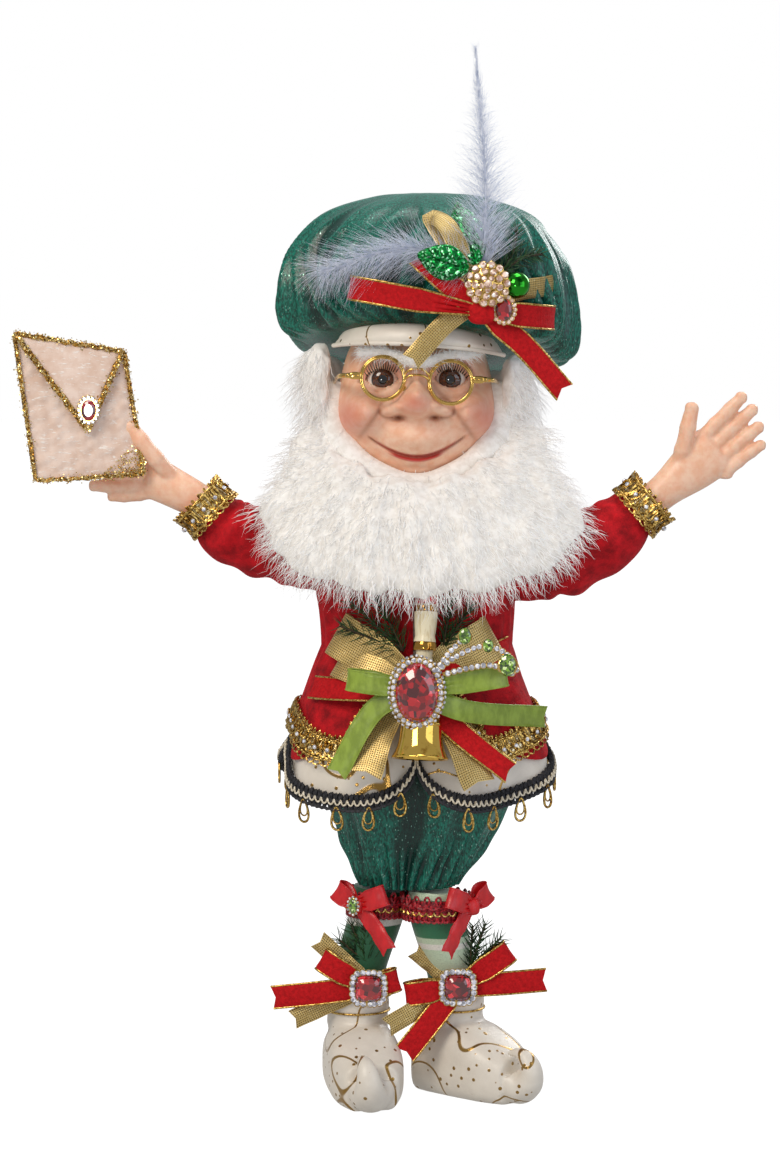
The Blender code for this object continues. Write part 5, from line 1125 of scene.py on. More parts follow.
@dataclass
class Face:
    """The cast head's form: an egg with the face raised on its front."""

    half: tuple[float, float, float] = (30.0, 29.0, 37.0)
    centre_z: float = 284.0
    eye_spread: float = 13.2
    eye_rise: float = 6.0
    eye_radius: float = 6.6
    eye_y: float = -19.7
    lid_radius: float = 7.5
    opening: tuple[float, float, float] = (6.3, 3.7, 3.0)

    def relief(self, x: Points, z: Points) -> Points:
        """How far the face stands out: nose, cheeks, lips and chin are bumps, folds and smile are grooves.

        Args:
            x: the distance to the side.
            z: the height from the face's middle.

        Returns:
            the relief in millimetres.
        """
        out = knob(x, z, (0, -2.5), (7.2, 6.0), 11.0) + bump(x, z, (0, 5), (3.6, 6.0), 6.0)
        for side in (-1, 1):
            out = out + knob(x, z, (side * 22.5, -7.5), (10.0, 8.5), 9.0) + bump(x, z, (side * 22, -7),
                                                                                 (8, 7), 3.5)
            out = out + knob(x, z, (side * 8.8, -5.2), (3.6, 3.2), 5.5)
            out = out - bump(x, z, (side * self.eye_spread, self.eye_rise), (7.0, 4.6), 3.6)
            out = out + bump(x, z, (side * self.eye_spread, 15), (8.0, 4.5), 2.5)
            out = out - bump(x, z, (side * 6.0, -8.8), (2.2, 1.1), 3.4)
            fold = np.abs(side * x - (12.0 + 0.55 * (-5.0 - z)))
            out = out - 1.5 * np.exp(-((fold / 1.1) ** 2)) * step_up(z, -20.0, -15.0) * step_up(-z, 2.5, 7.0)
            for turn in (-0.5, 0.0, 0.5):
                foot = (side * x - 23.0) * math.sin(turn) - (z - 5.0) * math.cos(turn)
                reach = (side * x - 23.0) * math.cos(turn) + (z - 5.0) * math.sin(turn)
                out = out - 0.5 * np.exp(-((foot / 0.5) ** 2)) * np.exp(-(((reach - 1.5) / 2.2) ** 2))
        out = out + bump(x, z, (0, -18), (12.0, 6.0), 4.2) + bump(x, z, (0, -31), (10.0, 6.0), 6.5)
        smile = self.smile(x)
        inside = step_up(17.0 - np.abs(x), 0.0, 2.0)
        out = out - 1.9 * np.exp(-(((z - smile) / 0.8) ** 2)) * inside
        out = out + 0.4 * np.exp(-(((z - smile - 1.3) / 0.9) ** 2)) * step_up(13.0 - np.abs(x), 0.0, 4.0)
        out = out + 0.9 * np.exp(-(((z - smile + 1.6) / 1.1) ** 2)) * step_up(12.0 - np.abs(x), 0.0, 5.0)
        return out - bump(x, z, (0, -28.6), (8.0, 1.1), 0.9)

    def smile(self, x: Points) -> Points:
        """The line between the lips: a parabola through the mouth's middle, turned up at its corners."""
        return -24.6 + 8.2 * (x / 16.0) ** 2

    def rings(self, columns: int, rows: int) -> tuple[Points, Points]:
        """The head as a grid, denser in front, with the lids drawn over the eyes.

        Args:
            columns: points round each ring.
            rows: how many rings.

        Returns:
            the grid, and the painted shares: blush, painted crease shade, lip, none.
        """
        w = np.arange(columns) / columns
        share = np.linspace(0.0, 1.0, rows)
        theta = 0.30 + (math.pi - 0.64) * (share - 0.05 * np.sin(TAU * share))
        phi, theta = np.meshgrid(TAU * w - 0.66 * np.sin(TAU * w), theta)
        x = self.half[0] * np.sin(phi) * np.sin(theta)
        y = -self.half[1] * np.cos(phi) * np.sin(theta)
        level = self.half[2] * np.cos(theta)
        front = np.clip(-y / self.half[1] * 1.25, 0, 1) ** 1.5
        near = np.clip(-y / self.half[1] + 0.35, 0, 1)
        y = y - front * self.relief(x, level)
        paint = self.paint(x, level, front)
        y = self.lids(x, y, level, front)
        x = x * (1 + 0.2 * np.exp(-(((level + 14) / 15) ** 2)) * near)
        return np.stack([x, y, self.centre_z + level], axis=-1), paint

    def lids(self, x: Points, y: Points, level: Points, front: Points) -> Points:
        """Moves the skin on to a sphere over each eye, except in an almond where it falls behind the ball.

        Args:
            x: the distance to the side.
            y: the depth so far.
            level: the height from the face's middle.
            front: 1 in front and 0 at the back.

        Returns:
            the new depth.
        """
        wide, above, below = self.opening
        for side in (-1, 1):
            dx, dz = x - side * self.eye_spread, level - self.eye_rise
            distance = np.sqrt(dx**2 + dz**2)
            cover = self.eye_y - np.sqrt(np.maximum(self.lid_radius**2 - distance**2, 0.0))
            near = step_up(self.lid_radius + 0.4 - distance, 0.0, 1.6) * (front > 0.2)
            y = y + (np.minimum(y, cover) - y) * near
            edge = np.clip(1 - (dx / wide) ** 2, 0, 1)
            height = np.where(dz > 0, dz / (above * edge**0.7 + 1e-6), -dz / (below * edge**0.9 + 1e-6))
            hole = step_up(1.12 - height, 0.0, 0.22) * (np.abs(dx) < wide) * (front > 0.2)
            behind = self.eye_y - np.sqrt(np.maximum(self.eye_radius**2 - distance**2, 0.0)) + 1.6
            y = y + (behind - y) * hole
            crease = np.exp(-(((distance - 8.6) / 0.7) ** 2)) * (dz > -6) * (front > 0.2)
            y = y + 0.7 * crease
        return y

    def paint(self, x: Points, level: Points, front: Points) -> Points:
        """The painted shares, as soft spots of blush on cheeks, nose and lids, and lines of painted shade in
        the folds.

        Args:
            x: the distance to the side.
            level: the height from the face's middle.
            front: 1 in front and 0 at the back.

        Returns:
            the shares: blush, painted crease shade, lip, none.
        """
        blush = bump(x, level, (-0.8, -3.0), (5.5, 4.2), 0.85)
        # painted shade: brown lines round the lids, in the nostrils, round the nose's wings, in the cheek
        # folds, along the mouth and under the lower lip
        crease_shade = np.zeros_like(x)
        for side in (-1, 1):
            blush = blush + bump(x, level, (side * 23.5, -9.5), (8.0, 8.0), 0.9)
            dx, dz = x - side * self.eye_spread, level - self.eye_rise
            distance = np.hypot(dx, dz)
            blush = blush + 0.55 * np.exp(-(((distance - 7.4) / 1.9) ** 2)) * (dz > 0)
            crease_shade = crease_shade + 0.8 * np.exp(-(((distance - 8.6) / 0.8) ** 2)) * (dz > -2)
            crease_shade = crease_shade + 0.5 * np.exp(-(((distance - 7.2) / 1.0) ** 2)) * (dz <= -1)
            crease_shade = crease_shade + bump(x, level, (side * 6.0, -9.0), (2.3, 1.0), 1.0)
            rim = np.hypot((x - side * 8.8) / 3.9, (level + 5.2) / 3.6)
            crease_shade = crease_shade + 0.7 * np.exp(-(((rim - 1.05) / 0.14) ** 2)) * (side * x > 8.0)
            fold = np.abs(side * x - (12.0 + 0.55 * (-5.0 - level)))
            crease_shade = crease_shade + 0.55 * np.exp(-((fold / 1.2) ** 2)) * step_up(level, -20.0,
                                                                        -15.0) * step_up(-level, 2.5, 7.0)
        smile = self.smile(x)
        mouth = step_up(16.5 - np.abs(x), 0.0, 2.0)
        crease_shade = crease_shade + 1.2 * np.exp(-(((level - smile) / 0.55) ** 2)) * mouth
        lip = np.exp(-(((level - smile - 0.4) / 0.6) ** 4)) * step_up(14.5 - np.abs(x), 0.0, 3.0) * 0.75
        lip = np.maximum(lip, np.exp(-(((level - smile + 1.0) / 0.9) ** 4)) * step_up(11.0 - np.abs(x), 0.0,
                                                                                      4.0))
        crease_shade = crease_shade + bump(x, level, (0, -28.6), (8.0, 1.2), 0.4)
        shares = np.stack([blush, crease_shade, lip, 0 * x], axis=-1) * (front > 0.05)[..., None]
        return np.clip(shares, 0, 1)


@dataclass
class Head(Assembly):
    """The cast head with its glass eyes, lashes, spectacles and brows."""

    face: Face = field(default_factory=Face)
    columns: int = 230
    rows: int = 170
    rim_y: float = -36.0
    lens_radius: float = 8.3
    brow_fibres: int = 1300

    def build(self) -> None:
        """Builds the head and everything on the face."""
        grid, paint = self.face.rings(self.columns, self.rows)
        grid[..., 2] = np.minimum(grid[..., 2], hat_under(grid[..., 0], grid[..., 1]) - 0.5)
        skin = loft(grid)
        edge = np.zeros((self.columns, 4))
        skin.painted(np.concatenate([edge, paint.reshape(-1, 4), edge]))
        self.piece("head", [skin], ["skin"], "painted_resin", sharp=80)
        for side, name in ((-1, "right"), (1, "left")):
            self.eye(side, name)
        self.spectacles()
        self.brows()

    def eye(self, side: int, name: str) -> None:
        """A glass ball, painted by the angle from where it looks, and its upper lashes.

        Args:
            side: -1 for the right eye and 1 for the left.
            name: right or left.
        """
        face = self.face
        centre = np.array((side * face.eye_spread, face.eye_y, face.centre_z + face.eye_rise))
        angle, turn = np.meshgrid(np.linspace(0.0, math.radians(115), 60),
                                  np.linspace(0, TAU, 72, endpoint=False),
                                  indexing="ij")
        axis = facing_axes(np.array((-0.02, -1.0, -0.03)), 1)[0]
        local = np.stack([np.sin(angle) * np.cos(turn), np.sin(angle) * np.sin(turn), np.cos(angle)], axis=-1)
        ball = loft(centre + face.eye_radius * np.einsum("rck,kj->rcj", local, axis))
        degrees = np.degrees(angle)
        shares = np.stack([step_up(41.0 - degrees, 0, 2), step_up(17.0 - degrees, 0, 2),
                           np.exp(-(((degrees - 39.5) / 3.0) ** 2)), 0 * degrees], axis=-1).reshape(-1, 4)
        edge = np.zeros((72, 4))
        ball.painted(np.concatenate([np.repeat(shares[:1], 72, 0), shares, edge]))
        wide, above, _ = face.opening
        at = np.linspace(-0.92, 0.98, 17)
        root_x, root_z = at * wide, above * (1 - at**2) ** 0.7 + 0.1
        root_y = -np.sqrt(np.maximum(face.lid_radius**2 - root_x**2 - root_z**2, 2.0))
        roots = centre + np.stack([root_x, root_y, root_z], axis=-1)
        fan = unit(np.stack([at * 0.75, np.full(17, -0.85), 0.75 - 0.25 * np.abs(at)], axis=-1))
        t = np.linspace(0, 1, 8)[None, :, None]
        length = 5.4 * (1 - 0.25 * np.abs(at))[:, None, None] + 0.5 * np.sin(9 * at)[:, None, None]
        curves = roots[:, None] + fan[:, None] * t * length + UPWARD * (t**2) * 1.7
        self.piece(f"eye_{name}", [ball, strands(curves, 0.3, slot=1)], ["eye", "lash"], "eye_glass",
                   sharp=60)

    def spectacles(self) -> None:
        """Round wire rims with a groove, a double bridge, pads on bent wires, hinge blocks and temples."""
        z = self.face.centre_z + self.face.eye_rise
        spread, y = self.face.eye_spread, self.rim_y
        turn = np.linspace(0, TAU, 96, endpoint=False)
        parts = []
        for side in (-1, 1):
            middle = np.array((side * spread, y, z - side * 0.8))
            circle = np.stack([np.cos(turn), 0 * turn, np.sin(turn)], axis=1)
            for out, offset in ((0.35, -0.35), (-0.25, 0.3)):
                parts.append(tube(middle + circle * (self.lens_radius + out) + FORWARD * offset, 0.48, 10,
                                  up=FORWARD, closed=True))
            hinge = middle + (side * (self.lens_radius + 1.6), 0, 1.0)
            parts.append(blob(hinge + (side * 0.8, 0, 0), (2.6, 1.0, 1.5)))
            parts.append(blob(hinge + (side * 3.4, 1.2, 0), (1.3, 1.8, 1.1)))
            for drop in (-0.8, 0.8):
                parts.append(lathe([(0.5, 0), (0.5, 1.3), (0.3, 1.6)], 12,
                                   hinge + (side * (0.4 + drop), 0, 0), FORWARD))
            ear = smooth_path([hinge + (side * 3.6, 1.5, 0), hinge + (side * 7.4, 9.0, -0.6),
                               (side * 32.6, -5, 288)], 30)
            parts.append(tube(ear, 0.62, 8, flat=1.5))
            inner = middle[0] - side * self.lens_radius
            pad = np.array((inner - side * 0.2, y + 3.4, z - 4.4))
            parts.append(tube(smooth_path([(inner + side * 0.9, y, z - 3.2),
                                           (inner + side * 0.6, y + 2.2, z - 2.4),
                                           pad], 16), 0.3, 6))
            parts.append(blob(pad, (0.7, 1.0, 2.1)))
        gap = spread - self.lens_radius
        for rise, bow in ((2.6, 1.7), (0.8, 1.1)):
            points = [(-gap, y, z + rise), (-gap * 0.4, y - 0.9, z + rise + bow),
                      (gap * 0.4, y - 0.9, z + rise + bow),
                      (gap, y, z + rise - 0.6)]
            parts.append(tube(smooth_path(points, 26), 0.5, 8, up=FORWARD))
        self.piece("spectacles", parts, ["gilt"], "gold_wire", sharp=60)

    def brows(self) -> None:
        """A tuft of mohair: fibres leave a line over the eyes upwards, outwards and forwards."""
        count = self.brow_fibres
        along = self.random.uniform(-1, 1, count)
        line = smooth_path([(-21, -26, 300.5), (-11, -31, 300.2), (1, -34, 296.5), (13, -31, 299.6),
                            (23, -25, 300)], 60)
        roots = line[((along + 1) / 2 * 59).astype(int)] + self.random.normal(0, (0.6, 0.8, 0.9), (count, 3))
        ways = unit(np.stack([along * 0.9 + self.random.normal(0, 0.35, count), np.full(count, -0.55),
                              self.random.normal(0.25, 0.45, count)], axis=-1))
        length = self.random.uniform(3.0, 6.5, count)[:, None, None]
        t = np.linspace(0, 1, 5)[None, :, None]
        curl = np.sin(t * 5 + along[:, None, None] * 20) * 0.5
        curves = roots[:, None] + ways[:, None] * t * length + curl * UPWARD - UPWARD * t**2 * 1.2
        pad = tube(line, 2.0 * np.sin(np.linspace(0.15, math.pi - 0.15, 60)) ** 0.5, 16, slot=1)
        self.piece("eyebrows", [strands(curves, 0.11), pad], ["mohair", "hair_pad"], "white_mohair",
                   weld=False)


def hat_under(x: Points, y: Points) -> Points:
    """The hat's flat underside, which tips down to the back and to the left."""
    return HAT_BASE - 0.27 * (y + 42.0) - 0.06 * x


# Hair and beard


@dataclass
class Fleece(Assembly):
    """Mohair: a wadding core that fills the CAD shape, and curling fibres that leave it all over."""

    step_count: int = 5
    jaw_fibres: int = 1000

    def build(self) -> None:
        """The wig and the beard."""
        self.fleece("hair", 2700, (8.0, 14.0), self.hair_flow, 1.2)
        self.fleece("beard", 4600, (6.0, 12.0), self.beard_flow, 1.5)
        self.jaw()

    def jaw(self) -> None:
        """The beard's roots: a roll of wadding behind the chin, and fibres that fan down from it."""
        line = smooth_path([(-33, -2, 286), (-32.5, -10, 270), (-24, -16, 257), (-10, -20, 249),
                            (0, -21, 247),
                            (10, -20, 249), (24, -16, 257), (32.5, -10, 270), (33, -2, 286)], 120)
        count = self.jaw_fibres
        roots = line[self.random.integers(0, 120, count)] + self.random.normal(0, 2.6, (count, 3))
        way = unit((roots - (0, 0, 285)) * (1.2, 0.6, 1.0) + (0, -14, -6)
                   + self.random.normal(0, 5, (count, 3)))
        t = np.linspace(0, 1, 5)[None, :, None]
        turn = self.random.uniform(0, TAU, count)[:, None, None]
        side = unit(np.cross(way, FORWARD))[:, None]
        curves = roots[:, None] + way[:, None] * t * self.random.uniform(7, 13, count)[:, None, None]
        curves = curves + side * t * 1.6 * np.sin(5.5 * t + turn)
        parts = [strands(curves, 0.14), tube(line, 6.0, 20, up=FORWARD, slot=1)]
        made = make_piece("elf_beard_roots", parts, [self.looks("mohair"), self.looks("hair_pad")],
                          weld=False)
        self.hand_over(made, "beard", "white_mohair")

    def hair_flow(self, points: Points) -> Points:
        """Hair leaves the head's axis sideways and falls."""
        out = unit(points * (1.0, 0.6, 0.0))
        return unit(out * 0.42 + (0.0, -0.05, -0.85))

    def beard_flow(self, points: Points) -> Points:
        """The beard runs from the chin outwards and down, a little forwards."""
        out = unit((points - (1.0, -8.0, 268.0)) * (1.0, 0.35, 1.0))
        return unit(out + (0.0, -0.12, -0.25))

    def fleece(
        self, node: str, count: int, lengths: tuple[float, float], flow: Callable[[Points], Points],
        curl: float,
    ) -> None:
        """One body of mohair.

        Args:
            node: the CAD node whose shape it fills.
            count: how many fibres.
            lengths: the shortest and the longest fibre.
            flow: the direction in which the fibres run at each point.
            curl: the radius of their curls.
        """
        source = bpy.data.objects[node]
        mesh = source.data.copy()
        mesh.transform(source.matrix_world)
        merge_points(mesh)
        core = bpy.data.objects.new(f"elf_{node}_pad", mesh)
        bpy.context.scene.collection.objects.link(core)
        fused(core, 1.6, 6)
        vertices = np.empty(len(core.data.vertices) * 3)
        core.data.vertices.foreach_get("co", vertices)
        vertices = vertices.reshape(-1, 3) / MM - AXIS
        normals = np.empty(len(core.data.vertices) * 3)
        core.data.vertices.foreach_get("normal", normals)
        normals = normals.reshape(-1, 3)
        swell = ripple(vertices * (1.0, 0.6, 0.45), 11.0, 2.0) * 1.5 + ripple(vertices * (1.0, 1.0, 0.5),
                                                                              4.5) * 0.8
        moved = self.kept_in(node, vertices + normals * (swell - 0.8)[:, None])
        core.data.vertices.foreach_set("co", metres(moved).ravel())
        core.data.update()
        picked = self.random.integers(0, len(vertices), count)
        roots, out = moved[picked], normals[picked]
        way = unit(flow(roots) + out * 0.34 + self.random.normal(0, 0.16, (count, 3)))
        length = self.random.uniform(*lengths, count)[:, None, None]
        t = np.linspace(0, 1, self.step_count)[None, :, None]
        side = unit(np.cross(way, out + 0.01))
        phase = (ripple(roots, 9.0, 5.0) * 4 + self.random.normal(0, 0.7, count))[:, None, None]
        turns = self.random.uniform(0.7, 1.5, count)[:, None, None] * TAU
        wave = (np.cos(turns * t + phase)
                - np.cos(phase)) * side[:, None] + np.sin(turns * t + phase) * out[:, None] * 0.6
        curves = roots[:, None] - out[:, None] * 0.5 + way[:, None] * t * length + wave * curl * t
        curves[..., 2] -= (t[..., 0] ** 2) * 0.8
        curves = self.kept_in(node, curves)
        fibres = strands(curves, self.random.uniform(0.12, 0.20, count))
        made = make_piece("elf_" + node, [fibres], [self.looks("mohair")], weld=False)
        core.data.materials.clear()
        core.data.materials.append(self.looks("hair_pad"))
        self.hand_over(core, node, "white_mohair")
        self.hand_over(made, node, "white_mohair")

    def kept_in(self, node: str, curves: Points) -> Points:
        """Fibres that would cover the face bend back beside it, and none stands more than 58 mm forward.

        Args:
            node: hair or beard.
            curves: points of any shape, which are changed.

        Returns:
            the same points.
        """
        if node == "hair":
            x, y = curves[..., 0], curves[..., 1]
            least = 29.5 + 0.10 * (284 - np.clip(curves[..., 2], 250, 300))
            blocked = (np.abs(x) < least) & (y < -4)
            curves[..., 0] = np.where(blocked, np.sign(x) * least, x)
        else:
            x, z = curves[..., 0], curves[..., 2]
            top = 251.0 + 24.0 * (x / 26.0) ** 2
            curves[..., 2] = np.where((np.abs(x) < 40) & (curves[..., 1] < -18), np.minimum(z, top), z)
        curves[..., 1] = np.maximum(curves[..., 1], -58.0)
        return curves


# Hat


HAT_LEVELS = np.array((
    (0.45, 0.0, 0.0), (0.80, 0.0, 0.5), (0.97, 0.12, 1.0), (1.00, 0.36, 1.0), (0.93, 0.62, 0.9),
    (0.72, 0.86, 0.6), (0.38, 0.975, 0.3), (0.12, 1.0, 0.0)))
HAT_BASE, HAT_TOP = 315.0, 363.0
HAT_CENTRE = (5.0, 7.0)
HAT_HALF = (57.0, 49.0)
TRIM_X, TRIM_Z = 25.0, 317.0


def hat_front(points: Points) -> Points:
    """Points (x, z, out) laid out millimetres in front of the hat's cloth, an ellipse at each height.

    Args:
        points: one row each.

    Returns:
        the points, in millimetres.
    """
    x, z, out = np.asarray(points, float).T
    share = np.interp((z - HAT_BASE) / (HAT_TOP - HAT_BASE), HAT_LEVELS[2:, 1], HAT_LEVELS[2:, 0])
    across = np.minimum(np.abs(x - HAT_CENTRE[0]) / (HAT_HALF[0] * share), 0.97)
    y = HAT_CENTRE[1] - HAT_HALF[1] * share * np.sqrt(1 - across**2)
    return np.stack([x, y - out * (1 + 0.6 * across), z], axis=-1)


WAIST_Z, SKIRT_DROP, FOLDS = 183.0, 43.5, 2.4
BODY_Z = np.array((114.5, 139.5, 160.0, 183.0, 206.0, 227.0, 237.0))
BODY_WIDE = np.array((58.0, 55.0, 47.0, 38.0, 40.0, 34.0, 17.0))
BODY_RATIO = np.array((0.84, 0.82, 0.80, 0.72, 0.72, 0.66, 0.85))


def radii_at(z: Points) -> tuple[Points, Points]:
    """Half width and half depth of the coat's outer face at height z."""
    wide = np.interp(z, BODY_Z, BODY_WIDE)
    return wide, wide * np.interp(z, BODY_Z, BODY_RATIO)


def flare_at(z: Points) -> Points:
    """How far the skirts stand out: 0 above the waist, growing as the 1.3rd power of the drop to the hem."""
    return np.clip((WAIST_Z - z) / SKIRT_DROP, 0, 1.3) ** 1.3


def body_point(phi: Points, z: Points, out: Points | float = 0.0, fold: float = 1.0) -> Points:
    """A point out millimetres from the coat. Phi is 0 in front, and six folds wave the skirt.

    Args:
        phi: the angle.
        z: the height.
        out: how far off the coat.
        fold: how deep the folds are, as a share.

    Returns:
        the point or points, in millimetres.
    """
    wide, deep = radii_at(z)
    wave = fold * flare_at(z) * FOLDS * np.sin(6 * phi + 0.8)
    return np.stack(np.broadcast_arrays((wide + out + wave) * np.sin(phi), -(deep + out + wave) * np.cos(phi),
                                        z), axis=-1)


def coat_front(points: Points) -> Points:
    """Points (x, z, out) laid out millimetres in front of the coat, clear of its folds.

    Args:
        points: one row each.

    Returns:
        the points, in millimetres.
    """
    x, z, out = np.asarray(points, float).T
    wide, deep = radii_at(z)
    out = out + flare_at(z) * FOLDS
    across = np.minimum(np.abs(x) / (wide + out), 0.96)
    return np.stack([x, -(deep + out) * np.sqrt(1 - across**2), z], axis=-1)


Lay = Callable[[Points], Points]


def outward_of(lay: Lay, points: Points) -> Points:
    """The direction in which a surface faces at its points (x, z, out), from two short steps along it.

    Args:
        lay: turns (x, z, out) into points.
        points: one row each.

    Returns:
        one unit vector for each point.
    """
    points = np.asarray(points, float)
    across = lay(points + (2.0, 0, 0)) - lay(points - (2.0, 0, 0))
    upwards = lay(points + (0, 2.0, 0)) - lay(points - (0, 2.0, 0))
    return unit(np.cross(across, upwards))


def fold_shade_shares(reach: Points, depth: float) -> Points:
    """Painted shade for the folds of lofted cloth: 1 where its radius falls depth short of the mean, else 0.

    Args:
        reach: the radius, rows by columns.
        depth: how far short of the mean counts as 1.

    Returns:
        four equal shares for each point of the loft.
    """
    low = np.clip((reach.mean(axis=1, keepdims=True) - reach) / depth, 0, 1) ** 1.3 * 0.85
    shares = np.repeat(low[..., None], 4, axis=-1).reshape(-1, 4)
    edge = np.zeros((reach.shape[1], 4))
    return np.concatenate([edge, shares, edge])


# Ribbons


@dataclass(frozen=True)
class Weave:
    """How a ribbon is cut: its width, its thickness, and the slots of its face and of its edge cords."""

    width: float
    thick: float = 0.7
    face: int = 0
    edge: int | None = 1
    edge_radius: float = 0.42
    ripples: float = 0.0


def ribbon(path: Points, facing: Points, weave: Weave, pinch: tuple[float, float] = (0.45, 1.0),
           notch: float = 0.0) -> list[Surface]:
    """A ribbon along a path: its width lies across the path and its facing, and it cups near its knot.

    Args:
        path: its centre line.
        facing: the direction its face looks in, one or one for each point.
        weave: how it is cut.
        pinch: its width at the start and at the end, as a share of the full one.
        notch: how much further its edges reach than its middle at the free end, for a cut in a V.

    Returns:
        its face and its edge cords.
    """
    count = len(path)
    ahead = tangents_of(path)
    across = unit(np.cross(ahead, np.broadcast_to(facing, path.shape)))
    normal = unit(np.cross(across, ahead))
    along = np.linspace(0, 1, count)
    share = np.interp(along, (0, 0.22, 0.8, 1), (pinch[0], 1.0, 1.0, pinch[1]))
    s = np.linspace(-1, 1, 11)
    cup = (1 - share)[:, None] * 2.2 * np.cos(3.5 * math.pi * s)[None, :] * (1 - 0.4 * np.abs(s))
    cup = cup + 0.35 * (1 - s**2)[None, :] + weave.ripples * np.sin(along * 19)[:, None] * np.abs(s)[None,
                                                                                                     :] ** 2
    end = np.clip((along - 0.8) / 0.2, 0, 1)[:, None] * notch * (np.abs(s) - 0.5)[None, :]
    grid = (path[:, None] + across[:, None] * (share[:, None] * s * weave.width / 2)[..., None]
            + normal[:, None] * cup[..., None] + ahead[:, None] * end[..., None])
    made = [shell(grid, weave.thick, slot=weave.face)]
    if weave.edge is not None:
        wobble = normal * (0.12 * np.sin(np.arange(count) * 2.4))[:, None]
        for side in (0, -1):
            made.append(tube(grid[:, side] + wobble, weave.edge_radius, 6, up=np.array((0.3, -1.0, 0.2)),
                             slot=weave.edge))
    return made


def laid_ribbon(lay: Lay, points: Points, weave: Weave, notch: float = 1.5) -> list[Surface]:
    """A ribbon that lies over a surface along (x, z, out) points, from its knot."""
    flat = smooth_path(points, 32)
    return ribbon(lay(flat), outward_of(lay, flat), weave, notch=notch)


def free_ribbon(points: Points, facing: Points, weave: Weave, notch: float = 1.5) -> list[Surface]:
    """A ribbon along a smooth path, from its knot."""
    return ribbon(smooth_path(points, 32), facing, weave, notch=notch)


LOOP_SHAPE = np.array(((0.05, 0.30), (0.40, 0.02), (0.80, -0.04), (0.99, 0.28), (0.95, 0.78), (0.68, 1.02),
                       (0.35, 0.85), (0.05, 0.60)))


def laid_loop(lay: Lay, knot: Points, tip: Points, out: float, rise: float, weave: Weave) -> list[Surface]:
    """A loop over a surface from the knot's (x, z) to the tip's: out, over at the tip and back in front.

    Args:
        lay: turns (x, z, out) into points.
        knot: where it starts.
        tip: where it turns over.
        out: how far off its back lies.
        rise: how much further off its front lies.
        weave: how the ribbon is cut.

    Returns:
        the surfaces.
    """
    knot, tip = np.asarray(knot, float), np.asarray(tip, float)
    shape = smooth_path(np.concatenate([LOOP_SHAPE, 0 * LOOP_SHAPE[:, :1]], axis=1), 64)
    flat = np.concatenate([knot + (tip - knot) * shape[:, :1], out + rise * shape[:, 1:2]], axis=1)
    path = lay(flat)
    facing = outward_of(lay, flat)
    return looped(path, facing, weave)


def looped(path: Points, facing: Points, weave: Weave) -> list[Surface]:
    """A loop's ribbon, whose width stays across the loop's own plane while it turns over.

    Args:
        path: the loop's centre line.
        facing: the direction that the loop looks in at each point.
        weave: how the ribbon is cut.

    Returns:
        the surfaces.
    """
    steady = unit(np.cross(path[28] - path[0], facing.mean(axis=0)))
    ahead = tangents_of(path)
    return ribbon(path, unit(np.cross(steady, ahead)), weave, pinch=(0.45, 0.45))


def free_loop(knot: Points, tip: Points, rise: float, facing: Points, weave: Weave) -> list[Surface]:
    """A loop in the air from knot to tip, which comes back in front of itself.

    Args:
        knot: where it starts.
        tip: where it turns over.
        rise: how far its front stands off its back.
        facing: the direction that it looks in.
        weave: how the ribbon is cut.

    Returns:
        the surfaces.
    """
    knot, tip, facing = np.asarray(knot, float), np.asarray(tip, float), unit(np.asarray(facing, float))
    shape = smooth_path(np.concatenate([LOOP_SHAPE, 0 * LOOP_SHAPE[:, :1]], axis=1), 64)
    path = knot + (tip - knot) * shape[:, :1] + facing * rise * (shape[:, 1:2] - 0.4)
    return looped(path, np.broadcast_to(facing, path.shape), weave)


# Stones


def cut_stone(half_x: float, half_z: float, height: float, sides: int, squareness: float = 2.0) -> Surface:
    """A faceted stone over the origin, its top along +Z: a girdle, two steps of crown and a flat table.

    Args:
        half_x: half its width.
        half_z: half its length.
        height: from its back to its table.
        sides: facets round it.
        squareness: 2 for an oval and 4 for a rounded square.

    Returns:
        the closed surface.
    """
    turn = np.linspace(0, TAU, sides, endpoint=False) + math.pi / sides
    c, s = np.cos(turn), np.sin(turn)
    power = 2.0 / squareness
    u, v = np.sign(c) * np.abs(c) ** power, np.sign(s) * np.abs(s) ** power
    rings = [np.stack([u * half_x * k, v * half_z * k, np.full(sides, height * h)], axis=-1)
             for k, h in ((0.86, 0.0), (1.0, 0.28), (0.84, 0.72), (0.58, 1.0))]
    return loft(np.array(rings))


def set_row(path: Points, out: Points, stone: float, slots: tuple[int, int] = (0, 1)) -> list[Surface]:
    """Round stones along a path, each in a claw cup: the stones, the cups and the bar that they sit on.

    Args:
        path: the stones' places.
        out: the direction they look in, one or one for each.
        stone: a stone's radius.
        slots: the slots of stone and metal.

    Returns:
        the surfaces.
    """
    axes = facing_axes(out, len(path))
    cup = lathe([(0.7, -0.5), (1.12, -0.1), (1.2, 0.42), (0.95, 0.5), (0.8, 0.3)], 10, np.zeros(3), UPWARD)
    return [copies(cut_stone(1.0, 1.0, 0.85, 8), path + axes[:, 2] * stone * 0.3, axes, stone, slots[0]),
            copies(cup, path, axes, stone, slots[1])]


def oval(centre: Points, half_x: float, half_z: float, count: int, facing: Points = FORWARD,
         squareness: float = 2.0) -> Points:
    """Points evenly spaced by length round an oval or a rounded square that looks in the direction facing.

    Args:
        centre: its middle.
        half_x: half its width.
        half_z: half its height.
        count: how many points.
        facing: the direction that it looks in.
        squareness: 2 for an oval and 4 for a rounded square.

    Returns:
        the points, in millimetres.
    """
    side, rise, _ = facing_axes(facing, 1)[0]
    turn = np.linspace(0, TAU, 400, endpoint=False)
    c, s = np.cos(turn), np.sin(turn)
    power = 2.0 / squareness
    line = (np.asarray(centre, float) + (np.sign(c) * np.abs(c) ** power * half_x)[:, None] * side
            + (np.sign(s) * np.abs(s) ** power * half_z)[:, None] * rise)
    length = arc_lengths(np.concatenate([line, line[:1]]))
    at = np.searchsorted(length, np.linspace(0, length[-1], count, endpoint=False))
    return line[np.minimum(at, 399)]


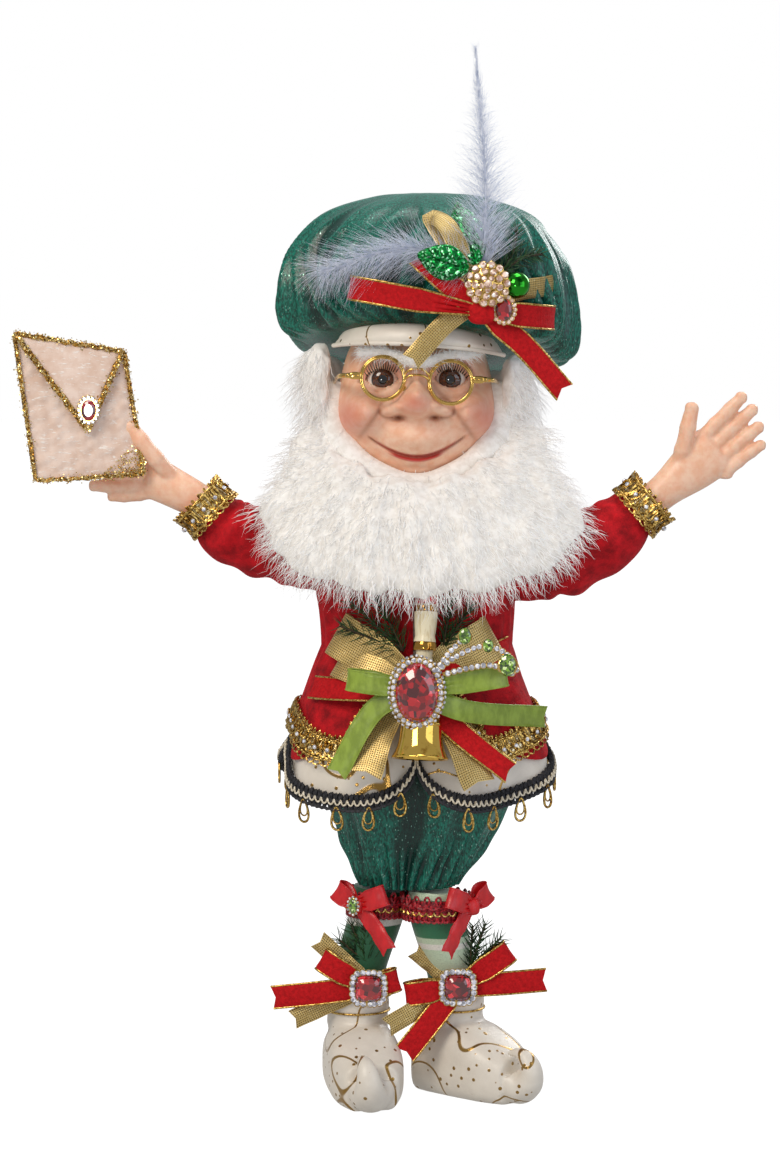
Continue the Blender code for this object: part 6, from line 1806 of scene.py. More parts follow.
def jewel(
    centre: Points, half_x: float, half_z: float, facing: Points, squareness: float, stone: float, count: int,
    slots: tuple[int, int, int],
) -> list[Surface]:
    """A large cut stone on a plate, with a row of small stones round it.

    Args:
        centre: the middle of its back.
        half_x: half its outer width.
        half_z: half its outer height.
        facing: the direction it looks in.
        squareness: 2 for an oval and 4 for a rounded square.
        stone: the radius of the small stones.
        count: how many of them.
        slots: the slots of the large stone, the small stones and the metal.

    Returns:
        the surfaces.
    """
    axes = facing_axes(facing, 1)
    inner = (half_x - 2 * stone, half_z - 2 * stone)
    gem = copies(cut_stone(*inner, min(inner) * 0.55, 16, squareness),
                 np.asarray(centre, float)[None] + axes[:, 2] * 0.8, axes, 1.0, slots[0])
    row = oval(centre, half_x - stone, half_z - stone, count, facing, squareness)
    plate = lathe([(0.98, -0.3), (1.0, 0.5), (0.9, 0.9)], 32, np.zeros(3), UPWARD)
    plate.points = plate.points * (half_x - stone, half_z - stone, 1.0)
    return [gem, *set_row(row + unit(np.asarray(facing, float)) * 0.5, facing, stone, (slots[1], slots[2])),
            copies(plate, np.asarray(centre, float)[None], axes, 1.0, slots[2])]


def pine(base: Points, tip: Points, bend: Points, needles: int, length: float,
         random: np.random.Generator) -> list[Surface]:
    """A sprig: a bent stem, and needles that leave it in a spiral, leaning towards its tip.

    Args:
        base: where the stem starts.
        tip: where it ends.
        bend: how far its middle is pushed aside.
        needles: how many needles.
        length: a needle's length.
        random: the source of their small differences.

    Returns:
        the needles and the stem.
    """
    base, tip = np.asarray(base, float), np.asarray(tip, float)
    stem = smooth_path([base, (base + tip) / 2 + bend, tip], 24)
    at = np.linspace(0.04, 1.0, needles)
    roots = stem[(at * 23).astype(int)]
    ahead = tangents_of(stem)[(at * 23).astype(int)]
    side, rise = unit(np.cross(ahead, FORWARD)), FORWARD
    turn = np.arange(needles) * 2.4 + random.normal(0, 0.3, needles)
    out = np.cos(turn)[:, None] * side + 0.55 * np.sin(turn)[:, None] * rise
    lean = random.uniform(0.5, 1.0, needles)[:, None]
    way = unit(out + ahead * lean)
    t = np.linspace(0, 1, 4)[None, :, None]
    reach = (length * random.uniform(0.7, 1.1, needles) * (1 - 0.35 * at))[:, None, None]
    curves = roots[:, None] + way[:, None] * t * reach + ahead[:, None] * t**2 * 1.4
    return [strands(curves, 0.3), tube(stem, 0.5, 6, slot=1)]


@dataclass
class Hat(Assembly):
    """The gathered hat with its brim, bows, leaves, pine, jewels and feather."""

    velvet: Weave = Weave(9.0)
    mesh: Weave = Weave(8.0, 0.35, 0, None, ripples=0.3)
    crown_grid: tuple[int, int] = (80, 380)
    brim_grid: tuple[int, int] = (24, 80)

    def build(self) -> None:
        """Builds the hat from its cloth to its feather."""
        self.crown()
        self.brim()
        self.bows()
        self.jewels()
        self.leaves()
        self.feather()

    def crown(self) -> bpy.types.Object:
        """The crown: HAT_LEVELS turned round an ellipse, the radius waved by deep and by fine gathers."""
        rows, columns = self.crown_grid
        t = np.linspace(0, len(HAT_LEVELS) - 1, rows)
        level = smooth_path(HAT_LEVELS, rows)
        share, height, gather = (np.clip(level[:, k], 0, None)[:, None] for k in range(3))
        phi = np.linspace(0, TAU, columns, endpoint=False)[None, :]
        drift = phi + 0.10 * np.sin(t[:, None] * 1.1 + 3 * phi) + 0.05 * np.sin(t[:, None] * 2.3 + 7 * phi)
        fine = 0.048 * np.sin(30 * drift) + 0.016 * np.sin(57 * drift + 2 * np.sin(5 * phi))
        low_gather = 0.45 + 0.55 * np.exp(-(((height - 0.15) / 0.35) ** 2))
        fold = 1 + gather * 0.045 * (np.sin(8 * phi) + 0.4 * np.sin(3 * phi + 1)) + gather * fine * low_gather
        x = HAT_CENTRE[0] + HAT_HALF[0] * share * fold * np.sin(phi)
        y = HAT_CENTRE[1] - HAT_HALF[1] * share * fold * np.cos(phi)
        low = hat_under(x, y) - 45 * np.maximum(share - 0.8, 0) * (1 - height) * (1 - np.cos(phi)) / 2
        low = low - 22 * np.maximum(share - 0.8, 0) * np.maximum(np.sin(phi) - 0.3, 0) * (1 - height)
        dent = 1.1 * np.sin(5 * phi + 4 * share + 1) * np.clip(height - 0.5, 0, 1) * np.clip(1.1 - height, 0,
                                                                                             1) * 4
        z = low + (HAT_TOP - low) * height + dent * share
        # painted shade darkens the crown's gathers
        cloth = loft(np.stack([x, y, z], axis=-1)).painted(fold_shade_shares(fold, 0.05))
        return self.piece("hat_crown", [cloth], ["brocade"], "green_brocade", sharp=85)

    def brim(self) -> bpy.types.Object:
        """The padded visor: an arc whose depth follows 0.35 + 0.65 cos, and its corded edge."""
        rows, columns = self.brim_grid
        a = np.linspace(math.radians(-64), math.radians(60), columns)[None, :]
        down = np.linspace(0, 1, rows)[:, None]
        x = 1.5 + (34.0 + 4.0 * down) * np.sin(a)
        y = 2.0 - (37.5 + 4.0 * down + 1.0 * np.sin(math.pi * down)) * np.cos(a)
        z = hat_under(x, y) - 1.3 - 9.0 * down * (0.35 + 0.65 * np.cos(a)) + 0 * a
        grid = np.stack([x, y, z], axis=-1)
        hem = tube(grid[-1], 0.9, 10, up=FORWARD, slot=0)
        return self.piece("hat_brim", [shell(grid, 2.6, power=4), hem], ["cream"], "cream_satin", sharp=80)

    def bows(self) -> None:
        """The velvet bow over gold mesh ribbon, on the front of the crown."""
        x, z = TRIM_X, TRIM_Z
        knot = hat_front([(x, z, 5.2)])[0]
        parts = [blob(knot, (5.2, 3.0, 5.2), 0.08)]
        parts += laid_loop(hat_front, (x, z), (x - 51, z + 9), 2.9, 4.6, self.velvet)
        parts += laid_loop(hat_front, (x, z), (x + 29, z - 3), 2.9, 5.5, self.velvet)
        parts += laid_ribbon(hat_front, [(x, z, 5.6), (x - 12, z + 10, 5.2), (x - 24, z + 21, 3.4)],
                             self.velvet)
        tail = smooth_path([knot, hat_front([(x + 16, z - 13, 6.8)])[0], (x + 32, knot[1] + 9, z - 31)], 40)
        parts += ribbon(tail, (0.5, -1.0, 0.0), self.velvet, notch=2.0)
        self.piece("hat_bow", parts, ["ribbon", "thread"], "red_velvet", sharp=60)
        x, z = x + 1, z + 5
        parts = [blob(hat_front([(x, z, 1.6)])[0], (4.5, 1.2, 4.5), 0.08)]
        for points in ([(x, z, 1.6), (x - 10, z + 16, 2.2), (x - 19, z + 30, 2.2)],
                       [(x, z, 1.6), (x + 15, z + 3, 2.4), (x + 29, z + 5, 2.0)],
                       [(x, z, 1.6), (x - 14, z - 9, 2.4), (x - 28, z - 24, 3.8)]):
            parts += laid_ribbon(hat_front, points, self.mesh)
        curl = [(x - 2, z + 2, 2.0), (x - 16, z + 24, 2.4), (x - 20, z + 31, 4.4), (x - 14, z + 27, 6.2),
                (x - 4, z + 8, 5.0)]
        parts += laid_ribbon(hat_front, curl, self.mesh)
        self.piece("hat_mesh_ribbon", parts, ["mesh"], "gold_mesh", sharp=60)

    def jewels(self) -> None:
        """The rosette of stones, the shiny bauble and the oval jewel."""
        at = hat_front([(TRIM_X + 2.2, TRIM_Z + 10.5, 7.0)])[0]
        parts = [lathe([(8.0, 0), (8.2, 0.8), (5.0, 2.6), (1.5, 3.6)], 32, at, FORWARD, slot=1)]
        for ring, count, out, size in ((7.2, 14, 1.6, 1.45), (4.6, 9, 2.9, 1.4), (2.2, 5, 3.9, 1.15)):
            turn = np.linspace(0, TAU, count, endpoint=False) + ring
            around = np.stack([np.cos(turn), 0 * turn, np.sin(turn)], axis=-1)
            parts += set_row(at + around * ring + FORWARD * out, unit(around * 0.45 + FORWARD), size)
        parts += set_row(at[None] + FORWARD * 4.4, FORWARD, 1.7)
        self.piece("hat_brooch", parts, ["blush_stone", "gilt"], "rhinestones", sharp=20)
        at = hat_front([(TRIM_X + 13.5, TRIM_Z + 10.0, 8.0)])[0]
        angle = np.linspace(0.02, math.pi - 0.2, 40)
        ball = lathe([(5.2 * math.sin(a), -5.2 * math.cos(a)) for a in angle], 48, at, (0.2, -0.9, 0.3))
        cap = lathe([(1.8, 4.6), (1.8, 5.6), (1.2, 5.9)], 20, at, (0.2, 0.9, 0.3), slot=1)
        self.piece("hat_bauble", [ball, cap], ["bauble", "gilt"], "green_bauble", sharp=40)
        at = hat_front([(TRIM_X + 8.6, TRIM_Z + 0.5, 8.0)])[0]
        self.piece("hat_jewel", jewel(at, 5.0, 6.0, FORWARD, 2.0, 0.85, 16, (0, 1, 2)),
                   ["ruby", "blush_stone", "gilt"],
                   "red_gem", sharp=20)

    def leaf(self, name: str, base: Points, tip: Points, half: float) -> None:
        """A pointed, domed leaf: half its width follows sin(pi t^0.85)^0.8, and its veins are pressed in.

        Args:
            name: the piece's name.
            base: its foot as (x, z, out).
            tip: its point as (x, z, out).
            half: half its width.
        """
        base, tip = hat_front([base])[0], hat_front([tip])[0]
        t = np.linspace(0.01, 0.99, 60)[:, None]
        s = np.linspace(-1, 1, 41)[None, :]
        along = tip - base
        across = unit(np.cross(along, FORWARD))
        normal = unit(np.cross(across, along))
        normal = normal * np.sign(normal @ FORWARD)
        wide = half * np.sin(math.pi * t**0.85) ** 0.8 + 0.1
        vein = 0.35 * np.sin(34 * (t - 0.22 * np.abs(s))) * (np.abs(s) > 0.08)
        dome = 2.6 * np.sin(math.pi * t) ** 0.7 * (1 - 0.8 * s**2) - 0.9 * np.exp(-((s / 0.07) ** 2)) + vein
        grid = base + along * t[..., None] + across * (wide * s)[..., None] + normal * (dome + 1.2)[..., None]
        vein_tube = tube(base + along * t + normal * 2.0, 0.3, 6, slot=0)
        self.piece(name, [shell(grid, 0.9, power=8), vein_tube], ["leaf"], "green_glitter", sharp=60)

    def leaves(self) -> None:
        """Two glittered leaves and the pine behind the brooch."""
        x, z = TRIM_X, TRIM_Z
        self.leaf("hat_leaf_upper", (x - 2, z + 17, 5.6), (x - 9, z + 41, 5.0), 7.2)
        self.leaf("hat_leaf_lower", (x - 5, z + 16, 6.8), (x - 25, z + 22, 7.0), 6.8)
        parts = []
        for tip, bend in (((x + 14, z + 32, 5.0), (2, 0, 0)), ((x + 24, z + 22, 4.0), (0, 0, 3)),
                          ((x + 3, z + 30, 5.0), (0, 0, 0))):
            start, end = hat_front([(x + 6, z + 12, 4.2), tip])
            parts += pine(start, end, np.asarray(bend, float), 56, 8.5, self.random)
        self.piece("hat_pine", parts, ["needle", "stem"], "pine_needles", weld=False)

    def plume(self, quill: Points, reach: Points, count: int, sag: float) -> list[Surface]:
        """Down along a quill: fine barbs leave both sides and all round, longest low down, and drift aside.

        Args:
            quill: the quill's centre line.
            reach: the barbs' length at its start, middle and end.
            count: how many barbs.
            sag: how far the barbs droop.

        Returns:
            the barbs and the quill.
        """
        at = self.random.uniform(0.0, 1.0, count) ** 1.15
        place = at * (len(quill) - 1)
        i = np.minimum(place.astype(int), len(quill) - 2)
        roots = quill[i] + (quill[i + 1] - quill[i]) * (place - i)[:, None]
        ahead = tangents_of(quill)[i]
        side = unit(np.cross(ahead, FORWARD))
        turn = self.random.uniform(0, TAU, count)
        out = np.cos(turn)[:, None] * side + 0.45 * np.sin(turn)[:, None] * FORWARD
        way = unit(out + ahead * self.random.uniform(0.5, 1.6, count)[:, None])
        length = np.interp(at, (0, 0.5, 1), reach) * self.random.uniform(0.55, 1.25, count)
        t = np.linspace(0, 1, 6)[None, :, None]
        sway = np.stack([np.sin(5 * at + turn), 0.3 * np.cos(7 * at + turn), np.sin(9 * at + 2 * turn)],
                        axis=-1)
        curves = (roots[:, None] + way[:, None] * t * length[:, None, None] + sway[:, None] * t**2 * 3.0
                  + (0, 0, -sag) * t**2)
        return [strands(curves, 0.075), tube(quill, np.linspace(0.45, 0.12, len(quill)), 6)]

    def feather(self) -> None:
        """The marabou plume: one quill upright, and one that lies over the hat to the right."""
        foot = hat_front([(TRIM_X + 1, TRIM_Z + 16, 3.4)])[0]
        top = np.array((TRIM_X - 2.5, foot[1] + 6, 418.0))
        upright = smooth_path([foot, (foot + top) / 2 + (2, -4, -6), top], 50)
        sweep = hat_front(smooth_path([(TRIM_X + 1, TRIM_Z + 16, 3.4), (TRIM_X - 30, TRIM_Z + 24, 5.0),
                                       (TRIM_X - 62, TRIM_Z + 15, 6.0)], 50))
        parts = self.plume(upright, np.array((17.0, 12.0, 2.0)), 1500, 0.0)
        parts += self.plume(sweep, np.array((14.0, 19.0, 12.0)), 1300, 3.5)
        self.piece("hat_feather", parts, ["down"], "white_feather", weld=False)


# Thread work


@dataclass(frozen=True)
class Run:
    """One run of looped thread on an edge: it starts across the edge at rise, and lies out from the cloth.

    Its loops are pitch apart and height tall. They swing sideways by lean, and past pitch / 2 pi they cross.
    """

    rise: float
    out: float
    pitch: float
    height: float
    radius: float
    lean: float
    slot: int = 0
    samples: int = 16


def gimp(lay: Callable[[Points, Points, float], Points], length: float, run: Run) -> Surface:
    """Looped thread along an edge: (s, t) = (pitch a / 2 pi + lean sin a, rise + height (1 - cos a) / 2).

    Args:
        lay: turns distances along, across and out from the edge into points.
        length: the edge's length.
        run: how the thread is laid.

    Returns:
        the thread.
    """
    turns = max(int(length / run.pitch), 1)
    a = np.linspace(0, TAU * turns, turns * run.samples)
    s = length * a / (TAU * turns) + run.lean * np.sin(a)
    path = lay(s, run.height * (1 - np.cos(a)) / 2 + run.rise, run.out)
    return tube(path, run.radius, 4, up=np.array((0.21, -0.35, 0.91)), slot=run.slot)


@dataclass
class Clothes(Assembly):
    """The body's clothes: coat, lace, collar, sleeves, cuffs, underskirt and braid."""

    neck_z: float = 236.0
    hem_z: float = 139.5
    hem_rise: float = 10.5
    collar_z: float = 237.0
    skirt_top: float = 178.0
    skirt_hem_z: float = 142.0
    lobe_drop: float = 20.0
    lace_pitch: float = 6.4
    drops: int = 26
    coat_grid: tuple[int, int] = (70, 220)
    collar_grid: tuple[int, int] = (26, 180)
    skirt_grid: tuple[int, int] = (40, 250)
    sleeve_grid: tuple[int, int] = (110, 88)
    cuff_girth: float = 11.0
    cuff_half: float = 4.75
    arms: dict[str, tuple[tuple, tuple]] = field(default_factory=lambda: {
        "right": (((-30, 1, 211), (-47, 0, 218.5), (-62, -2, 223.5), (-74, -4, 229.5), (-81, -5, 235.6),
                   (-86, -5, 240.3)),
                  (9.6, 12.4, 13.0, 13.8, 9.2, 8.4)),
        "left": (((30, 1, 208), (47, 0, 214), (60, -2, 218.5), (75, -3, 226.5), (87, -5, 236.2),
                  (93, -5, 241.2)),
                 (9.8, 13.4, 15.4, 15.0, 9.4, 8.4))})

    def hem(self, phi: Points) -> Points:
        """The coat's hem: level, with a rounded corner low on each side of the front."""
        turn = np.abs((phi + math.pi) % TAU - math.pi)
        return self.hem_z + self.hem_rise * (1 - np.exp(-(((turn - 0.62) / 0.5) ** 2)))

    def opening(self, z: Points) -> Points:
        """Half the angle of the coat's front opening at height z."""
        share = np.clip((WAIST_Z - z) / SKIRT_DROP, 0, 1)
        return math.radians(2.0) + math.radians(30) * share**1.6

    def skirt_hem(self, phi: Points) -> Points:
        """The underskirt's hem: two rounded lobes in front and two behind.

        Args:
            phi: the angle from the front.

        Returns:
            the height of the hem.
        """
        turn = np.abs((phi + math.pi) % TAU - math.pi) / math.pi * 2
        share = np.where(turn <= 1, turn, 2 - turn)
        return self.skirt_hem_z - self.lobe_drop * np.maximum(np.sin(math.pi * share**0.6), 0) ** 0.8

    def skirt_point(self, phi: Points, z: Points, out: Points | float = 0.0) -> Points:
        """A point on the underskirt, inside the coat and drawn in at the middle of the front.

        Args:
            phi: the angle from the front.
            z: the height.
            out: how far off the satin.

        Returns:
            the point or points, in millimetres.
        """
        turn = (phi + math.pi) % TAU - math.pi
        valley = 7.0 * np.clip((WAIST_Z - z) / SKIRT_DROP, 0, 1) * np.exp(-((turn / 0.24) ** 2))
        return body_point(phi, z, out - 2.6 - valley)

    def build(self) -> None:
        """Builds the clothes from the body outwards."""
        self.torso()
        self.underskirt()
        self.coat()
        self.collar()
        for side in ("right", "left"):
            self.sleeve(side)
            self.cuff(side)

    def torso(self) -> None:
        """The stuffed body, almost all of it inside the coat."""
        z = np.array((160.5, 170, 177, 190, 206, 215, 224, 232, 236, 248.4))
        inset = np.interp(z, (160.5, 177, 206, 224, 232), (9.0, 4.0, 2.6, 3.0, 3.0))
        wide, deep = radii_at(np.maximum(z, WAIST_Z))
        wide, deep = np.where(z > 234, 10.5, wide - inset), np.where(z > 234, 10.5, deep - inset)
        levels = smooth_path(np.stack([wide, deep, z], axis=1), 60)
        phi = np.linspace(0, TAU, 96, endpoint=False)
        rings = np.stack([levels[:, :1] * np.sin(phi), -levels[:, 1:2] * np.cos(phi),
                          levels[:, 2:] + 0 * phi], axis=-1)
        made = self.piece("torso", [loft(rings[::-1])], ["muslin"], "stuffed_muslin")

    def coat(self) -> None:
        """The velvet coat: body_point's six folds, finer creases at the waist, and lace on the edges."""
        rows, columns = self.coat_grid
        turn = np.linspace(0, TAU, columns)[None, :]
        share = np.linspace(0, 1, rows)[:, None]
        z = self.neck_z + (self.hem(turn) - self.neck_z) * share
        opening = self.opening(z)
        phi = opening + (TAU - 2 * opening) * (turn / TAU)
        crease = 0.5 * np.sin(23 * phi + 3 * np.sin(0.09 * z)) * np.exp(-(((z - 186) / 14) ** 2))
        crease = crease + 0.8 * ripple(body_point(phi, z), 26.0) * step_up(z, 150, 200)
        grid = body_point(phi, z, -0.8 + crease)
        made = self.piece("coat", [shell(grid, 1.4)], ["velvet"], "red_velvet", sharp=80)
        self.lace(*self.edge_path())

    def edge_path(self) -> tuple[Points, Points]:
        """The coat's edge as angles and heights: up the right front, round the hem and up the left front.

        Returns:
            the angles and the heights.
        """
        level = np.linspace(166.0, 146.0, 30)
        start = float(self.opening(np.array(143.0)))
        phi = np.linspace(start + 0.02, TAU - start - 0.02, 420)
        angles = np.concatenate([self.opening(level) + 0.01, phi, TAU - self.opening(level[::-1]) - 0.01])
        heights = np.concatenate([level, self.hem(phi) + 0.4, level[::-1]])
        return angles, heights

    def lace(self, angles: Points, heights: Points) -> None:
        """Gold lace: runs of looped thread between two cords, with a stone in each large loop.

        Args:
            angles: the angle of each point of the edge, from the front towards +X.
            heights: its height.
        """
        line = body_point(angles, heights, 0.0)
        length = arc_lengths(line)
        turn = np.gradient(angles) * radii_at(heights)[0]
        drop = np.gradient(heights)
        size = np.hypot(turn, drop) + TINY
        kernel = np.ones(13) / 13
        inward = np.stack([-drop / size, turn / size], axis=1)
        inward = np.stack([np.convolve(np.pad(inward[:, k], 6, mode="edge"), kernel,
                                       "valid") for k in range(2)], axis=1)

        def lay(s: Points, t: Points, out: float = 1.5) -> Points:
            """The point s along the edge and t in from it, out millimetres from the cloth.

            Args:
                s: the distance along.
                t: the distance across.
                out: how far off the cloth.

            Returns:
                the point or points, in millimetres.
            """
            a, h = (np.interp(s, length, p) for p in (angles, heights))
            da, dh = (np.interp(s, length, inward[:, k]) for k in range(2))
            return body_point(a + da * t / radii_at(h)[0], h + dh * t, out + 0.25 * np.sin(s * 2.9))

        whole = float(length[-1])
        parts = [gimp(lay, whole, run) for run in (
            Run(0.4, 1.5, self.lace_pitch, 9.4, 0.46, 2.6), Run(2.0, 2.1, 3.9, 6.4, 0.38, 1.5),
            Run(-1.4, 1.4, 3.2, 3.4, 0.34, 1.1), Run(7.6, 1.9, 3.2, 3.0, 0.34, 1.2))]
        for across, radius in ((1.2, 0.55), (8.6, 0.5), (5.0, 0.42)):
            s = np.linspace(0, whole, 900)
            parts.append(tube(lay(s, np.full(900, across), 2.0), radius * (1 + 0.2 * np.sin(s * 4.2)), 6,
                              slot=0))
        s = np.arange(3.0, whole, self.lace_pitch)
        at = lay(s, np.full(len(s), 5.0), 2.9)
        parts += set_row(at, unit(at * (1.0, 1.3, 0.0)), 0.95, (1, 0))
        backing = np.stack([lay(np.linspace(0, whole, 500), np.full(500, t),
                                0.9) for t in np.linspace(0.6, 9.2, 7)])
        parts.append(shell(backing, 0.7, slot=2))
        self.piece("coat_lace", parts, ["thread", "stone", "gold_cloth"], "gold_lace", sharp=60)

    def collar(self) -> None:
        """The pointed collar on the shoulders, deepest in front, with a corded edge."""
        rows, columns = self.collar_grid
        phi = np.linspace(0, TAU, columns, endpoint=False)[None, :]
        down = np.linspace(0, 1, rows)[:, None]
        tip = self.collar_z - 12.5 - 17.5 * ((1 + np.cos(phi)) / 2) ** 4
        z = self.collar_z + (tip - self.collar_z) * down
        out = 2.4 + 0.35 * np.sin(19 * phi + 2) * down + 0.5 * ripple(body_point(phi, z), 17.0, 3.0)
        grid = body_point(phi, z, out)
        edge = tube(grid[-1], 0.65, 8, closed=True, up=UPWARD, slot=0)
        made = self.piece("collar", [shell(grid, 1.0, around=True), edge], ["gold_cloth"], "gold_fabric",
                          sharp=70)

    def underskirt(self) -> None:
        """The satin underskirt with soft pleats, and the braid on its scalloped hem."""
        rows, columns = self.skirt_grid
        phi = np.linspace(0, TAU, columns, endpoint=False)[None, :]
        share = np.linspace(0, 1, rows)[:, None]
        z = self.skirt_top + (self.skirt_hem(phi) - self.skirt_top) * share
        pleat = 0.7 * np.sin(18 * phi + 1.5 * np.sin(3 * phi)) * share**2
        grid = self.skirt_point(phi, z, pleat - 0.6)
        made = self.piece("underskirt", [shell(grid, 1.0, around=True)], ["cream"], "cream_satin", sharp=70)
        self.braid()

    def braid(self) -> None:
        """Black gimp in two plaited rows with a cream cord between them, and gold drops that hang below."""
        angle = np.linspace(0, TAU, 1200, endpoint=False)
        line = self.skirt_point(angle, self.skirt_hem(angle), 1.6)
        length = arc_lengths(np.concatenate([line, line[:1]]))
        whole = float(length[-1])
        full = np.append(angle, TAU)

        def lay(s: Points, t: Points, out: float = 1.9) -> Points:
            """The point s along the hem and t above its lower edge, out millimetres from the cloth.

            Args:
                s: the distance along.
                t: the distance across.
                out: how far off the cloth.

            Returns:
                the point or points, in millimetres.
            """
            a = np.interp(np.clip(s, 0, whole), length, full)
            return self.skirt_point(a, self.skirt_hem(a) + t - 0.9, out)

        parts = [gimp(lay, whole, run) for run in (
            Run(0.0, 2.0, 2.1, 3.0, 0.68, 0.85, 0, 10), Run(0.0, 1.3, 2.9, 3.0, 0.68, 1.0, 0, 10),
            Run(3.4, 2.0, 2.1, 3.0, 0.68, 0.85, 0, 10), Run(3.4, 1.3, 2.9, 3.0, 0.68, 1.0, 0, 10),
            Run(2.3, 3.0, 2.6, 2.0, 0.42, 0.3, 1, 12))]
        turn = np.linspace(0, TAU, 30, endpoint=False)
        down = (1 - np.cos(turn)) / 2
        for a in (np.arange(self.drops) + 0.5) * TAU / self.drops:
            at = np.array(a)
            root = self.skirt_point(at, self.skirt_hem(at) + 0.4, 2.2)
            low_edge = np.array(120.0)
            along = unit(self.skirt_point(at + 0.03, low_edge) - self.skirt_point(at, low_edge))
            swing = 0.6 * math.sin(a * 7)
            for size, radius in ((1.0, 0.52), (0.72, 0.34)):
                path = root + np.outer(2.5 * size * np.sin(turn) * (0.45 + 0.75 * down) + swing * down, along)
                path = path - np.outer(9.0 * size * down, UPWARD)
                parts.append(tube(path, radius, 6, up=unit(np.cross(along, UPWARD)), closed=True, slot=2))
        self.piece("hem_braid", parts, ["black", "cream_cord", "thread"], "black_braid", sharp=60)

    def sleeve(self, side: str) -> None:
        """A padded velvet sleeve: a tube with cross folds that crowd together at the elbow and the cuff.

        Args:
            side: right or left.
        """
        path, radii = self.arms[side]
        steps, count = self.sleeve_grid
        line = smooth_path(path, steps)
        share = np.linspace(0, 1, steps)
        girth = np.interp(share, np.linspace(0, 1, len(radii)), radii)
        girth = np.convolve(np.pad(girth, 9, mode="edge"), np.ones(19) / 19, "valid")
        ahead = tangents_of(line)
        across = unit(np.cross(ahead, UPWARD))
        rise = np.cross(across, ahead)
        turn = np.linspace(0, TAU, count, endpoint=False)[None, :]
        s = share[:, None]
        fold = 0.05 * np.sin(24 * s + 2.2 * np.sin(turn) + 1.2 * np.sin(2 * turn + 9 * s))
        gather = 0.05 * step_up(s, 0.78, 1.0) * np.sin(13 * turn)
        fold = fold + 0.022 * np.sin(47 * s + 3.0 * np.cos(turn + 5 * s)) + gather
        ease = np.sin(math.pi * np.clip(s, 0.02, 1.0) ** 0.8) ** 0.3 * (1 + 0 * turn)
        reach = girth[:, None] * (1 + fold * np.clip(ease + 0.35, 0, 1))
        rings = rings_round(line, across, rise, turn, reach)
        made = self.piece(f"sleeve_{side}", [loft(rings)], ["velvet"], "red_velvet", sharp=85)

    def cuff(self, side: str) -> None:
        """The lace cuff: looped gold thread round a flared band, a stone at each scallop.

        Args:
            side: right or left.
        """
        path = np.asarray(self.arms[side][0], float)
        ahead = unit(path[-1] - path[-2])
        centre = path[-1] - ahead * 2.9
        across = unit(np.cross(ahead, (0.0, 1.0, 0.0)))
        rise = np.cross(across, ahead)

        def lay(s: Points, t: Points, out: float = 0.0) -> Points:
            """The point s round the wrist and t along it, on a band flared at both edges in nine scallops.

            Args:
                s: the distance along.
                t: the distance across.
                out: how far off the cloth.

            Returns:
                the point or points, in millimetres.
            """
            a = np.asarray(s) / self.cuff_girth
            radius = 10.6 + out + 1.1 * np.abs(t / self.cuff_half - 1) ** 2 + 0.35 * np.sin(9 * a)
            return (centre + ahead * (np.asarray(t) - self.cuff_half)[..., None]
                    + radius[..., None] * (np.cos(a)[..., None] * across + np.sin(a)[..., None] * rise))

        whole = TAU * self.cuff_girth
        parts = [gimp(lay, whole, run) for run in (
            Run(-0.6, 0.5, 5.75, 10.6, 0.5, 2.3), Run(1.6, 0.9, 3.45, 6.4, 0.4, 1.4),
            Run(-1.2, 0.2, 2.9, 2.6, 0.34, 1.0), Run(8.0, 0.2, 2.9, 2.6, 0.34, 1.0))]
        s = np.linspace(0, whole, 240, endpoint=False)
        for across_at in (0.8, 8.8):
            parts.append(tube(lay(s, np.full(240, across_at), 0.6), 0.55, 6, closed=True, up=ahead, slot=0))
        rows = np.stack([lay(s[::3], np.full(80, t), -0.3) for t in np.linspace(0.2, 9.3, 7)])
        parts.append(shell(rows, 0.8, around=True, slot=2))
        at = lay(np.arange(12) * whole / 12, np.full(12, 4.8), 1.6)
        parts += set_row(at, unit(at - centre), 0.95, (1, 0))
        self.piece(f"cuff_{side}", parts, ["thread", "stone", "gold_cloth"], "gold_lace", sharp=60)


# Hands and what they hold


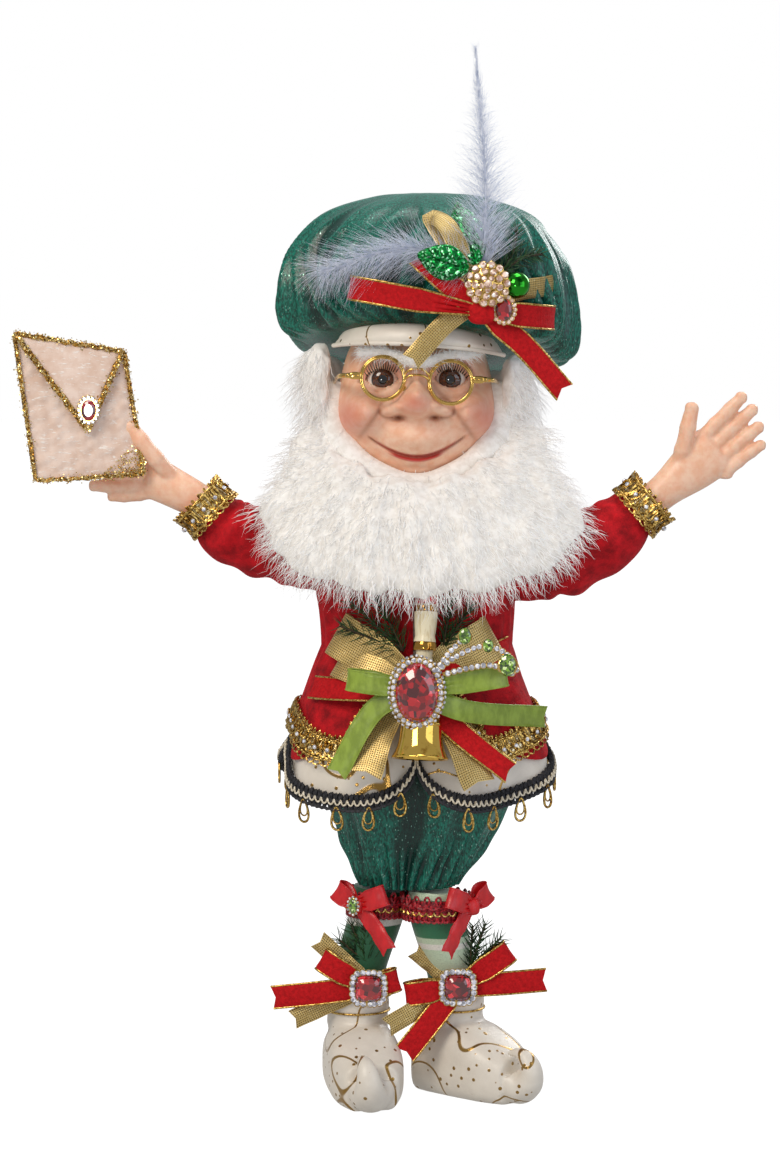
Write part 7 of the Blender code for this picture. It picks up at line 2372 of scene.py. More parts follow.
@dataclass
class Hands(Assembly):
    """The two cast hands: palm, fingers with joints and nails, melted into one skin."""

    def build(self) -> None:
        """Builds both hands."""
        y = -2.0
        self.hand(
            "right", (-90, y, 242.5), (-106, y + 3, 250.5), 8.6, (0.15, 1.0, 0.1),
            (((-104, y + 4, 254), (-113, y + 1.4, 258), (-122, y - 2.3, 259)),
             ((-105, y + 4, 250.5), (-116, y + 0.6, 252.5), (-127, y - 3.4, 253)),
             ((-105, y + 3.5, 247), (-117, y + 1, 246.5), (-129, y - 2.5, 247)),
             ((-104, y + 3, 244.5), (-113, y + 3, 242.8), (-122, y + 1, 242.5)),
             ((-98, y - 1, 251), (-106, y - 5.6, 261), (-114, y - 5.3, 271.5))))
        y = -6.0
        self.hand(
            "left", (101, y, 247), (118.5, y, 261.5), 10.4, (0.0, 1.0, 0.0),
            (((113.5, y, 266), (121, y - 2, 274), (129.5, y - 3, 283)),
             ((117.5, y, 262), (126, y - 1, 270.5), (134, y - 1.5, 278)),
             ((121, y, 257.5), (129, y - 1, 265), (136.5, y - 1.5, 271)),
             ((123, y, 252.8), (130, y - 1, 258.5), (137.5, y - 1.5, 263.8)),
             ((104, y, 254), (106.5, y - 4, 265), (109.2, y - 5, 279))))

    def finger(self, points: Points, radius: float, back: Points) -> list[Surface]:
        """A finger: a tapering tube, thicker at two joints, with a nail set in the back of its tip.

        Args:
            points: its joints and its tip.
            radius: its radius at the palm.
            back: the direction that its nail looks in.

        Returns:
            the surfaces.
        """
        line = smooth_path(points, 40)
        share = np.linspace(0, 1, 40)
        girth = radius * np.interp(share, (0, 0.3, 0.75, 1.0), (1.0, 0.98, 0.9, 0.80))
        for joint in (0.36, 0.70):
            girth = girth + radius * 0.09 * np.exp(-(((share - joint) / 0.06) ** 2))
        girth = girth * np.clip(1 - ((share - 0.86) / 0.14).clip(0, 1) ** 2 * 0.55, 0.3, 1)
        end = line[-1]
        ahead = unit(line[-1] - line[-4])
        tip = blob(end - ahead * radius * 0.35, (radius * 0.78,) * 3)
        across = unit(np.cross(ahead, back))
        u, v = np.meshgrid(np.linspace(-1, 1, 13), np.linspace(-1, 1, 13), indexing="ij")
        face = unit(np.cross(across, ahead))
        face = face * np.sign(face @ np.asarray(back, float))
        bowed = 1 - 0.35 * v**2
        centre = end - ahead * radius * 0.75
        nail = (centre + (u * radius * 0.75)[..., None] * ahead
                + (v * radius * 0.55 * (1 - 0.2 * np.clip(u, 0, 1)))[..., None] * across
                + (radius * 0.78 * bowed)[..., None] * face)
        return [tube(line, girth, 20), tip, shell(nail, 0.45, power=6)]

    def hand(self, side: str, wrist: Points, knuckles: Points, half: float, back: Points,
             fingers: Sequence[Points]) -> None:
        """One hand.

        Args:
            side: right or left.
            wrist: the middle of the wrist.
            knuckles: the middle of the knuckles.
            half: half the palm's width.
            back: the direction the back of the hand looks in.
            fingers: each finger's joints, the thumb last.
        """
        wrist, knuckles, back = (np.asarray(p, float) for p in (wrist, knuckles, back))
        ahead = unit(knuckles - wrist)
        across = unit(np.cross(ahead, back))
        back = unit(np.cross(across, ahead))
        back = back * np.sign(back[1])
        length = float(np.linalg.norm(knuckles - wrist))
        stations = ((-16.0, 6.6, 6.2), (-6.0, 6.8, 6.0), (0.0, 7.4, 6.3), (0.5 * length, half * 0.93, 5.9),
                    (0.96 * length, half, 4.8), (1.08 * length, half * 0.8, 2.8))
        levels = smooth_path(stations, 40)
        turn = np.linspace(0, TAU, 64, endpoint=False)
        rings = (wrist + ahead * levels[:, :1, None] + across * (levels[:, 1:2] * np.cos(turn))[..., None]
                 + back * (levels[:, 2:] * np.sin(turn))[..., None])
        surfaces = [loft(rings)]
        for k, points in enumerate(fingers):
            radius = 3.5 if k == 4 else (2.75 if k == 3 else 3.0)
            surfaces += self.finger(points, radius,
                                    back if k < 4 else unit(back * 0.5 - across * 0.6 + FORWARD * 0.4))
            if k < 4:
                surfaces.append(blob(np.asarray(points[0], float) + back * 0.6, (3.2, 3.0, 3.2)))
        made = self.piece(f"hand_{side}", surfaces, ["skin"], "painted_resin", sharp=None)
        fused(made, 0.6, 3)


@dataclass
class Letter(Assembly):
    """The card envelope with its flap, glittered edges and jewel."""

    edge_flakes: int = 1900
    corner_flakes: int = 420

    def __post_init__(self) -> None:
        """Adds this group's own measures to what every group has."""
        super().__post_init__()
        self.corners = np.array(((-158.4, -16, 308), (-115.6, -9, 300.6), (-108, -8, 252),
                                 (-150.4, -15, 249.6)), float)

    def sheet_point(self, along: Points, down: Points, out: float = 0.0) -> Points:
        """A point on the card, bilinear between its corners, bowed towards the viewer at its foot.

        Args:
            along: 0 at the edge nearer -X and 1 at the other.
            down: 0 at the top and 1 at the foot.
            out: how far in front of the card.

        Returns:
            the point or points, in millimetres.
        """
        top_left, top_right, low_right, low_left = self.corners
        along, down = np.asarray(along, float)[..., None], np.asarray(down, float)[..., None]
        point = ((top_left * (1 - along) + top_right * along) * (1 - down)
                 + (low_left * (1 - along) + low_right * along) * down)
        return point + FORWARD * (1.6 * np.sin(math.pi * along) * down + out)

    def build(self) -> None:
        """The card with a deckled edge, the flap, and the glitter laid on in beads of glue."""
        u, v = np.meshgrid(np.linspace(0, 1, 90), np.linspace(0, 1, 100), indexing="ij")
        grid = self.sheet_point(u, v, 0.0)
        grid = grid + 0.35 * ripple(grid, 5.0)[..., None] * FORWARD
        edge = np.minimum.reduce([u, 1 - u, v, 1 - v])
        deckle = 0.5 * ripple(grid, 3.0, 4.0) * np.exp(-edge * 60) * np.maximum(u, v)
        grid = grid + deckle[..., None] * unit(grid - grid.mean((0, 1)))
        tip = np.array((-129.6, -14.2, 269.5))
        top_left, top_right = self.corners[0] + (0.8, 0, -0.8), self.corners[1] + (-0.8, 0, -0.8)
        a, b = np.meshgrid(np.linspace(0, 1, 60), np.linspace(0, 1, 60), indexing="ij")
        top = top_left + (top_right - top_left) * a[..., None]
        flap = top + (tip - top) * (b[..., None] * 0.995)
        flap = flap + FORWARD * (1.5 + 0.9 * np.sin(math.pi * b) * np.sin(math.pi * a))[..., None]
        parts = [shell(grid, 1.1, slot=0), shell(flap, 0.8, slot=0)]
        side = np.linspace(0, 1, 120)
        ones, zeros = np.ones(120), np.zeros(120)
        runs = [(self.sheet_point(side, zeros, 1.9), 0.9), (self.sheet_point(ones, side, 0.9), 0.9),
                (self.sheet_point(side, ones, 0.9), 0.8), (self.sheet_point(zeros, side, 0.9), 0.9)]
        for start in (top_left, top_right):
            runs.append((start + (tip - start) * side[:, None] + FORWARD * 2.3, 1.1))
        for path, radius in runs:
            path = path + 0.5 * ripple(path, 4.0, 1.0)[:, None] * UPWARD
            girth = radius * (1 + 0.22 * ripple(path, 2.1, 2.0)) * np.where((side < 0.01) | (side > 0.99),
                                                                            0.5, 1.0)
            parts.append(tube(path, girth, 12, up=FORWARD, flat=0.5, slot=1))
        count = self.edge_flakes
        pick = self.random.integers(0, len(runs), count)
        spot = self.random.uniform(0, 119, count).astype(int)
        line = np.stack([run[0] for run in runs])[pick, spot]
        spread = self.random.normal(0, 0.75, (count, 2))
        corner = self.random.uniform(0, 1, self.corner_flakes)
        far = self.random.uniform(0, 1, self.corner_flakes) ** 1.5
        low = self.sheet_point(1 - 0.4 * corner * (1 - far), 1 - 0.28 * far * corner, 1.0)
        at = np.concatenate([line + FORWARD * 0.5 + spread[:, :1] * (1, 0, 0) + spread[:, 1:] * UPWARD, low])
        tilt = unit(FORWARD + self.random.normal(0, 0.55, (len(at), 3)))
        chip = loft(np.array((((1.0, 0.0, 0.2), (0.0, 1.0, 0.3), (-1.0, 0.0, 0.2), (0.0, -1.0, 0.0)),)))
        parts.append(copies(chip, at, facing_axes(tilt, len(at)), self.random.uniform(0.22, 0.46, len(at)),
                            2))
        self.piece("envelope", parts, ["card", "glitter", "flake"], "card", sharp=40)
        self.piece("envelope_jewel",
                   jewel((-129.2, -16.0, 277.5), 4.6, 5.9, FORWARD, 2.0, 0.8, 16, (0, 1, 2)),
                   ["ruby", "stone", "gilt"], "red_gem", sharp=20)


@dataclass
class Chest(Assembly):
    """The layered bow on the chest, its jewel, the swirl of stones, the pine and the bell."""

    mesh_loop: Weave = Weave(17.6, 0.35, 0, None, ripples=0.5)
    mesh_tail: Weave = Weave(13.6, 0.35, 0, None, ripples=0.5)
    velvet: Weave = Weave(9.0)
    satin: Weave = Weave(8.0, 0.5, 0, 0, 0.3, ripples=0.3)

    def build(self) -> None:
        """Builds the bows from the back to the front, then the bell."""
        self.bows()
        self.jewels()
        self.bell()

    def bows(self) -> None:
        """Gold mesh behind, red velvet between and green satin in front."""
        knot = coat_front([(0, 172, 2.6)])[0]
        parts = [blob(knot, (6.2, 2.1, 6.6), 0.1)]
        for tip in ((-32, 190), (31, 189), (-30, 181), (28, 179)):
            parts += laid_loop(coat_front, (0, 172), tip, 1.9, 5.2, self.mesh_loop)
        for tail in ([(-1, 171, 2.4), (-13, 158, 4.8), (-20, 138, 7.2)],
                     [(1, 171, 2.4), (14, 157, 4.8), (24, 134, 7.2)]):
            parts += laid_ribbon(coat_front, tail, self.mesh_tail)
        self.piece("chest_bow_mesh", parts, ["mesh"], "gold_mesh", sharp=60)
        parts = [blob(coat_front([(0, 169, 6)])[0], (4.5, 1.6, 5), 0.1)]
        for tail in ([(0, 169, 6.4), (-22, 169, 6.6), (-41, 168, 2.8)],
                     [(0, 169, 6.4), (17, 153, 7.6), (36, 138, 9.0)],
                     [(0, 171, 5.6), (18, 177, 6.2), (37, 183, 3.0)]):
            parts += laid_ribbon(coat_front, tail, self.velvet)
        self.piece("chest_bow_red", parts, ["ribbon", "thread"], "red_velvet", sharp=60)
        at = np.array((0, -52.6, 171.0))
        parts = [blob(at, (5.4, 2.4, 5.4), 0.1)]
        parts += free_loop(at, at + (-27, 4.5, 3.5), 6.5, (-0.2, -1, 0), self.satin)
        parts += free_loop(at, at + (35, 5.5, 5), 6.5, (0.2, -1, 0), self.satin)
        left, right = coat_front([(-31, 138, 8.5), (51, 156, 5.5)])
        parts += free_ribbon([at, at + (-17, 2.5, -9), left], (-0.3, -1, 0), self.satin)
        parts += free_ribbon([at, at + (19, 4, -9), right], (0.5, -1, 0), self.satin)
        self.piece("chest_bow_green", parts, ["green_satin"], "green_satin", sharp=60)
        for name, base, tips, length in (
            ("right", (-5, 184, 7.5), ((-26, 203, 7.9), (-30, 193, 7.0), (-16, 206, 7.5)), 9.5),
            ("left", (10, 184, 6.9), ((14, 206, 6.8), (22, 202, 6.5)), 8.0),
        ):
            parts = []
            for tip in tips:
                start, end = coat_front([base, tip])
                parts += pine(start, end, np.zeros(3), 60, length, self.random)
            self.piece(f"chest_pine_{name}", parts, ["needle", "stem"], "pine_needles", weld=False)

    def jewels(self) -> None:
        """The large oval stone in its double setting, and the curl of stones beside it."""
        axis = facing_axes(FORWARD, 1)
        gem = cut_stone(8.2, 11.6, 5.2, 24)
        self.piece("chest_gem", [copies(gem, np.array(((0, -55.6, 170.0),)), axis, 1.0)], ["ruby"], "red_gem",
                   sharp=20)
        centre = np.array((0, -55.2, 170.0))
        plate = lathe([(0.95, -0.8), (1.0, 0.2), (0.98, 1.0), (0.84, 1.4), (0.80, 1.1)], 56, np.zeros(3),
                      UPWARD)
        plate.points = plate.points * (9.7, 13.1, 1.0)
        parts = [copies(plate, centre[None], axis, 1.0, 1)]
        parts += set_row(oval(centre + FORWARD * 1.2, 9.3, 12.7, 30), FORWARD, 1.05)
        parts += set_row(oval(centre + FORWARD * 0.2, 10.6, 14.0, 40),
                         unit(oval(centre, 10.6, 14.0, 40) - centre + FORWARD * 9), 0.7)
        self.piece("chest_jewel_setting", parts, ["stone", "gilt"], "rhinestones", sharp=20)
        y = -54.8
        curl = smooth_path([(7, y, 178), (15, y, 184), (25, y, 188), (33, y + 0.5, 186), (38.5, y + 1, 180),
                            (36, y + 1, 177.4),
                            (29, y + 0.5, 180.6), (20, y, 179.6), (10, y, 177)], 300)
        stem = smooth_path([(7, y, 178), (12, y, 185), (18.5, y + 0.5, 191.5)], 60)
        parts = []
        for path, step in ((curl, 2.35), (stem, 2.35)):
            length = arc_lengths(path)
            at = np.searchsorted(length, np.arange(1.0, length[-1], step)).clip(0, len(path) - 1)
            parts += set_row(path[at] + FORWARD * 0.8, FORWARD, 1.15)
            parts.append(tube(path, 0.75, 8, up=FORWARD, slot=1))
        for spot, size in (((35.0, y + 0.4, 180.8), 3.6), ((18.5, y - 0.2, 192.0), 2.6),
                           ((27.5, y - 0.4, 188.4), 2.1)):
            spot = np.array((spot,), float)
            parts.append(copies(cut_stone(1.0, 1.25, 0.6, 12), spot + FORWARD * 1.6, facing_axes(FORWARD, 1),
                                size, 2))
            parts.append(copies(lathe([(0.9, -0.4), (1.1, 0.1), (1.1, 0.45), (0.9, 0.5)], 20, np.zeros(3),
                                      UPWARD),
                                spot + FORWARD * 1.0, facing_axes(FORWARD, 1), size, 1))
        self.piece("chest_swirl", parts, ["stone", "gilt", "olive"], "rhinestones", sharp=20)

    def bell(self) -> None:
        """The hand bell: a turned cup, a turned handle with painted bands, and its cap."""
        top, foot = np.array((4.0, -38.5, 207.0)), np.array((1.2, -51.0, 143.5))
        axis = unit(top - foot)
        outer = [(11.0, 0.0), (11.15, 0.5), (10.6, 1.4), (9.6, 3.6), (8.8, 6.2), (8.2, 9.5), (7.9, 12.5),
                 (8.1, 13.0), (8.1, 13.6),
                 (7.75, 14.0), (7.5, 17.5), (7.2, 20.2), (6.2, 22.4), (4.6, 23.7), (3.4, 24.0)]
        inner = [(2.6, 22.6), (4.8, 21.8), (6.0, 19.6), (6.5, 13.0), (7.6, 6.0), (9.4, 1.6), (10.0, 0.4)]
        profile = smooth_path([(r, h, 0) for r, h in outer], 90)[:, :2]
        cup = lathe([(0.3, 22.8), *inner, *[tuple(p) for p in profile], (0.3, 24.05)], 64, foot, axis)
        self.piece("bell_cup", [cup], ["brass"], "brass", sharp=40)
        turned = [(3.3, 24.3), (3.6, 25.0), (3.0, 26.2), (2.7, 27.6), (3.1, 30.0), (3.3, 36.0), (3.2, 41.0),
                  (3.6, 42.5), (4.1, 44.0),
                  (4.3, 46.0), (3.9, 48.0), (4.1, 50.0), (4.5, 55.0), (4.6, 58.5), (4.4, 60.3)]
        profile = smooth_path([(r, h, 0) for r, h in turned], 120)[:, :2]
        handle = lathe([tuple(p) for p in profile], 40, foot, axis)
        bands = [lathe([(4.35, 42.2), (4.55, 42.8), (4.55, 45.0), (4.35, 45.6)], 56, foot, axis, slot=1),
                 lathe([(4.62, 57.4), (4.8, 57.8), (4.8, 59.4), (4.62, 59.9)], 56, foot, axis, slot=1)]
        self.piece("bell_handle", [handle, *bands], ["wood", "band"], "cream_wood", sharp=50)
        cap = lathe([(4.5, 60.4), (4.95, 61.2), (4.9, 63.6), (4.2, 65.6), (2.9, 66.9), (1.2, 67.6)], 56, foot,
                    axis)
        self.piece("bell_cap", [cap], ["enamel"], "brass", sharp=50)


# Legs


@dataclass
class Legs(Assembly):
    """Trousers, stockings, garters and the curled boots."""

    velvet: Weave = Weave(9.0)
    mesh: Weave = Weave(8.0, 0.35, 0, None, ripples=0.4)
    satin: Weave = Weave(8.0, 0.5, 0, 0, 0.3, ripples=0.3)
    trouser_grid: tuple[int, int] = (90, 300)
    stocking_grid: tuple[int, int] = (80, 60)
    seat: float = 37.0
    garter_z: float = 77.5
    garter_girth: float = 13.0
    foot: tuple[float, float] = (40.0, 15.0)
    shaft_top: float = 41.0

    def __post_init__(self) -> None:
        """Adds this group's own measures to what every group has."""
        super().__post_init__()
        self.legs = {"right": np.array(((-14, 4, 84), (-15, 4, 76), (-21, 3, 56), (-23, 3, 41)), float),
                     "left": np.array(((8, -5, 84), (8, -5, 76), (13, 3, 56), (15, 7, 41)), float)}

    def build(self) -> None:
        """Builds the legs from the trousers down."""
        self.trousers()
        for side in ("right", "left"):
            self.stocking(side)
            self.garter(side)
            self.boot(side)
        self.stocking_bow("right", (-23.5, -11, 79.5), -1, (-0.5, -1, 0))
        self.stocking_bow("left", (22, -12, 79), 1, (0.75, -0.8, 0))
        self.boot_trim("right", (-19, -12.23, 46.5), ((-19, 2, 11), (12, 1, 3)), ((-38, 3, -5),),
                       ((-30, 4, -14), (-20, 4, 18)))
        self.boot_trim("left", (16.8, -7.83, 46), ((-21, -2, -3), (21, 2, 14)), ((35, 2, 2), (-21, -7, -26)),
                       ((-28, -8, -15), (-17, 3, 14)))

    def trousers(self) -> None:
        """The gathered trousers: two lobes that share a waist, with deep gathers towards both garters."""
        z_levels = np.array((160, 143, 124, 108, 95, 86))
        wide = np.array((0.86, 1.0, 0.98, 0.82, 0.63, 0.50))
        deep = np.array((0.62, 0.74, 0.75, 0.64, 0.52, 0.44))
        shift = np.array((0, 1, 2, 1, -1, -2.5))
        gather = np.array((0.3, 0.9, 1.0, 1.1, 1.1, 0.5))
        rows, columns = self.trouser_grid
        table = smooth_path(np.stack([wide, deep, z_levels / 40.0], axis=1), rows)
        z = table[:, 2] * 40.0
        order = np.argsort(z_levels)
        moved = np.interp(z, z_levels[order], shift[order])[:, None]
        pull = np.interp(z, z_levels[order], gather[order])[:, None]
        a = np.linspace(0, TAU, columns, endpoint=False)[None, :]
        split = (a + math.pi / 2) % math.pi - math.pi / 2
        low = step_up(118 - z, 0, 26)[:, None]
        drift = a + 0.05 * np.sin(5 * a + z[:, None] * 0.09)
        cleft = 1 - 0.12 * pull * np.exp(-((split / 0.2) ** 2))
        radius = self.seat * (1 + 0.05 * pull * np.sin(8 * a + 0.5)) * cleft
        radius = radius * (1 + 0.065 * low * np.sin(30 * drift) + 0.012 * np.sin(21 * drift + 1))
        radius = radius + 0.7 * np.sin(z[:, None] * 0.42 + 2 * np.sin(3 * a)) * low
        x = moved + radius * table[:, :1] * np.sin(a)
        y = -radius * table[:, 1:2] * np.cos(a)
        rings = np.stack([x, y, z[:, None] + 0 * a], axis=-1)
        # painted shade darkens the trousers' gathers
        cloth = loft(rings).painted(fold_shade_shares(radius / self.seat, 0.07))
        made = self.piece("trousers", [cloth], ["brocade"], "green_brocade", sharp=85)

    def stocking(self, side: str) -> None:
        """A stuffed stocking with fine knit rings and the leg's soft wrinkles at the ankle.

        Args:
            side: right or left.
        """
        rows, columns = self.stocking_grid
        line = smooth_path(self.legs[side], rows)
        share = np.linspace(0, 1, rows)[:, None]
        ahead = tangents_of(line)
        across = unit(np.cross(ahead, FORWARD))
        rise = np.cross(across, ahead)
        turn = np.linspace(0, TAU, columns, endpoint=False)[None, :]
        wrinkle = 0.35 * np.sin(turn + share * 30) * step_up(share, 0.7, 0.95)
        radius = 10.8 - 2.2 * share + 0.9 * np.sin(math.pi * share) + wrinkle
        rings = rings_round(line, across, rise, turn, radius)
        made = self.piece(f"stocking_{side}", [loft(rings)], [f"knit_{side}"], "green_stocking", sharp=80)

    def garter(self, side: str) -> None:
        """Red looped braid round the knee, with a heading of larger loops and a gold thread through it.

        Args:
            side: right or left.
        """
        line = smooth_path(self.legs[side], 110)
        near = np.argmin(np.abs(line[:, 2] - self.garter_z))
        centre, ahead = line[near], np.array((0.0, 0.0, 1.0))
        across, rise = np.array((1.0, 0, 0)), np.array((0, 1.0, 0))

        def lay(s: Points, t: Points, out: float = 0.0) -> Points:
            """The point s round the knee and t up it, on a level band.

            Args:
                s: the distance along.
                t: the distance across.
                out: how far off the cloth.

            Returns:
                the point or points, in millimetres.
            """
            a = np.asarray(s) / self.garter_girth
            radius = 12.6 + out + 0.03 * np.asarray(t)
            return (centre + ahead * (np.asarray(t) - 4.5)[..., None]
                    + radius[..., None] * (np.cos(a)[..., None] * across + np.sin(a)[..., None] * rise))

        whole = TAU * self.garter_girth
        parts = [gimp(lay, whole, run) for run in (
            Run(0.2, 0.5, 2.3, 3.6, 0.6, 0.9, 0, 14), Run(3.4, 0.5, 2.3, 3.6, 0.6, 0.9, 0, 14),
            Run(5.6, 0.9, 4.2, 5.0, 0.55, 1.9, 0, 20), Run(2.9, 1.3, 2.8, 1.6, 0.34, 0.4, 1, 12))]
        rows = np.stack([lay(np.linspace(0, whole, 90, endpoint=False), np.full(90, t),
                             -0.2) for t in np.linspace(0.2, 8.8, 6)])
        parts.append(shell(rows, 0.8, around=True, slot=0))
        self.piece(f"stocking_trim_{side}", parts, ["red_cord", "thread"], "red_gimp", sharp=60)

    def stocking_bow(self, side: str, at: Points, way: int, facing: Points) -> None:
        """A small satin bow at the knee, the right one with a green jewel.

        Args:
            side: right or left.
            at: the knot.
            way: 1 for a tail to the figure's right and -1 for one to its left.
            facing: the direction that it looks in.
        """
        at, facing = np.asarray(at, float), unit(np.asarray(facing, float))
        right = unit(np.cross(facing, UPWARD))
        parts = [blob(at, (3.6, 3.1, 3.6), 0.08)]
        parts += free_loop(at, at + right * 13 * way + UPWARD * 5, 5, facing, self.satin)
        parts += free_loop(at, at - right * 9 * way + UPWARD * 6, 5, facing, self.satin)
        parts += free_ribbon([at, at + right * 8 * way - UPWARD * 8 + facing,
                              at + right * 15 * way - UPWARD * 17 + facing * 2],
                             facing, Weave(6.4, 0.5, 0, 0, 0.3, ripples=0.3))
        looks = ["red_satin"]
        if side == "right":
            parts += jewel(at + facing * 3.0, 2.9, 4.1, facing, 2.0, 0.55, 12, (1, 2, 3))
            looks += ["olive", "stone", "gilt"]
        self.piece(f"stocking_bow_{side}", parts, looks, "red_satin", sharp=50)

    def boot(self, side: str) -> None:
        """A padded boot: an oval foot on a flat sole, a turned-up curl for its toe, and a piped shaft.

        Args:
            side: right or left.
        """
        heading, ankle = (math.radians(10), (-23.5, 3.0)) if side == "right" else (math.radians(48),
                                                                                   (15.0, 8.0))
        ahead = np.array((math.sin(heading), -math.cos(heading), 0.0))
        across = np.cross(ahead, UPWARD)
        ankle = np.array((*ankle, 0.0))
        stations = np.array(((-0.36, 0.50, 16), (-0.28, 0.82, 24), (0, 0.95, 30), (0.30, 1, 30),
                             (0.60, 0.98, 25), (0.86, 0.74, 18.5)))
        table = smooth_path(stations * (*self.foot, 1.0), 70)
        turn = np.linspace(0, TAU, 96, endpoint=False)
        c, s = np.cos(turn), np.sin(turn)
        u = np.sign(c) * np.abs(c) ** 0.75
        v = np.maximum((np.sign(s) * np.abs(s) ** 0.6 + 1) / 2 - 0.06, 0) / 0.94
        rings = (ankle + ahead * table[:, :1, None] + across * (table[:, 1:2] * u)[..., None]
                 + UPWARD * (table[:, 2:] * v)[..., None])
        curl = np.array(((-0.75, 0.66), (0.0, 0.58), (0.5, 0.46), (1.3, 0.36), (2.2, 0.27), (3.1, 0.16),
                         (3.7, 0.09)))
        steps = np.linspace(0, 1, 60)
        angle = np.interp(steps, np.linspace(0, 1, len(curl)), curl[:, 0])
        width = np.interp(steps, np.linspace(0, 1, len(curl)), curl[:, 1])
        start = ankle + ahead * 38.0
        centre = (start + ahead * (6.3 * np.sin(angle))[:, None] + across * (steps * 5.2)[:, None]
                  + UPWARD * (7.5 + 7 * (1 - np.cos(angle)))[:, None])
        normal = -ahead * np.sin(angle)[:, None] + UPWARD * np.cos(angle)[:, None]
        wide = self.foot[1] * width[:, None]
        toe = (centre[:, None] + across * (wide * c)[..., None]
               + normal[:, None] * (wide * 0.85 * s)[..., None])
        toe[..., 2] = np.maximum(toe[..., 2], 0.05)
        shaft_z = np.linspace(10, self.shaft_top, 40)
        radius = np.interp(shaft_z, (10, 26, self.shaft_top),
                           (11.6, 12.0, 12.9)) + 0.25 * np.sin(shaft_z * 0.9)
        ring = (ankle + UPWARD * shaft_z[:, None, None] + across * (radius[:, None] * c)[..., None]
                + ahead * (radius[:, None] * s)[..., None])
        foot = self.piece(f"boot_{side}", [loft(rings), loft(toe), loft(ring)], ["cream"], "cream_satin",
                          sharp=None)
        fused(foot, 0.9, 4)
        top = ankle + UPWARD * (self.shaft_top
                                + 0.2) + across * (13.2 * c)[:, None] + ahead * (13.2 * s)[:, None]
        band = ankle + UPWARD * 34.5 + across * (12.9 * c)[:, None] + ahead * (12.9 * s)[:, None]
        piping = [tube(top, 0.95, 8, closed=True, up=UPWARD), tube(band, 0.45, 8, closed=True, up=UPWARD)]
        made = make_piece(f"boot_{side}_piping", piping, [self.looks("thread")], 50)
        self.hand_over(made, f"boot_{side}", "cream_satin")

    def boot_trim(self, side: str, at: Points, loops: Sequence[Points], tails: Sequence[Points],
                  mesh: Sequence[Points]) -> None:
        """The bow, buckle and pine at a boot's ankle.

        Args:
            side: right or left.
            at: the knot.
            loops: the velvet loops' tips, from the knot.
            tails: the velvet tails' ends, from the knot.
            mesh: the mesh tails' ends, from the knot.
        """
        at = np.asarray(at, float)
        parts = [blob(at, (4.8, 2.6, 4.8), 0.08)]
        for tip in loops:
            parts += free_loop(at, at + tip, 5.4, FORWARD, self.velvet)
        for tip in tails:
            tip = np.asarray(tip, float)
            parts += free_ribbon([at, at + tip / 2 + FORWARD * 1.5, at + tip], FORWARD, self.velvet)
        for tip in mesh:
            tip = np.asarray(tip, float)
            for surface in free_ribbon([at - FORWARD * 1.2, at + tip / 2 - FORWARD * 1.4, at + tip], FORWARD,
                                       self.mesh):
                parts.append(surface.in_slot(2))
        self.piece(f"boot_bow_{side}", parts, ["ribbon", "thread", "mesh"], "red_velvet", sharp=60)
        self.piece(f"boot_buckle_{side}",
                   jewel(at + FORWARD * 3.2, 7.6, 7.6, FORWARD, 4.0, 1.25, 20, (0, 1, 2)),
                   ["ruby", "stone", "gilt"], "red_gem", sharp=20)
        starts = {"right": ((0, 6, 8), ((-7, 6.6, 24), (-12, 6, 18), (-2, 6, 25))),
                  "left": ((5, 3.4, 6), ((11, 0.4, 25), (17, 1, 19), (6, 2, 24)))}
        base, tips = starts[side]
        parts = []
        for tip in tips:
            parts += pine(at + base, at + tip, np.zeros(3), 44, 8.5, self.random)
        self.piece(f"boot_pine_{side}", parts, ["needle", "stem"], "pine_needles", weld=False)


# Studio


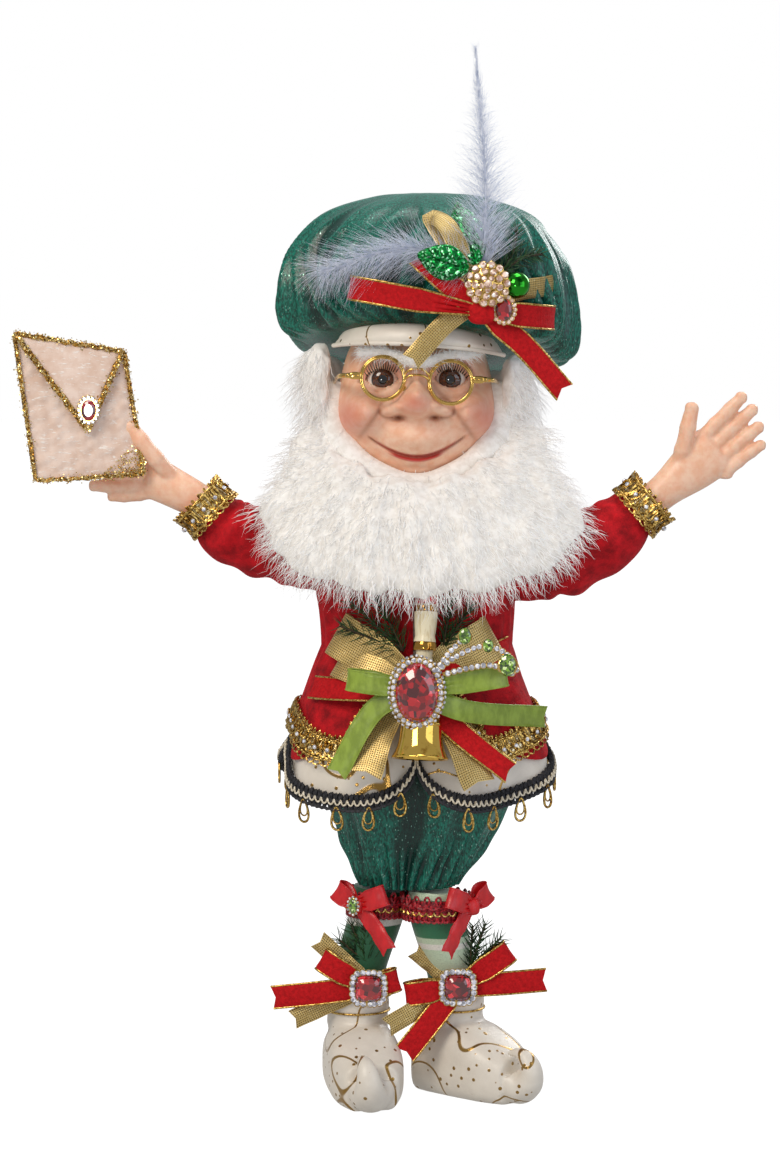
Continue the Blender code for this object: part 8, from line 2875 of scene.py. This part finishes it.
@dataclass
class Studio:
    """The white floor, the lights and the camera."""

    target: tuple[float, float, float] = (-0.0004, 0.0031, 0.2069)
    distance: float = 1.55
    rise: float = math.radians(5.0)
    lens: float = 119.2

    def build(self) -> None:
        """Builds the floor, lights and camera."""
        self.floor()
        self.world()
        self.light("Key", (-0.75, -1.1, 1.15), 0.7, 13.0, "#FFF4E6")
        self.light("Fill", (1.1, -0.9, 0.5), 1.0, 4.2, "#E8F0FF")
        self.light("Top", (0.1, 0.1, 1.35), 0.6, 4.5, "#FFFFFF")
        self.light("Rim", (0.7, 0.95, 0.75), 0.5, 5.0, "#FFFFFF")
        self.light("Glints", (-0.25, -1.3, 0.2), 0.12, 1.0, "#FFFFFF")
        self.camera()

    def light(self, name: str, place: tuple[float, float, float], size: float, power: float,
              colour: str) -> None:
        """A soft square light turned to the figure's middle.

        Args:
            name: the lamp's name.
            place: where it stands, in metres.
            size: the length of its sides in metres.
            power: its power in watts.
            colour: its colour in hex.
        """
        data = bpy.data.lights.new(name, "AREA")
        data.size = size
        data.energy = power
        data.color = linear(colour)[:3]
        lamp = bpy.data.objects.new(name, data)
        lamp.location = place
        lamp.rotation_euler = (Vector(self.target) - Vector(place)).to_track_quat("-Z", "Y").to_euler()
        bpy.context.scene.collection.objects.link(lamp)

    def floor(self) -> None:
        """A white sheet of paper, a little of it glowing so that it stays white and keeps a light shadow."""
        half = 6.0
        mesh = bpy.data.meshes.new("Floor")
        mesh.from_pydata([(-half, -half, 0), (half, -half, 0), (half, half, 0), (-half, half, 0)], [],
                         [(0, 1, 2, 3)])
        plane = bpy.data.objects.new("Floor", mesh)
        bpy.context.scene.collection.objects.link(plane)
        paper = bpy.data.materials.new("White paper")
        paper.use_nodes = True
        tree = paper.node_tree
        tree.nodes.clear()
        rays = add_node(tree, "ShaderNodeLightPath", {})
        power = add_node(tree, "ShaderNodeMapRange",
                         {"Value": rays.outputs["Is Camera Ray"], "To Min": 0.35, "To Max": 1.36})
        glow = add_node(tree, "ShaderNodeEmission", {"Color": (1, 1, 1, 1), "Strength": power.outputs[0]})
        matte = add_node(tree, "ShaderNodeBsdfDiffuse", {"Color": (0.85, 0.85, 0.85, 1)})
        both = add_node(tree, "ShaderNodeMixShader", {"Fac": 0.3, 1: glow.outputs[0], 2: matte.outputs[0]})
        add_node(tree, "ShaderNodeOutputMaterial", {"Surface": both.outputs[0]})
        mesh.materials.append(paper)

    def world(self) -> None:
        """White to the camera and through glass, a softer grey-white as light."""
        world = bpy.data.worlds.new("Studio")
        bpy.context.scene.world = world
        world.use_nodes = True
        tree = world.node_tree
        tree.nodes.clear()
        rays = add_node(tree, "ShaderNodeLightPath", {})
        lit = add_node(tree, "ShaderNodeBackground", {"Color": (0.92, 0.95, 1.0, 1), "Strength": 0.42})
        seen = add_node(tree, "ShaderNodeBackground", {"Color": (1, 1, 1, 1), "Strength": 1.0})
        both = add_node(tree, "ShaderNodeMixShader",
                        {"Fac": rays.outputs["Is Camera Ray"], 1: lit.outputs[0], 2: seen.outputs[0]})
        add_node(tree, "ShaderNodeOutputWorld", {"Surface": both.outputs[0]})

    def camera(self) -> None:
        """The view of the photograph: level with the belt and a little above it."""
        data = bpy.data.cameras.new("View")
        data.lens = self.lens
        data.sensor_width = 36.0
        view = bpy.data.objects.new("View", data)
        way = Vector((0.0, -math.cos(self.rise), math.sin(self.rise)))
        view.location = Vector(self.target) + way * self.distance
        view.rotation_euler = (-way).to_track_quat("-Z", "Y").to_euler()
        bpy.context.scene.collection.objects.link(view)
        bpy.context.scene.camera = view
        bpy.context.scene.view_settings.view_transform = "Standard"


def main() -> None:
    """Builds the figure piece by piece on the CAD model, then the studio."""
    logging.basicConfig(level=logging.INFO, format="%(message)s", stream=sys.stdout)
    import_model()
    wardrobe = Wardrobe()
    groups = (Head(wardrobe), Fleece(wardrobe), Hat(wardrobe), Clothes(wardrobe), Hands(wardrobe),
              Letter(wardrobe),
              Chest(wardrobe), Legs(wardrobe))
    for group in groups:
        group.build()
        LOG.info("built %s", type(group).__name__)
    Studio().build()


if __name__ == "__main__":
    main()
